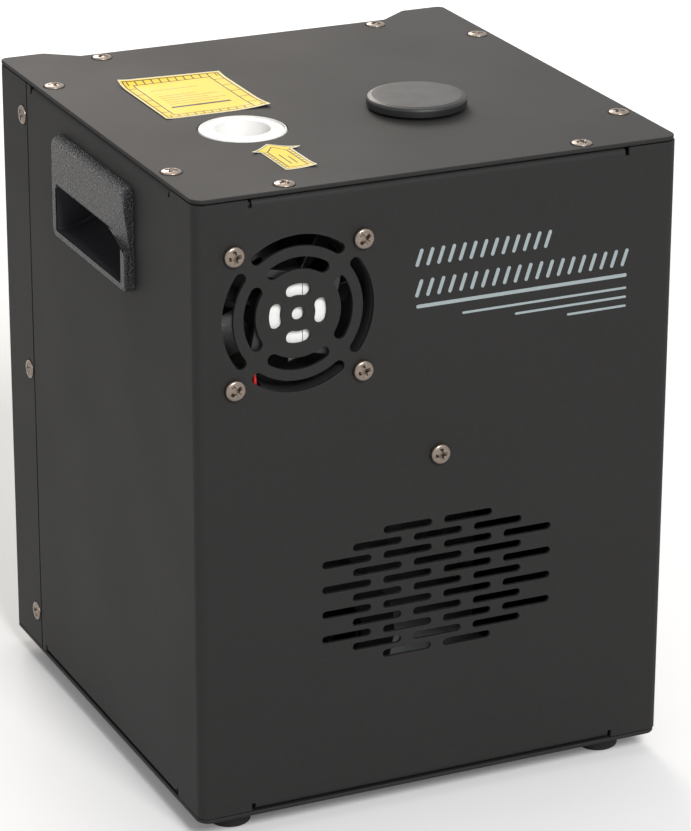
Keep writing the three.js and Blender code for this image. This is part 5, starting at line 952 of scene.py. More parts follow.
# Two stickers of yellow vinyl lie on the top plate, a square one and an arrow that points at the
# nozzle. They carry a printed frame with ticks and blank rules, and their corners have lifted.
STICKER = 0.00014
STICKER_MARGIN = 0.0006
STICKER_LINE = 0.00052
STICKER_STEP = 0.0016
SQUARE_LOW = Vector((-0.0675, -0.0028))
SQUARE_HIGH = Vector((-0.0255, 0.0468))
SQUARE_FRAME = ((-0.0630, 0.0012), (-0.0310, 0.0422))
SQUARE_OUTER_LINE = 0.0011
SQUARE_TICKS = (12, 5)
SQUARE_BAR = ((-0.0600, 0.0094), (-0.0360, 0.0112))
SQUARE_RULES = ((0.0140, 0.020), (0.0168, 0.024), (0.0196, 0.018), (0.0224, 0.023), (0.0252, 0.015), (0.0330, 0.019))
SQUARE_RULE_LEFT = -0.0592
ARROW_X = -0.046
ARROW_Y = (-0.0773, -0.0550, -0.0463)
ARROW_HALF_WIDTHS = (0.0061, 0.0095)
ARROW_BAND = 0.0021
ARROW_TICKS = 8
ARROW_RULES = ((-0.0014, 0.0060, 0.0175), (0.0010, 0.0060, 0.0145))
FAR_CURL = (0.009, 0.0006, 0.0011)
NEAR_CURL = (0.016, 0.0011)
LEFT_CURL = (0.005, 0.0003)
WING_CURL = (0.002, 0.005, 0.0007)
TAIL_CURL = (0.008, 0.0006)
VINYL_COLOUR = (0.87, 0.60, 0.012)
VINYL_INK = (0.020, 0.016, 0.006)
VINYL_PAPER = (0.80, 0.74, 0.52)


def printed(name, colour, roughness):
    """A printed or cut surface of vinyl, paper or ink, with a faint mottle."""
    return surface(name, colour, (700, 3), (0.96, 1.03), (90, 2), (roughness - 0.06, roughness + 0.06),
                   ((300, 2), 0.1, 0.00004), Specular_IOR_Level=0.3)


def sides_of(outline):
    return zip(outline, outline[1:] + outline[:1])


def inside(point, outline):
    """Whether a point lies inside a closed outline."""
    return sum((y0 > point.y) != (y1 > point.y) and point.x < x0 + (point.y - y0) * (x1 - x0) / (y1 - y0)
               for (x0, y0), (x1, y1) in sides_of(outline)) % 2 == 1


def rectangle(low, high):
    return [(low[0], low[1]), (high[0], low[1]), (high[0], high[1]), (low[0], high[1])]


def inset_of(outline, depth):
    return [corner[:2] for corner in shrunk([(x, y, 0) for x, y in outline], depth)]


def band_shape(outline, depth, width):
    """A printed line that runs round inside an outline, as its outer and inner edges."""
    return inset_of(outline, depth), inset_of(outline, depth + width)


def bar_shape(low, high):
    """A printed bar, which has no inner edge."""
    return rectangle(low, high), None


def curl(distance, reach, rise):
    """How far a corner has lifted at a distance from it."""
    return max(0, 1 - distance / reach) ** 2 * rise


def sticker(name, outline, shapes, lift):
    """A sheet cut along every printed line, so that each face is all ink or all vinyl."""
    shape = bmesh.new()
    shape.faces.new([shape.verts.new((x, y, 0)) for x, y in outline])
    printed_edge = inset_of(outline, STICKER_MARGIN)
    cuts = {}
    for edge in [printed_edge] + [edge for pair in shapes for edge in pair if edge]:
        for (x0, y0), (x1, y1) in sides_of(edge):
            along = Vector((x1 - x0, y1 - y0)).normalized()
            across = Vector((-along.y, along.x))
            across = -across if (across.x, across.y) < (0, 0) else across
            cuts[(round(across.x, 4), round(across.y, 4), round(across.dot(Vector((x0, y0))), 6))] = 1
    for axis in (0, 1):
        first, last = min(p[axis] for p in outline), max(p[axis] for p in outline)
        for step in range(1, int((last - first) / STICKER_STEP)):
            cuts[(1 - axis, axis, round(first + step * STICKER_STEP, 6))] = 1
    for x, y, distance in cuts:
        bmesh.ops.bisect_plane(shape, geom=shape.verts[:] + shape.edges[:] + shape.faces[:], dist=1e-7,
                               plane_co=(x * distance, y * distance, 0), plane_no=(x, y, 0))
    for face in shape.faces:
        middle = face.calc_center_median().xy
        ink = any(inside(middle, outer) and not (inner and inside(middle, inner)) for outer, inner in shapes)
        face.material_index = 1 if ink else 0 if inside(middle, printed_edge) else 2
    for vertex in shape.verts:
        vertex.co.z = plate_high.z + STICKER + lift(vertex.co.x, vertex.co.y)
    bmesh.ops.recalc_face_normals(shape, faces=shape.faces)
    if shape.faces[:][0].normal.z < 0:
        bmesh.ops.reverse_faces(shape, faces=shape.faces)
    piece = as_piece(name, shape)
    for material in (vinyl, vinyl_ink, vinyl_paper):
        piece.data.materials.append(material)
    thick = piece.modifiers.new("thick", "SOLIDIFY")
    thick.thickness = STICKER - 0.00002
    thick.offset = -1
    thick.material_offset = thick.material_offset_rim = 2
    fasten(settle(piece), vinyl, angle=60)


def square_sticker():
    outline, frame_ = rectangle(SQUARE_LOW, SQUARE_HIGH), rectangle(*SQUARE_FRAME)
    shapes = [band_shape(outline, SQUARE_OUTER_LINE, STICKER_LINE), band_shape(frame_, 0, STICKER_LINE),
              bar_shape(*SQUARE_BAR)]
    outer = inset_of(outline, SQUARE_OUTER_LINE)
    for axis, count in ((0, SQUARE_TICKS[0]), (1, SQUARE_TICKS[1])):
        other = 1 - axis
        first, last = (outer[0][0], outer[1][0]) if axis == 0 else (SQUARE_FRAME[0][1], SQUARE_FRAME[1][1])
        for i in range(count):
            place = first + (last - first) * (i + 0.5) / count
            for start, end in ((outer[0][other], SQUARE_FRAME[0][other]), (SQUARE_FRAME[1][other], outer[2][other])):
                low, high = [place, place + STICKER_LINE], [start, end]
                shapes.append(bar_shape(*(zip(low, high) if axis == 0 else zip(high, low))))
    for y, length in SQUARE_RULES:
        shapes.append(bar_shape((SQUARE_RULE_LEFT, y), (SQUARE_RULE_LEFT + length, y + STICKER_LINE * 0.7)))
    (left, near), (right, far) = SQUARE_LOW, SQUARE_HIGH

    def lift(x, y):
        reach, least, most = FAR_CURL
        return (curl(far - y, reach, least + most * (right - x) / (right - left))
                + curl(hypot(x - right, y - near), *NEAR_CURL) + curl(x - left, *LEFT_CURL))
    sticker("square_sticker", outline, shapes, lift)


def arrow_sticker():
    tail, shoulder, tip = ARROW_Y
    shaft, wing = ARROW_HALF_WIDTHS
    foot = [(ARROW_X - shaft, tail), (ARROW_X + shaft, tail), (ARROW_X + shaft, shoulder)]
    outline = foot + [(ARROW_X + wing, shoulder), (ARROW_X, tip), (ARROW_X - wing, shoulder),
                      (ARROW_X - shaft, shoulder)]
    shapes = [band_shape(outline, STICKER_MARGIN, STICKER_LINE * 0.7),
              band_shape(foot + [(ARROW_X, tip), (ARROW_X - shaft, shoulder)], ARROW_BAND, STICKER_LINE)]
    for i in range(ARROW_TICKS):
        y = tail + ARROW_BAND + (shoulder - tail - ARROW_BAND) * (i + 0.5) / ARROW_TICKS
        for side in (-1, 1):
            near, far = sorted((ARROW_X + side * (shaft - STICKER_MARGIN), ARROW_X + side * (shaft - ARROW_BAND)))
            shapes.append(bar_shape((near, y), (far, y + STICKER_LINE)))
    for x, start, end in ARROW_RULES:
        shapes.append(bar_shape((ARROW_X + x, tail + start), (ARROW_X + x + STICKER_LINE, tail + end)))

    def lift(x, y):
        inset, reach, rise = WING_CURL
        wings = max(0, (abs(x - ARROW_X) - shaft + inset) / reach) ** 2 * rise
        return wings + curl(hypot(x - ARROW_X - shaft, y - tail), *TAIL_CURL)
    sticker("arrow_sticker", outline, shapes, lift)


vinyl = printed("sticker_vinyl", VINYL_COLOUR, 0.42)
vinyl_ink = printed("sticker_ink", VINYL_INK, 0.5)
vinyl_paper = printed("sticker_paper", VINYL_PAPER, 0.6)
square_sticker()
arrow_sticker()

# Plain rules and strokes are screen printed on the front in a light grey ink. The film stands a
# few hundredths of a millimetre proud of the coat, with round ends where the screen let go.
PRINT_RISE = 0.00004
PRINT_LEFT = -0.0100
PRINT_RIGHT = 0.0760
PRINT_RULE = 0.0014
PRINT_RULE_Z = 0.1990
STROKE_SLANT = 0.0022
STROKE_PITCH = 0.0043
STROKE_ROWS = ((PRINT_LEFT, 0.0440, 0.2142, 0.2208), (PRINT_LEFT, PRINT_RIGHT, 0.2026, 0.2092))
THIN_RULE = 0.0009
THIN_RULES = ((0.0085, 0.1940), (0.0300, 0.1905), (0.0515, 0.1870))
PRINT_COLOUR = (0.30, 0.345, 0.36)
screen_ink = printed("front_print", PRINT_COLOUR, 0.45)


def gathered(name, *groups):
    """One piece of several solids. Each group is its material and its solids."""
    shape = bmesh.new()
    for number, (material, pieces) in enumerate(groups):
        for piece in pieces:
            for polygon in piece.data.polygons:
                polygon.material_index = number
            shape.from_mesh(piece.data)
            bpy.data.objects.remove(piece)
    piece = as_piece(name, shape)
    for material, pieces in groups:
        piece.data.materials.append(material)
    return piece


def stroke(x0, z0, x1, z1, width):
    """A printed line on the front, with round ends."""
    across = Vector((z0 - z1, x1 - x0)).normalized() * width / 2
    first, last = Vector((x0, z0)), Vector((x1, z1))
    corners = [(*corner, width * 0.49) for corner in (first - across, last - across, last + across, first + across)]
    return prism("y", rounded(corners, 4), FRONT - PRINT_RISE, FRONT + PRINT_RISE)


def front_print():
    strokes = [stroke(PRINT_LEFT, PRINT_RULE_Z, PRINT_RIGHT, PRINT_RULE_Z, PRINT_RULE)]
    for left, right, low, high in STROKE_ROWS:
        count = round((right - left - STROKE_SLANT) / STROKE_PITCH)
        for i in range(count + 1):
            x = left + (right - left - STROKE_SLANT) * i / count
            strokes.append(stroke(x, low, x + STROKE_SLANT, high, PRINT_RULE))
    strokes += [stroke(x, z, PRINT_RIGHT, z, THIN_RULE) for x, z in THIN_RULES]
    fasten(gathered("front_print", (screen_ink, strokes)))


front_print()

# The fan behind the grille is a 60 mm square one of black glass-filled plastic, 25 mm deep. Four
# slanted struts carry its motor, and a white sticker fills the recess over the motor's coils.
FAN_CORNER = 0.003
FAN_FLANGE = 0.0036
FAN_BARREL = 0.0306
FAN_BORE = 0.0286
FAN_FLARE = (0.0007, 0.0032)
FAN_HUB = 0.015
FAN_HUB_PLATE = 0.0024
FAN_EDGE = 0.0004
FAN_PITCH = 0.050
STRUT_WIDTH = 0.003
STRUT_DEPTH = 0.002
STRUT_OFFSET = 0.0131
STRUT_LENGTH = 0.0255
STRUT_START = 0.003
STRUT_SLANT = 0.225
FAN_RECESS = 0.0003
FAN_STICKER = 0.0138
FAN_STICKER_THICKNESS = 0.00012
FAN_STICKER_LINE = (0.0022, 0.00025, 0.0125)
INK_FILM = 0.00002
LEAD_NOTCH = (-0.0158, 0.0036)
fan_low, fan_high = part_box("fan_frame")
fan = (fan_low + fan_high) / 2
fan_depth = fan_high.y - fan_low.y
fan_plastic = moulded("black_plastic", (0.013, 0.013, 0.0135), 0.42, 1300, 0.00008)
sticker_white = printed("fan_sticker", (0.82, 0.82, 0.80), 0.45)
black_ink = printed("black_ink", (0.02, 0.02, 0.02), 0.5)


def spun(profile, x=0, z=0, sides=48, name="tool"):
    """A round piece whose axis runs back."""
    return turned(profile, (x, 0, z), (0, 1, 0), sides, name=name)


def at_fan(piece):
    """Moves a piece drawn round the fan's axis to the fan."""
    piece.data.transform(Matrix.Translation((fan.x, fan_low.y, fan.z)))
    return piece


def fan_body():
    size, corner = fan_high.x - fan_low.x, FAN_PITCH / 2
    square = box_corners(0, 0, size, size, FAN_CORNER)
    body = soft_slab("y", square, 0, FAN_FLANGE, FAN_EDGE, 6, name="fan_body")
    back = soft_slab("y", square, fan_depth - FAN_FLANGE, fan_depth, FAN_EDGE, 6)
    waist = prism("y", disc(0, 0, FAN_BARREL, 72), FAN_FLANGE / 2, fan_depth - FAN_FLANGE / 2)
    join(body, back, waist)
    flare, reach = FAN_FLARE
    mouth = [(FAN_BORE + flare * (1 - step / 4) ** 2, reach * step / 4) for step in range(5)]
    channel = [(FAN_BORE + flare, -OVER)] + mouth + [
        (radius, fan_depth - height) for radius, height in mouth[::-1]] + [(FAN_BORE + flare, fan_depth + OVER)]
    holes = repeat(round_hole("y", 0, 0, SCREW_HOLE, 0, fan_depth, 24, FAN_EDGE / 2),
                   upright((x, 0, z) for x in (-corner, corner) for z in (-corner, corner)))
    middle, width = LEAD_NOTCH
    notch = slab(middle - width / 2, middle + width / 2, -OVER, FAN_FLANGE + OVER / 2, -size / 2 - OVER,
                 -FAN_BORE * 0.7)
    carve(body, spun(channel, sides=96), holes, notch)
    hub = [(0.0, FAN_HUB_PLATE), (FAN_HUB - FAN_EDGE, FAN_HUB_PLATE), (FAN_HUB, FAN_HUB_PLATE - FAN_EDGE)]
    hub += [(FAN_HUB - inset, rise) for inset, rise in shares(FAN_EDGE)[::-1]]
    hub += [(FAN_STICKER + 0.0002, 0), (FAN_STICKER + 0.0001, FAN_RECESS), (0.0, FAN_RECESS)]
    bar = box_corners(-STRUT_LENGTH / 2 + STRUT_START, STRUT_OFFSET, STRUT_LENGTH, STRUT_WIDTH)
    strut = soft_slab("y", bar, FAN_HUB_PLATE - STRUT_DEPTH, FAN_HUB_PLATE, FAN_EDGE / 2, 3)
    strut.data.transform(Matrix.Rotation(STRUT_SLANT, 4, "Y"))
    join(body, spun(hub, sides=72), repeat(strut, quarters(0, 0)))
    fasten(at_fan(body), fan_plastic, "black_plastic", "fan_frame")


def fan_sticker():
    top, (split, width, reach) = FAN_RECESS - FAN_STICKER_THICKNESS, FAN_STICKER_LINE
    face = prism("y", disc(0, 0, FAN_STICKER, 64), top, FAN_RECESS + INK_FILM)
    line = slab(split, split + width, top - INK_FILM, top + INK_FILM, -reach, reach)
    fasten(at_fan(gathered("fan_sticker", (sticker_white, [face]), (black_ink, [line]))))


fan_body()
fan_sticker()

# The fan's rotor is one moulding: a cup over the motor's magnet with seven curved blades that
# twist from root to tip. It turns on a steel shaft in the hub.
ROTOR_HUB = 0.0146
ROTOR_START = 0.0034
ROTOR_BACK = 0.001
ROTOR_EDGE = 0.0012
ROTOR_SHAFT = 0.0016
ROTOR_SHAFT_START = 0.0014
BLADE_COUNT = 7
BLADE_ROOT = ROTOR_HUB - 0.0008
BLADE_TIP = 0.0276
BLADE_CHORD = 0.015
BLADE_THICK = 0.0015
BLADE_THINNING = 0.4
BLADE_CAMBER = 0.10
BLADE_PITCH = (0.96, 0.68)


def fan_blade(middle):
    """A blade as sections at growing radii, each bent round the fan's axis."""
    rings = []
    for share in (0, 0.2, 0.4, 0.6, 0.8, 1):
        radius = BLADE_ROOT + (BLADE_TIP - BLADE_ROOT) * share
        pitch = BLADE_PITCH[0] + (BLADE_PITCH[1] - BLADE_PITCH[0]) * share
        thick = BLADE_THICK * (1 - BLADE_THINNING * share)
        ring = []
        for side, step in [(side, step) for side in (1, -1) for step in range(1, 12)]:
            along = cos(pi * step / 12) * side
            bow = max(0, 1 - along ** 2)
            u, v = along / 2 * BLADE_CHORD, BLADE_CAMBER * BLADE_CHORD * bow + side * thick / 2 * bow ** 0.35
            turn = (u * cos(pitch) + v * sin(pitch)) / radius
            deep = v * cos(pitch) - u * sin(pitch)
            ring.append(Vector((radius * cos(turn), middle + deep, radius * sin(turn))))
        rings.append(ring)
    return loft(rings)


def fan_rotor():
    back = fan_depth - ROTOR_BACK
    cup = [(0.0, ROTOR_SHAFT_START), (ROTOR_SHAFT, ROTOR_SHAFT_START), (ROTOR_SHAFT, ROTOR_START),
           (ROTOR_HUB - FAN_EDGE, ROTOR_START), (ROTOR_HUB, ROTOR_START + FAN_EDGE)]
    cup += round_over(ROTOR_HUB, back, ROTOR_EDGE)
    cup += [(ROTOR_HUB * 0.55, back), (ROTOR_HUB * 0.5, back - ROTOR_EDGE / 2), (0.0, back - ROTOR_EDGE / 2)]
    blades = [(Vector((0, 0, 0)), (0, 2 * pi * i / BLADE_COUNT, 0)) for i in range(BLADE_COUNT)]
    rotor = join(spun(cup, sides=72, name="fan_rotor_moulding"), repeat(fan_blade((ROTOR_START + back) / 2), blades))
    fasten(at_fan(rotor), fan_plastic, "black_plastic", "fan_rotor", body="fan_wheel", angle=40)


fan_rotor()

# Two thin leads, red and black, leave the fan through a notch in its frame. They run back inside
# the left side and round the partition to a plug on the control board.
LEAD_RADIUS = 0.00062
LEAD_SPACE = 0.0015
LEAD_TURN = (0.075, 0.105)
LEAD_ROUTE = (
    (0.0012, 0.0030, -0.0080), (0.0006, 0.0030, -0.0140), (0.0004, 0.0028, -0.0200), (0.0005, 0.0024, -0.0242),
    (0.0004, 0.0020, -0.0290), (-0.0006, 0.0034, -0.0328), (-0.0036, 0.0120, -0.0350), (-0.0060, 0.0400, -0.0372),
    (-0.0078, 0.0750, -0.0382), (-0.0066, 0.0990, -0.0386), (0.0030, 0.1150, -0.0390), (0.0140, 0.1195, -0.0392),
    (0.0225, 0.1195, -0.0392),
)


def tube(name, points, radius, sides=10, steps=6):
    """A round tube that runs smoothly through its points."""
    spots = [Vector(p) for p in points]
    path = []
    for before, start, end, after in zip([spots[0]] + spots, spots, spots[1:], spots[2:] + spots[-1:]):
        for t in [step / steps for step in range(steps)]:
            path.append(0.5 * (2 * start + (end - before) * t + (2 * before - 5 * start + 4 * end - after) * t * t
                               + (3 * start - before - 3 * end + after) * t ** 3))
    path.append(spots[-1])
    rings, across = [], (path[1] - path[0]).normalized().orthogonal().normalized()
    for before, place, after in zip(path[:1] + path, path, path[1:] + path[-1:]):
        ahead = (after - before).normalized()
        across = (across - ahead * across.dot(ahead)).normalized()
        other = ahead.cross(across)
        turns = [2 * pi * k / sides for k in range(sides)]
        rings.append([place + radius * (across * cos(turn) + other * sin(turn)) for turn in turns])
    return loft(rings, name=name)


def wire_look(name, colour):
    return surface(name, colour, (300, 2), (0.9, 1.1), (800, 2), (0.3, 0.42), ((500, 2), 0.1, 0.00005))


red_wire = wire_look("red_wire", (0.62, 0.015, 0.012))
black_wire = wire_look("black_wire", (0.012, 0.012, 0.012))


def fan_leads():
    leads = []
    for number in (0, 1):
        route = []
        for x, y, z in LEAD_ROUTE:
            turned_up = min(max((y - LEAD_TURN[0]) / (LEAD_TURN[1] - LEAD_TURN[0]), 0), 1)
            route.append((fan.x + LEAD_NOTCH[0] + x - number * LEAD_SPACE * (1 - turned_up), fan_low.y + y,
                          fan.z + z - number * LEAD_SPACE * turned_up))
        leads.append(tube("lead", route, LEAD_RADIUS))
    fasten(gathered("fan_leads", (red_wire, leads[:1]), (black_wire, leads[1:])), angle=60)


fan_leads()

# The display is a tinted acrylic window pressed into the rear cover. It has a raised edge, and
# the digits behind it are dark while the machine is off.
DISPLAY_LENS = 0.0014
DISPLAY_PANE = 0.0007
ON_REAR = REAR + SEAT
UNDER_REAR = INNER_REAR - SEAT


def glossy_look(name, colour, roughness):
    """A smooth moulding whose gloss is broken a little by moulding waves and dust."""
    return surface(name, colour, (400, 3), (0.9, 1.1), (160, 3), (roughness - 0.03, roughness + 0.05),
                   ((120, 2), 0.08, 0.00004))


tinted = glossy_look("display_lens", (0.022, 0.0025, 0.003), 0.09)


def display_pane():
    border, opening = [box_corners(0, SCREEN_Z, DISPLAY_WIDTH + 2 * more, DISPLAY_TALL + 2 * more, DISPLAY_CORNER)
                       for more in (DISPLAY_BORDER, -LAP_GAP)]
    front = ON_REAR + DISPLAY_LENS
    pane = soft_slab("y", border, ON_REAR, front, DISPLAY_PANE / 2, name="display_pane")
    join(pane, prism("y", rounded(opening), INNER_REAR, ON_REAR + DISPLAY_PANE))
    carve(pane, shaped_hole("y", opening, front - DISPLAY_PANE / 3, front + DISPLAY_PANE, 6, DISPLAY_PANE / 6))
    fasten(pane, tinted, "display_lens", "display_window")


display_pane()

# Four round keys stand through the cover below the display. Each is a light grey cap with a
# dished crown, and a rim behind the sheet keeps it in.
KEY_RIM = 0.0052
KEY_RIM_THICKNESS = 0.001
KEY_STEM = 0.0024
KEY_EDGE = 0.0006
KEY_DISH = 0.0003
key_plastic = moulded("button_plastic", (0.55, 0.55, 0.54), 0.42, 1500, 0.00004, 1.05)


def menu_key(number):
    low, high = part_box(f"menu_button_{number}")
    middle = (low + high) / 2
    rim, bevel = UNDER_REAR, KEY_DISH / 2
    foot, crown = rim - KEY_RIM_THICKNESS, BUTTON_RADIUS - KEY_EDGE - bevel
    profile = [(0.0, low.y), (KEY_STEM, low.y), (KEY_STEM, foot), (KEY_RIM - bevel, foot), (KEY_RIM, foot + bevel),
               (KEY_RIM, rim - bevel), (KEY_RIM - bevel, rim), (BUTTON_RADIUS, rim)]
    profile += round_over(BUTTON_RADIUS, high.y, KEY_EDGE)
    profile += [(crown * share, high.y - KEY_DISH * (1 - share ** 2)) for share in (1.0, 0.8, 0.6, 0.4, 0.2, 0.0)]
    key = spun(profile, middle.x, middle.z, 40, name=f"menu_key_{number}")
    fasten(key, key_plastic, "button_plastic", f"menu_button_{number}", body=f"button_{number}", angle=40)


for number in range(1, 5):
    menu_key(number)

# The data sockets are die-cast and nickel plated, each with two screws through its flange. The
# input has three pins in an open cup, and the output has three sleeves in a black core.
DMX_FLANGE = 0.002
DMX_FLANGE_CORNER = 0.002
DMX_FLANGE_EDGE = 0.0005
DMX_COLLAR = 0.0112
DMX_COLLAR_RISE = 0.0005
DMX_CUP = 0.0094
DMX_CUP_DEPTH = 0.015
DMX_CORE = 0.0080
DMX_CORE_TOP = 0.001
DMX_PIN = 0.0011
DMX_PIN_GAP = 0.0003
DMX_PIN_CIRCLE = 0.0042
DMX_PIN_LENGTH = 0.012
DMX_FLOOR = 0.0012
DMX_KEYWAY = 0.0022
DMX_SCREWS = (0.0095, 0.0120)
DMX_SCREW_SIZE = 0.66
LATCH_POCKET = 0.006
LATCH_GAP = 0.0003
LATCH_RIDGES = 3
cup_floor = REAR - DMX_CUP_DEPTH
satin_nickel = nickel_plate("satin_nickel", (0.46, 0.46, 0.45), 0.34)
pin_gold = nickel_plate("contact_pins", (0.72, 0.60, 0.36), 0.25)
insert_plastic = moulded("insert_plastic", (0.012, 0.012, 0.012), 0.45, 1200, 0.00005)


def seen(low, high, radius):
    """The corners of a piece's outline as it shows from behind."""
    return box_corners((low.x + high.x) / 2, (low.z + high.z) / 2, high.x - low.x, high.z - low.z, radius)


def socket_shell(node, *cutters):
    low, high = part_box(node)
    middle = (low + high) / 2
    front, seat = ON_REAR + DMX_FLANGE, REAR + DMX_FLANGE / 2
    top = front + DMX_COLLAR_RISE
    shell = soft_slab("y", seen(low, high, DMX_FLANGE_CORNER), ON_REAR, front, DMX_FLANGE_EDGE)
    collar = [(0.0, low.y), (DMX_BODY - DMX_FLANGE_EDGE, low.y), (DMX_BODY, low.y + DMX_FLANGE_EDGE), (DMX_BODY, seat),
              (DMX_COLLAR, seat)]
    collar += round_over(DMX_COLLAR, top, DMX_COLLAR_RISE) + [(0.0, top)]
    join(shell, spun(collar, middle.x, middle.z, 64))
    cup = round_hole("y", middle.x, middle.z, DMX_CUP, cup_floor, top, 64, DMX_COLLAR_RISE / 2)
    return carve(shell, cup, *cutters), middle


def contacts(middle, *degrees):
    turns = [radians(angle) for angle in degrees]
    return [(middle.x + DMX_PIN_CIRCLE * cos(t), middle.z + DMX_PIN_CIRCLE * sin(t)) for t in turns]


def data_input():
    shell, middle = socket_shell("dmx_in_socket")
    insert = prism("y", disc(middle.x, middle.z, DMX_CUP - SEAT, 48), cup_floor - DMX_FLOOR / 2,
                   cup_floor + DMX_FLOOR)
    keyway = slab(middle.x - DMX_KEYWAY / 2, middle.x + DMX_KEYWAY / 2, cup_floor + DMX_FLOOR / 2,
                  REAR - DMX_FLANGE, middle.z - DMX_CUP, middle.z - DMX_CUP + DMX_KEYWAY / 2)
    tip = cup_floor + DMX_PIN_LENGTH
    rod = [(0.0, cup_floor), (DMX_PIN, cup_floor)]
    rod += [(DMX_PIN - down, tip - inset) for inset, down in shares(DMX_PIN, 5)]
    pins = [spun(rod, x, z, 20) for x, z in contacts(middle, 90, 210, 330)]
    socket = gathered("data_input", (satin_nickel, [shell]), (insert_plastic, [insert, keyway]), (pin_gold, pins))
    fasten(socket, None, "screw_nickel", "dmx_in_socket", angle=36)


def data_output():
    low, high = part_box("dmx_out_latch")
    room = slab(low.x - LATCH_GAP, high.x + LATCH_GAP, REAR - LATCH_POCKET, high.y, low.z - LATCH_GAP,
                high.z + LATCH_GAP)
    shell, middle = socket_shell("dmx_out_socket", room)
    top, start, size = REAR + DMX_CORE_TOP, cup_floor + DMX_FLOOR, DMX_PIN + DMX_PIN_GAP
    outline = [(0.0, cup_floor - DMX_FLOOR / 2), (DMX_CUP - SEAT, cup_floor - DMX_FLOOR / 2), (DMX_CUP - SEAT, start),
               (DMX_CORE, start)]
    outline += round_over(DMX_CORE, top, DMX_FLANGE_EDGE) + [(0.0, top)]
    places = contacts(middle, 30, 150, 270)
    core = carve(spun(outline, middle.x, middle.z, 56),
                 *[round_hole("y", x, z, size, start, top, 20, DMX_PIN_GAP) for x, z in places])
    end = top - DMX_FLOOR
    ring = [(size - SEAT, start), (size - SEAT, end), (DMX_PIN, end), (DMX_PIN, start), (size - SEAT, start)]
    sleeves = [spun(ring, x, z, 20) for x, z in places]
    socket = gathered("data_output", (satin_nickel, [shell]), (insert_plastic, [core]), (pin_gold, sleeves))
    fasten(socket, None, "screw_nickel", "dmx_out_socket", angle=36)


def output_latch():
    low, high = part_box("dmx_out_latch")
    latch = soft_slab("y", seen(low, high, 0.0006), low.y, high.y, 0.0004, 4, name="output_latch")
    pitch = (high.x - low.x) / (LATCH_RIDGES + 1)
    cuts = [slab(low.x + pitch * (i + 1) - pitch / 8, low.x + pitch * (i + 1) + pitch / 8,
                 high.y - pitch / 6, high.y + OVER, low.z - OVER, high.z + OVER) for i in range(LATCH_RIDGES)]
    carve(latch, *cuts)
    fasten(latch, steel, "plain_steel", "dmx_out_latch", body="data_latch", angle=36)


steel = nickel_plate("plain_steel", (0.50, 0.50, 0.50), 0.30)
data_input()
data_output()
output_latch()
flange_screws = []
for number, place in enumerate((centre_of("dmx_in_socket"), centre_of("dmx_out_socket"))):
    for side in (-1, 1):
        spot = (place.x + side * DMX_SCREWS[0], ON_REAR + DMX_FLANGE, place.z - side * DMX_SCREWS[1])
        flange_screws.append(facing(spot, (0, 1, 0), 0.5 + 1.7 * number + side))
drive("socket_screws", pan_screw(), flange_screws, size=DMX_SCREW_SIZE)

# The mains inlet is black moulded plastic with three flat plated pins in its cup, held by two
# countersunk screws.
INLET_FLANGE = 0.0026
INLET_EDGE = 0.0007
INLET_CORNER = 0.004
INLET_BODY = (0.0274, 0.0200, 0.002)
INLET_CUP = (0.0240, 0.0164)
INLET_CUP_CORNER = 0.001
INLET_CUP_DEPTH = 0.015
INLET_CHAMFER = 0.0045
INLET_PIN = (0.0020, 0.0040, 0.0003)
INLET_PINS = ((-0.007, 0.0015), (0.007, 0.0015), (0, -0.003))
INLET_PIN_LENGTH = 0.012
INLET_PIN_TIP = ((0, 0.0012), (0.0005, 0.0002), (0.0007, 0))
INLET_SCREW = 0.0200
INLET_SCREW_SIZE = 0.72
inlet = centre_of("power_inlet")
inlet_face = REAR + INLET_FLANGE
inlet_plastic = moulded("inlet_plastic", (0.011, 0.011, 0.0115), 0.38, 1600, 0.00003)


def inlet_screws(*spins):
    return [facing((inlet.x + side * INLET_SCREW, inlet_face, inlet.z), (0, 1, 0), spin)
            for side, spin in zip((-1, 1), spins)]


def mains_inlet():
    low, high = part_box("power_inlet")
    shell = soft_slab("y", seen(low, high, INLET_CORNER), ON_REAR, inlet_face, INLET_EDGE)
    join(shell, prism("y", rounded(box_corners(inlet.x, inlet.z, *INLET_BODY), 6), low.y, REAR + INLET_FLANGE / 2))
    half, rise = INLET_CUP[0] / 2, INLET_CUP[1] / 2
    cup = [(inlet.x + x, inlet.z + z, INLET_CUP_CORNER) for x, z in (
        (INLET_CHAMFER - half, -rise), (half - INLET_CHAMFER, -rise), (half, INLET_CHAMFER - rise), (half, rise),
        (-half, rise), (-half, INLET_CHAMFER - rise))]
    rim, bottom = SCREW_HEAD + HEAD_GAP, inlet_face - INLET_CUP_DEPTH
    sink = turned([(rim, OVER), (rim, 0), (SCREW_HOLE, -SCREW_SINK),
                   (SCREW_HOLE, -INLET_FLANGE / INLET_SCREW_SIZE - OVER)], sides=32)
    carve(shell, shaped_hole("y", cup, bottom, inlet_face, 6, INLET_EDGE / 2),
          repeat(sink, inlet_screws(0, 0), size=INLET_SCREW_SIZE))
    pins, tip = [], bottom + INLET_PIN_LENGTH
    for x, z in INLET_PINS:
        blade = box_corners(inlet.x + x, inlet.z + z, *INLET_PIN)
        pins.append(loft([level("y", rounded(shrunk(blade, inset), 3), tip - down)
                          for inset, down in ((0, INLET_PIN_LENGTH + INLET_EDGE), *INLET_PIN_TIP)]))
    piece = gathered("mains_inlet", (inlet_plastic, [shell]), (satin_nickel, pins))
    fasten(piece, None, "black_plastic", "power_inlet", angle=36)


mains_inlet()
drive("inlet_screws", sunk_screw(), inlet_screws(-0.1, 1.9), size=INLET_SCREW_SIZE)

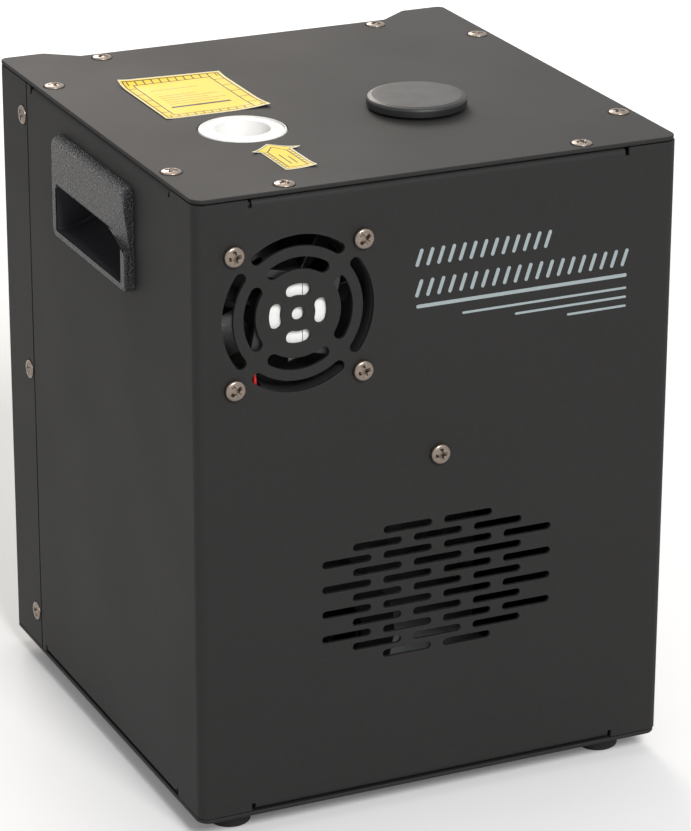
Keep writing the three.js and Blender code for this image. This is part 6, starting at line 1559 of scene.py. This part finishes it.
# The fuse sits in a round black holder with a hexagonal nut behind the cover. Its fluted cap has
# a slot for a coin and draws the fuse out with it.
FUSE_FLANGE = (0.0085, 0.0018)
FUSE_BORE = 0.0036
FUSE_NUT = (0.0086, 0.0030)
FUSE_FLUTES = 24
FUSE_FLUTE = 0.00028
FUSE_SLOT = (0.0090, 0.0013, 0.0013)
FUSE_SLOT_TURN = 0.6
FUSE_EDGE = 0.0007
FUSE_END_GAP = 0.001
FUSE_CARRIER = FUSE_BORE - 0.0004
fuse = centre_of("fuse_holder")
fuse_low, fuse_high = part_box("fuse_cap")
fuse_face = ON_REAR + FUSE_FLANGE[1]


def fuse_body():
    back, radius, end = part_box("fuse_holder")[0].y, FUSE_FLANGE[0], fuse_low.y - FUSE_END_GAP
    outer = [(0.0, back), (FUSE_BODY - FUSE_EDGE, back), (FUSE_BODY, back + FUSE_EDGE), (FUSE_BODY, ON_REAR),
             (radius, ON_REAR)]
    outer += round_over(radius, fuse_face, FUSE_EDGE)
    inner = [(FUSE_BORE + FUSE_EDGE / 2, fuse_face), (FUSE_BORE, fuse_face - FUSE_EDGE / 2), (FUSE_BORE, end),
             (0.0, end)]
    body = spun(outer + inner, fuse.x, fuse.z, 64, name="fuse_body")
    reach, thick = FUSE_NUT
    corners = [(fuse.x + reach * cos(pi * i / 3), fuse.z + reach * sin(pi * i / 3), FUSE_EDGE) for i in range(6)]
    join(body, soft_slab("y", corners, UNDER_REAR - thick, UNDER_REAR, FUSE_EDGE / 2, 4))
    fasten(body, inlet_plastic, "black_plastic", "fuse_holder", angle=36)


def fuse_knob():
    middle, radius, seat = (fuse_low + fuse_high) / 2, (fuse_high.x - fuse_low.x) / 2, fuse_face + SEAT

    def fluted(inset, height):
        points = []
        for turn in [pi * i / (FUSE_FLUTES * 3) for i in range(FUSE_FLUTES * 6)]:
            reach = radius - inset - FUSE_FLUTE * max(0, -cos(FUSE_FLUTES * turn))
            points.append((middle.x + reach * cos(turn), middle.z + reach * sin(turn)))
        return level("y", points, height)
    rings = [fluted(inset, seat + rise) for inset, rise in shares(FUSE_EDGE / 2)]
    rings += [fluted(inset, fuse_high.y - rise) for inset, rise in shares(FUSE_EDGE)[::-1]]
    knob = loft(rings, name="fuse_knob")
    stem = [(0.0, fuse_low.y), (FUSE_CARRIER - 0.0004, fuse_low.y), (FUSE_CARRIER, fuse_low.y + 0.0004),
            (FUSE_CARRIER, seat + FUSE_EDGE), (0.0, seat + FUSE_EDGE)]
    join(knob, spun(stem, middle.x, middle.z, 32))
    length, width, depth = FUSE_SLOT
    slot = slab(-length / 2, length / 2, fuse_high.y - depth, fuse_high.y + OVER, -width / 2, width / 2)
    slot.data.transform(Matrix.Translation((middle.x, 0, middle.z)) @ Matrix.Rotation(FUSE_SLOT_TURN, 4, "Y"))
    carve(knob, slot)
    fasten(knob, inlet_plastic, "black_plastic", "fuse_cap", body="fuse_carrier", angle=36)


fuse_body()
fuse_knob()

# The mains switch is a rocker in a clipped frame. The rocker turns on two pins, and its faces
# carry the plain bar and ring for on and off in white.
ROCKER_WIDTH = 0.0096
ROCKER_SWEEP = 0.0082
ROCKER_CREST = 0.0036
ROCKER_KEEL = 0.0030
ROCKER_TILT = radians(9)
ROCKER_PIVOT = 0.0016
ROCKER_PIN = (0.0011, 0.0009)
ROCKER_EDGE = 0.0003
ROCKER_WAIST = 0.004
ROCKER_GAPS = (0.00035, 0.0004)
SWITCH_FRAME = (0.0020, 0.0015)
SWITCH_BODY = (0.0128, 0.0190)
SWITCH_WELL = 0.0002
SWITCH_EDGE = 0.0006
MARK_HEIGHT = 0.00008
MARK_BAR = (0.0003, 0.0013)
MARK_RING = (0.0011, 0.0015)
switch = centre_of("switch_frame")
pivot = REAR - ROCKER_PIVOT
rocker_plastic = glossy_look("rocker_plastic", (0.012, 0.012, 0.012), 0.22)
white_ink = printed("white_ink", (0.75, 0.75, 0.73), 0.5)


def switch_body():
    low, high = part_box("switch_frame")
    thick, corner = SWITCH_FRAME
    side, end = ROCKER_GAPS
    front, reach = ON_REAR + thick, ROCKER_WIDTH / 2 + side + ROCKER_PIN[1]
    holder = soft_slab("y", seen(low, high, corner), ON_REAR, front, SWITCH_EDGE, 6, name="switch_body")
    body = box_corners(switch.x, switch.z, *SWITCH_BODY, corner)
    join(holder, prism("y", rounded(body, 4), low.y, REAR + thick / 2))
    well = box_corners(switch.x, switch.z, ROCKER_WIDTH + 2 * side, 2 * (ROCKER_SWEEP + end), SWITCH_WELL)
    carve(holder, shaped_hole("y", well, pivot - ROCKER_SWEEP, front, 4, SWITCH_EDGE / 2))
    pins = disc(pivot, switch.z, ROCKER_PIN[0] + side, 20)
    carve(holder, prism("x", pins, switch.x - reach, switch.x + reach))
    fasten(holder, inlet_plastic, "black_plastic", "switch_frame", angle=36)


def rocker():
    lift = atan2(ROCKER_CREST, ROCKER_SWEEP) + ROCKER_TILT
    drop = asin(ROCKER_KEEL / ROCKER_SWEEP)
    points = []
    for start, end in ((pi + drop, pi - lift), (lift, -drop)):
        turns = [start + (end - start) * step / 12 for step in range(13)]
        points += [(ROCKER_SWEEP * sin(turn), ROCKER_SWEEP * cos(turn), 0) for turn in turns]
    points.insert(13, (ROCKER_CREST, 0, ROCKER_WAIST))
    half, (radius, pin) = ROCKER_WIDTH / 2, ROCKER_PIN
    body = soft_slab("x", points, -half, half, ROCKER_EDGE, 6)
    join(body, turned([(0.0, -half - pin), (radius, -half - pin), (radius, half + pin), (0.0, half + pin)],
                      aim=(1, 0, 0), sides=20))
    slope = atan2(ROCKER_SWEEP * sin(lift) - ROCKER_CREST, ROCKER_SWEEP * cos(lift))
    width, reach = MARK_BAR
    inner, outer = MARK_RING
    bar = slab(-width, width, -MARK_HEIGHT, MARK_HEIGHT, -reach, reach)
    ring = spun([(inner, -MARK_HEIGHT), (outer, -MARK_HEIGHT), (outer, MARK_HEIGHT), (inner, MARK_HEIGHT),
                 (inner, -MARK_HEIGHT)], sides=32)
    for mark, side in ((bar, 1), (ring, -1)):
        far = ROCKER_SWEEP / 2
        mark.data.transform(Matrix.Translation((0, ROCKER_CREST + far * tan(slope), side * far))
                            @ Matrix.Rotation(side * slope, 4, "X"))
    piece = gathered("mains_rocker", (rocker_plastic, [body]), (white_ink, [bar, ring]))
    piece.data.transform(Matrix.Translation((switch.x, pivot, switch.z)) @ Matrix.Rotation(-ROCKER_TILT, 4, "X"))
    fasten(piece, None, "black_plastic", "power_rocker", body="rocker", angle=30)


switch_body()
rocker()

# Plain marks are printed on the rear cover in the same grey ink as in front: a rule round the
# display, an arrow or a dot over each key, and a rule under each socket.
REAR_RULE = 0.0005
REAR_FRAME = 0.003
REAR_MARK = 0.0016
REAR_MARK_RISE = 0.0085
REAR_FOOT_RULE = (0.004, 0.7, 1.6)


def rear_print(points):
    return prism("y", points, REAR - PRINT_RISE, REAR + PRINT_RISE)


def rear_rule(x, z, width, tall):
    return rear_print(rounded(box_corners(x, z, width, tall, min(width, tall) * 0.45), 3))


def rear_marks():
    half, tall = [size / 2 + DISPLAY_BORDER + REAR_FRAME for size in (DISPLAY_WIDTH, DISPLAY_TALL)]
    marks = []
    for side in (-1, 1):
        marks.append(rear_rule(side * half, SCREEN_Z, REAR_RULE, 2 * tall))
        marks.append(rear_rule(0, SCREEN_Z + side * tall, 2 * half + REAR_RULE, REAR_RULE))
    for place, flip in zip(centres("menu_button", 4), (0, 1, -1, 0)):
        x, z, rise = place.x, place.z - REAR_MARK_RISE, flip * REAR_MARK
        arrow = [(x - REAR_MARK, z - rise), (x + REAR_MARK, z - rise), (x, z + rise)]
        marks.append(rear_print(arrow if flip else disc(x, z, REAR_MARK * 0.8, 24)))
    drop, share, thick = REAR_FOOT_RULE
    for low, high in map(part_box, ("dmx_in_socket", "dmx_out_socket", "power_inlet")):
        marks.append(rear_rule((low.x + high.x) / 2, low.z - drop, (high.x - low.x) * share, REAR_RULE * thick))
    fasten(gathered("rear_marks", (screen_ink, marks)))


rear_marks()

# The carriers inside are bare aluminium sheet, and the powder's path is turned from aluminium and
# steel. Rolled sheet has fine lines one way, and turned parts have them round their axis.
SHEET_METAL = (0.60, 0.61, 0.62)
TURNED_METAL = (0.66, 0.67, 0.68)
CAN_METAL = (0.44, 0.45, 0.46)
BRASS_METAL = (0.66, 0.49, 0.21)
SOFT_EDGE = 0.0003
SLEEVE_EDGE = 0.0008
MERGE = 0.000001
ACROSS = (1, 12, 12)
AROUND = (2, 2, 30)


def drawn_metal(name, colour, roughness, stretch=(1, 1, 1)):
    """Bare metal, rolled or turned, with fine lines along the way it was worked."""
    lines = (120, 3, 0.6, stretch)
    return surface(name, colour, (25, 3), (0.9, 1.06), lines, (roughness - 0.06, roughness + 0.1),
                   (lines, 0.2, 0.00003), Metallic=1)


def refined(material, slot, *nodes, body="case", edge=SOFT_EDGE):
    """Pieces whose CAD shape is right, each merged to one skin and with its sharp edges eased."""
    for node in nodes:
        shape = bmesh.new()
        shape.from_mesh(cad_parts[node].data)
        bmesh.ops.remove_doubles(shape, verts=shape.verts, dist=MERGE)
        bmesh.ops.dissolve_limit(shape, angle_limit=radians(1), verts=shape.verts, edges=shape.edges)
        piece = as_piece(node + "_skin", shape)
        ease = piece.modifiers.new("ease", "BEVEL")
        ease.width, ease.segments = edge, 2
        ease.limit_method, ease.angle_limit = "ANGLE", radians(40)
        fasten(settle(piece), material, slot, node, body=body)


rolled_sheet = drawn_metal("rolled_sheet", SHEET_METAL, 0.38, ACROSS)
turned_metal = drawn_metal("turned_metal", TURNED_METAL, 0.30, AROUND)
motor_can = drawn_metal("motor_can", CAN_METAL, 0.34)
brass = drawn_metal("brass", BRASS_METAL, 0.30, AROUND)
refined(rolled_sheet, "plain_aluminium", "partition", "feeder_shelf")
refined(turned_metal, "plain_aluminium", "powder_hopper", "feed_housing", "feed_port_collar", "feed_motor")
refined(motor_can, "plain_steel", "feed_gearbox", "blower_motor")
refined(brass, "plain_brass", "shaft_coupler", body="feed_drive")
refined(fan_plastic, "black_plastic", "blower_housing", "air_duct")
refined(fan_plastic, "black_plastic", "blower_impeller", body="blower_wheel")
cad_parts["feed_screw"].data.materials[0] = motor_can

# The heater tube is steel that has turned straw and blue where the clamped band heats it. A sleeve
# of ceramic fibre keeps the heat in, and two steel straps hold the sleeve.
STRAP_HEIGHTS = (0.1325, 0.1855)
STRAP = (0.0001, 0.0005, 0.007)
STRAP_HOUSING = (0.008, 0.003, 0.0085)
FIBRE_COLOUR = (0.72, 0.68, 0.60)
TEMPER_COLOURS = ((0.0, (0.46, 0.47, 0.48)), (0.35, (0.56, 0.40, 0.20)), (0.6, (0.20, 0.22, 0.36)),
                  (0.8, (0.50, 0.40, 0.26)), (1.0, (0.46, 0.47, 0.48)))


def tempered_steel():
    material, tree, shader = material_nodes("tempered_steel")
    low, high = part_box("heater_tube")
    height = add(tree, "SeparateXYZ", "Z", Vector=add(tree, "TexCoord", "Object"))
    ramp = feed(tree, tree.nodes.new("ShaderNodeValToRGB"), Fac=spread(tree, height, 0, 1, low.z, high.z))
    while len(ramp.color_ramp.elements) < len(TEMPER_COLOURS):
        ramp.color_ramp.elements.new(0.5)
    for element, (position, colour) in zip(ramp.color_ramp.elements, TEMPER_COLOURS):
        element.position = position
        element.color = (*colour, 1)
    feed(tree, shader, Metallic=1, Base_Color=ramp.outputs["Color"],
         Roughness=spread(tree, noise(tree, 200, 3), 0.28, 0.42))
    return material


def sleeve_straps():
    low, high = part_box("insulation_sleeve")
    middle, radius = (low + high) / 2, (high.x - low.x) / 2
    inner, outer, (wide, deep, tall) = radius + STRAP[0], radius + STRAP[1], STRAP_HOUSING
    front = middle.y - outer
    straps = []
    for height in STRAP_HEIGHTS:
        start, end = height - STRAP[2] / 2, height + STRAP[2] / 2
        strap = turned([(inner, start), (outer, start), (outer, end), (inner, end), (inner, start)],
                       (middle.x, middle.y, 0), sides=96)
        straps.append(join(strap, slab(middle.x - wide / 2, middle.x + wide / 2, front - deep,
                                       front + STRAP[1] / 2, height - tall / 2, height + tall / 2)))
    fasten(gathered("sleeve_straps", (satin_nickel, straps)), None, "plain_steel")


fibre = surface("ceramic_fibre", FIBRE_COLOUR, (60, 4), (0.86, 1.06), None, None, ((240, 5, 0.65), 0.8, 0.0008),
                Roughness=0.95, Sheen_Weight=0.2)
refined(tempered_steel(), "plain_steel", "heater_tube")
refined(brass, "plain_brass", "heater_band")
refined(fibre, "insulation", "insulation_sleeve", edge=SLEEVE_EDGE)
sleeve_straps()

# The blower's and the feed's motors each end in a boss over the bearing, between two solder tabs.
MOTOR_BOSS = (0.0042, 0.0014)
MOTOR_TAB = (0.0026, 0.0005, 0.0030)
MOTOR_TAB_OUT = 0.0082


def button(radius, rise, step, aim=(0, 0, 1), sides=32):
    """A low round boss or head, bevelled down to a share of its radius."""
    return turned([(0.0, 0.0), (radius, 0), (radius, rise * 0.7), (radius * step, rise), (0.0, rise)],
                  aim=aim, sides=sides)


def motor_end(name, node, aim):
    """A boss and two tabs on a motor's end face."""
    low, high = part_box(node)
    aim, middle = Vector(aim), (low + high) / 2
    place = middle + aim * ((high - middle).dot(aim) + SEAT)
    wide, thick, tall = MOTOR_TAB
    parts = [button(*MOTOR_BOSS, 0.8)]
    parts += [slab(x - wide / 2, x + wide / 2, -thick / 2, thick / 2, 0, tall)
              for x in (-MOTOR_TAB_OUT, MOTOR_TAB_OUT)]
    for part in parts:
        part.data.transform(Matrix.Translation(place) @ aimed(aim).to_4x4())
    fasten(gathered(name, (motor_can, parts[:1]), (pin_gold, parts[1:])), None, "plain_steel")


motor_end("blower_motor_end", "blower_motor", (0, 1, 0))
motor_end("feed_motor_end", "feed_motor", (1, 0, 0))

# The power supply is a bare aluminium box pierced for air on its broad side. On a step at one end
# stands its terminal block, with a screw between barriers for each wire.
SUPPLY_STEP = 0.012
SUPPLY_EDGE = 0.0008
SUPPLY_HOLE = 0.0016
SUPPLY_HOLE_DEPTH = 0.0009
SUPPLY_HOLE_PITCH = 0.0075
SUPPLY_HOLE_ROWS = (14, 11)
TERMINALS = 7
TERMINAL_PITCH = 0.0100
TERMINAL_BASE = 0.006
TERMINAL_BARRIER = (0.0014, 0.010)
TERMINAL_SCREW = (0.0030, 0.0014)
TERMINAL_MARGIN = 0.0008
supply_low, supply_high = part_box("power_supply")
supply = (supply_low + supply_high) / 2


def power_box():
    low, high, step = supply_low, supply_high, SUPPLY_STEP
    outline = [(low.x, low.y, SUPPLY_EDGE), (high.x, low.y, SUPPLY_EDGE), (high.x, high.y, SUPPLY_EDGE),
               (low.x + step, high.y, SUPPLY_EDGE), (low.x + step, low.y + step, 0), (low.x, low.y + step, SUPPLY_EDGE)]
    box = prism("z", rounded(outline, 4), low.z, high.z, name="power_box")
    pit = spun([(SUPPLY_HOLE, -SUPPLY_HOLE_DEPTH), (SUPPLY_HOLE, OVER)], sides=16)
    across, up = [[(i - (count - 1) / 2) * SUPPLY_HOLE_PITCH for i in range(count)] for count in SUPPLY_HOLE_ROWS]
    pits = upright((supply.x + step / 2 + x, high.y, supply.z + z) for x in across for z in up)
    carve(box, repeat(pit, pits))
    fasten(box, rolled_sheet, "plain_aluminium", "power_supply")


def terminal_block():
    """The block and its screws. Gives back the places of the screws."""
    left, right = supply_low.x + TERMINAL_MARGIN, supply_low.x + SUPPLY_STEP - TERMINAL_MARGIN
    seat, start = supply_low.y + SUPPLY_STEP + SEAT, supply.z - TERMINALS * TERMINAL_PITCH / 2
    thick, tall = TERMINAL_BARRIER
    walls = [start + i * TERMINAL_PITCH for i in range(TERMINALS + 1)]
    block = slab(left, right, seat, seat + TERMINAL_BASE, start - thick / 2, walls[-1] + thick / 2,
                 name="terminal_block")
    for height in walls:
        join(block, slab(left, right, seat + TERMINAL_BASE / 2, seat + tall, height - thick / 2, height + thick / 2))
    radius, rise = TERMINAL_SCREW
    head = button(radius, rise, 0.86, (0, 1, 0), 24)
    carve(head, slab(-radius * 2, radius * 2, rise * 0.45, rise * 2, -radius / 8, radius / 8))
    places = [(Vector(((left + right) / 2, seat + TERMINAL_BASE + SEAT / 2, start + (i + 0.5) * TERMINAL_PITCH)),
               (0, 0.5 * i, 0)) for i in range(TERMINALS)]
    screws = repeat(head, places, satin_nickel, name="terminal_screws")
    fasten(block, fan_plastic, "black_plastic")
    fasten(screws, satin_nickel, "plain_steel")
    return [place for place, turn in places]


power_box()
terminal_places = terminal_block()

# The control board stands on four spacers. It carries a finned heat sink over the output stage, a
# row of capacitors, the processor and white sockets for the wires.
BOARD = (0.0016, 0.0015, 0.0002)
BOARD_RISE = 0.004
BOARD_COLOUR = (0.018, 0.115, 0.045)
TRACK_COLOUR = (0.030, 0.165, 0.065)
TRACK_STRETCH = (1, 1, 0.22)
TRACK_EDGE = (0.49, 0.51)
SPACER = (0.003, 0.005)
SINK = (-0.040, -0.005, 0.0, 0.018)
SINK_BASE = 0.003
SINK_FINS = 8
SINK_FIN = 0.0013
CHIP_X = 0.018
CHIP = (0.018, 0.003, 0.0004)
CAPACITOR = (0.0043, 0.0086)
CAPACITOR_RIM = 0.0005
CAPACITOR_SPOTS = ((-0.0395, -0.0138), (-0.0295, -0.0138), (-0.0195, -0.0138), (-0.0095, -0.0138))
SOCKET = (0.0110, 0.0060, 0.0054, 0.0003)
SOCKET_SPOTS = ((-0.032, -0.030), (-0.014, -0.030), (0.004, -0.030), (0.022, -0.030), (0.036, 0.030), (0.0, 0.0295))
FAN_PLUG = (-0.0502, -0.0450, 0.0011, 0.0102)


def solder_mask():
    """A green circuit board whose copper shows through as paler tracks."""
    material, tree, shader = material_nodes("circuit_board")
    tracks = spread(tree, noise(tree, 260, 1, 0.3, TRACK_STRETCH), 0, 1, *TRACK_EDGE)
    feed(tree, shader, Base_Color=tint(tree, tracks, BOARD_COLOUR, TRACK_COLOUR),
         Roughness=spread(tree, noise(tree, 400, 2), 0.30, 0.40))
    return material


def board(low, high, face, radius, inset, start, end):
    """A circuit board's plate and the four six-sided posts at its corners."""
    thick, corner, edge = BOARD
    outline = box_corners(0, (low.z + high.z) / 2, high.x - low.x, high.z - low.z, corner)
    posts = [prism("y", disc(x, z, radius, 6), start, end)
             for x in (low.x + inset, high.x - inset) for z in (low.z + inset, high.z - inset)]
    return soft_slab("y", outline, face, face + thick, edge, 4), posts


board_green = solder_mask()
nylon = printed("nylon", (0.74, 0.73, 0.70), 0.5)


def control_panel():
    low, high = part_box("control_board")
    middle, face = (low.z + high.z) / 2, low.y + BOARD_RISE
    plate, spacers = board(low, high, face, *SPACER, low.y, face + SEAT)
    top = face + BOARD[0]
    seat = top - SEAT
    left, right, foot, tall = SINK
    sink = slab(left, right, seat, top + SINK_BASE, middle + foot, middle + tall)
    for i in range(SINK_FINS):
        x = left + i * (right - left - SINK_FIN) / (SINK_FINS - 1)
        join(sink, slab(x, x + SINK_FIN, top + SINK_BASE / 2, high.y, middle + foot, middle + tall))
    size, thick, edge = CHIP
    chip = soft_slab("y", box_corners(CHIP_X, middle, size, size, edge), seat, top + thick, edge, 3)
    radius, tall = CAPACITOR
    can = [(0.0, 0.0), (radius, 0), (radius, 0.001), (radius * 0.93, 0.0014), (radius, 0.0018),
           (radius, tall - CAPACITOR_RIM), (radius - CAPACITOR_RIM, tall), (radius * 0.8, tall),
           (radius * 0.76, tall - 0.0003), (0.0, tall - 0.0003)]
    cans = [turned(can, (x, seat, middle + z), (0, 1, 0), 32) for x, z in CAPACITOR_SPOTS]
    wide, high_, deep, edge = SOCKET
    sockets = [soft_slab("y", box_corners(x, middle + z, wide, high_, edge), seat, top + deep, edge, 2)
               for x, z in SOCKET_SPOTS]
    start, end, foot, tall = FAN_PLUG
    sockets.append(slab(start, end, seat, top + deep, middle + foot, middle + tall))
    panel = gathered("control_panel", (board_green, [plate]), (turned_metal, [sink, *cans]), (insert_plastic, [chip]),
                     (nylon, [*spacers, *sockets]))
    fasten(panel, None, "circuit_board", "control_board")


control_panel()

# The display board hangs behind the rear cover on four posts. It holds the numeric display and a
# square push switch behind each menu button.
POST = (0.0028, 0.005)
MODULE_CORNER = 0.0006
MODULE_EDGE = 0.0005
MODULE_GAP = 0.001
TACT = (0.0031, 0.0030)
TACT_STEM = (0.0022, 0.00345)


def display_panel():
    low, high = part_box("display_board")
    face = low.y + BOARD[0]
    seat, tact = face - SEAT, face + TACT[1]
    plate, posts = board(low, high, low.y, *POST, seat, high.y)
    window = box_corners(0, SCREEN_Z, DISPLAY_WIDTH, DISPLAY_TALL, MODULE_CORNER)
    module = soft_slab("y", window, seat, INNER_REAR - MODULE_GAP, MODULE_EDGE, 3)
    half, keys, (radius, below) = TACT[0], centres("menu_button", 4), TACT_STEM
    bases = [slab(key.x - half, key.x + half, seat, tact, key.z - half, key.z + half) for key in keys]
    stems = [prism("y", disc(key.x, key.z, radius, 24), tact - SEAT, INNER_REAR - below) for key in keys]
    panel = gathered("display_panel", (board_green, [plate]), (insert_plastic, [module, *stems]),
                     (satin_nickel, bases), (nylon, posts))
    fasten(panel, None, "circuit_board", "display_board")


display_panel()

# A grey ribbon joins the two boards. The mains wires run from the inlet through the fuse and the
# switch to the terminal block, and each ends in a black sleeve.
RIBBON = (0.0075, 0.0007)
RIBBON_PATH = ((0.0245, 0.1882, 0), (0.0320, 0.1830, 0.006), (0.0560, 0.1760, 0.012), (0.0755, 0.1780, 0.004),
               (0.0798, 0.1780, 0))
WIRE_RADIUS = 0.0011
WIRE_END = (0, 0.0020, 0)
WIRE_LEVEL = 0.0455
BOOT = (0.0021, 0.0085)
BOOT_END = 0.8
grey_wire = wire_look("ribbon_grey", (0.30, 0.30, 0.31))
brown_wire = wire_look("brown_wire", (0.12, 0.045, 0.02))
blue_wire = wire_look("blue_wire", (0.02, 0.10, 0.42))
earth_wire = wire_look("earth_wire", (0.16, 0.42, 0.03))
WIRES = (
    (earth_wire, 1, ((27, 68.4, 47), (26, 60, 44), (14, 54, 36), (-24, 52, 32), (-50, 50, 32))),
    (blue_wire, 2, ((20, 68.4, 57), (19, 60, 62), (8, 54, 70), (-22, 51, 66), (-50, 50, 48))),
    (brown_wire, 3, ((-44, 71.2, 60), (-44, 63, 63), (-48, 56, 66), (-53, 50, 66))),
)
LINKS = (((34, 68.4, 57), (33, 60, 66), (16, 55, 74), (-6, 57, 66), (-16, 64.4, 56)),
         ((-16, 64.4, 51), (-20, 57, 42), (-36, 58, 40), (-44, 65, 43), (-44, 71.2, 48)))


def wire(*points):
    return tube("wire", points, WIRE_RADIUS, 12)


def boot(place, aim, share=1):
    """A sleeve over a wire's end."""
    radius, length = BOOT
    return tube("boot", [place, place + Vector(aim).normalized() * length * share], radius * share, 14)


def mains_wires():
    parts, boots = [], []
    for finish, terminal, route in WIRES:
        points = [Vector(point) / 1000 for point in route]
        end = terminal_places[terminal] + Vector(WIRE_END)
        parts.append((finish, [wire(*points, Vector((end.x, WIRE_LEVEL, end.z)), end)]))
        boots += [boot(points[0], points[1] - points[0]), boot(end, WIRE_END, BOOT_END)]
    parts.append((brown_wire, [wire(*(Vector(point) / 1000 for point in link)) for link in LINKS]))
    fasten(gathered("mains_wires", *parts, (black_wire, boots)), angle=60)


def ribbon():
    half, thick = RIBBON
    strip = prism("x", rounded(folded(RIBBON_PATH, thick), 5), -half, half)
    fasten(gathered("board_ribbon", (grey_wire, [strip])), angle=60)


mains_wires()
ribbon()

# The studio is a plain pale floor under an even sky. A broad lamp stands in front, one hangs
# overhead, a small one stands at the left and a warm one behind. The floor fades to white far out.
FLOOR_REACH = 6.0
FLOOR_DEPTH = 0.02
FLOOR_COLOUR = (0.84, 0.84, 0.84)
FLOOR_GLOW = 0.12
FLOOR_FADE = (0.6, 2.4)
SKY_LEVEL = 0.32
WHITE = (1, 1, 1, 1)
LAMPS = (
    ((0.3, 0.6, 2.5), 2.0, 12.0, (1.0, 1.0, 1.0)),
    ((-0.1, -2.3, 1.9), 1.0, 64.0, (1.0, 1.0, 1.0)),
    ((-2.2, 0.4, 1.2), 0.3, 2.0, (0.97, 0.985, 1.0)),
    ((0.3, 2.4, 1.5), 1.2, 34.0, (1.0, 0.91, 0.83)),
)


def worked_out(tree, operation, first, second):
    """What a math node makes of two values."""
    node = feed(tree, tree.nodes.new("ShaderNodeMath"), operation=operation)
    tree.links.new(first, node.inputs[0])
    tree.links.new(second, node.inputs[1])
    return node.outputs["Value"]


def studio_floor():
    square = [corner[:2] for corner in box_corners(0, 0, 2 * FLOOR_REACH, 2 * FLOOR_REACH)]
    plane = prism("z", square, -FLOOR_DEPTH, 0.0, name="studio_floor")
    material = surface("studio_floor", FLOOR_COLOUR, (1.5, 2), (0.995, 1.005), None, None, Roughness=0.9,
                       Specular_IOR_Level=0.1, Emission_Color=WHITE)
    tree = material.node_tree
    away = add(tree, "VectorMath", "Value", operation="LENGTH", Vector=add(tree, "TexCoord", "Object"))
    glow = worked_out(tree, "MULTIPLY", spread(tree, away, FLOOR_GLOW, 1, *FLOOR_FADE),
                      add(tree, "LightPath", "Is Camera Ray"))
    feed(tree, tree.nodes["Principled BSDF"], Emission_Strength=glow)
    plane.data.materials.append(material)


def sky():
    """A sky that is white where it is seen, mirrored or seen through, and dimmer as a light."""
    world = bpy.data.worlds.new("sky")
    world.use_nodes = True
    tree = world.node_tree
    rays = tree.nodes.new("ShaderNodeLightPath").outputs
    clear = rays["Is Camera Ray"]
    for ray in ("Is Glossy Ray", "Is Transmission Ray"):
        clear = worked_out(tree, "MAXIMUM", clear, rays[ray])
    feed(tree, tree.nodes["Background"], Color=WHITE, Strength=spread(tree, clear, SKY_LEVEL, 1, 0, 1))
    bpy.context.scene.world = world


def lamp(name, place, size, power, colour):
    light = bpy.data.objects.new(name, bpy.data.lights.new(name, "AREA"))
    light.data.shape = "DISK"
    light.data.size = size
    light.data.energy = power
    light.data.color = colour
    light.location = place
    light.rotation_euler = (Vector(place) - Vector((0, 0, shell_high.z / 2))).to_track_quat("Z", "Y").to_euler()
    bpy.context.scene.collection.objects.link(light)


studio_floor()
sky()
for number, values in enumerate(LAMPS):
    lamp(f"lamp_{number + 1}", *values)
bpy.context.scene.view_settings.view_transform = "Standard"
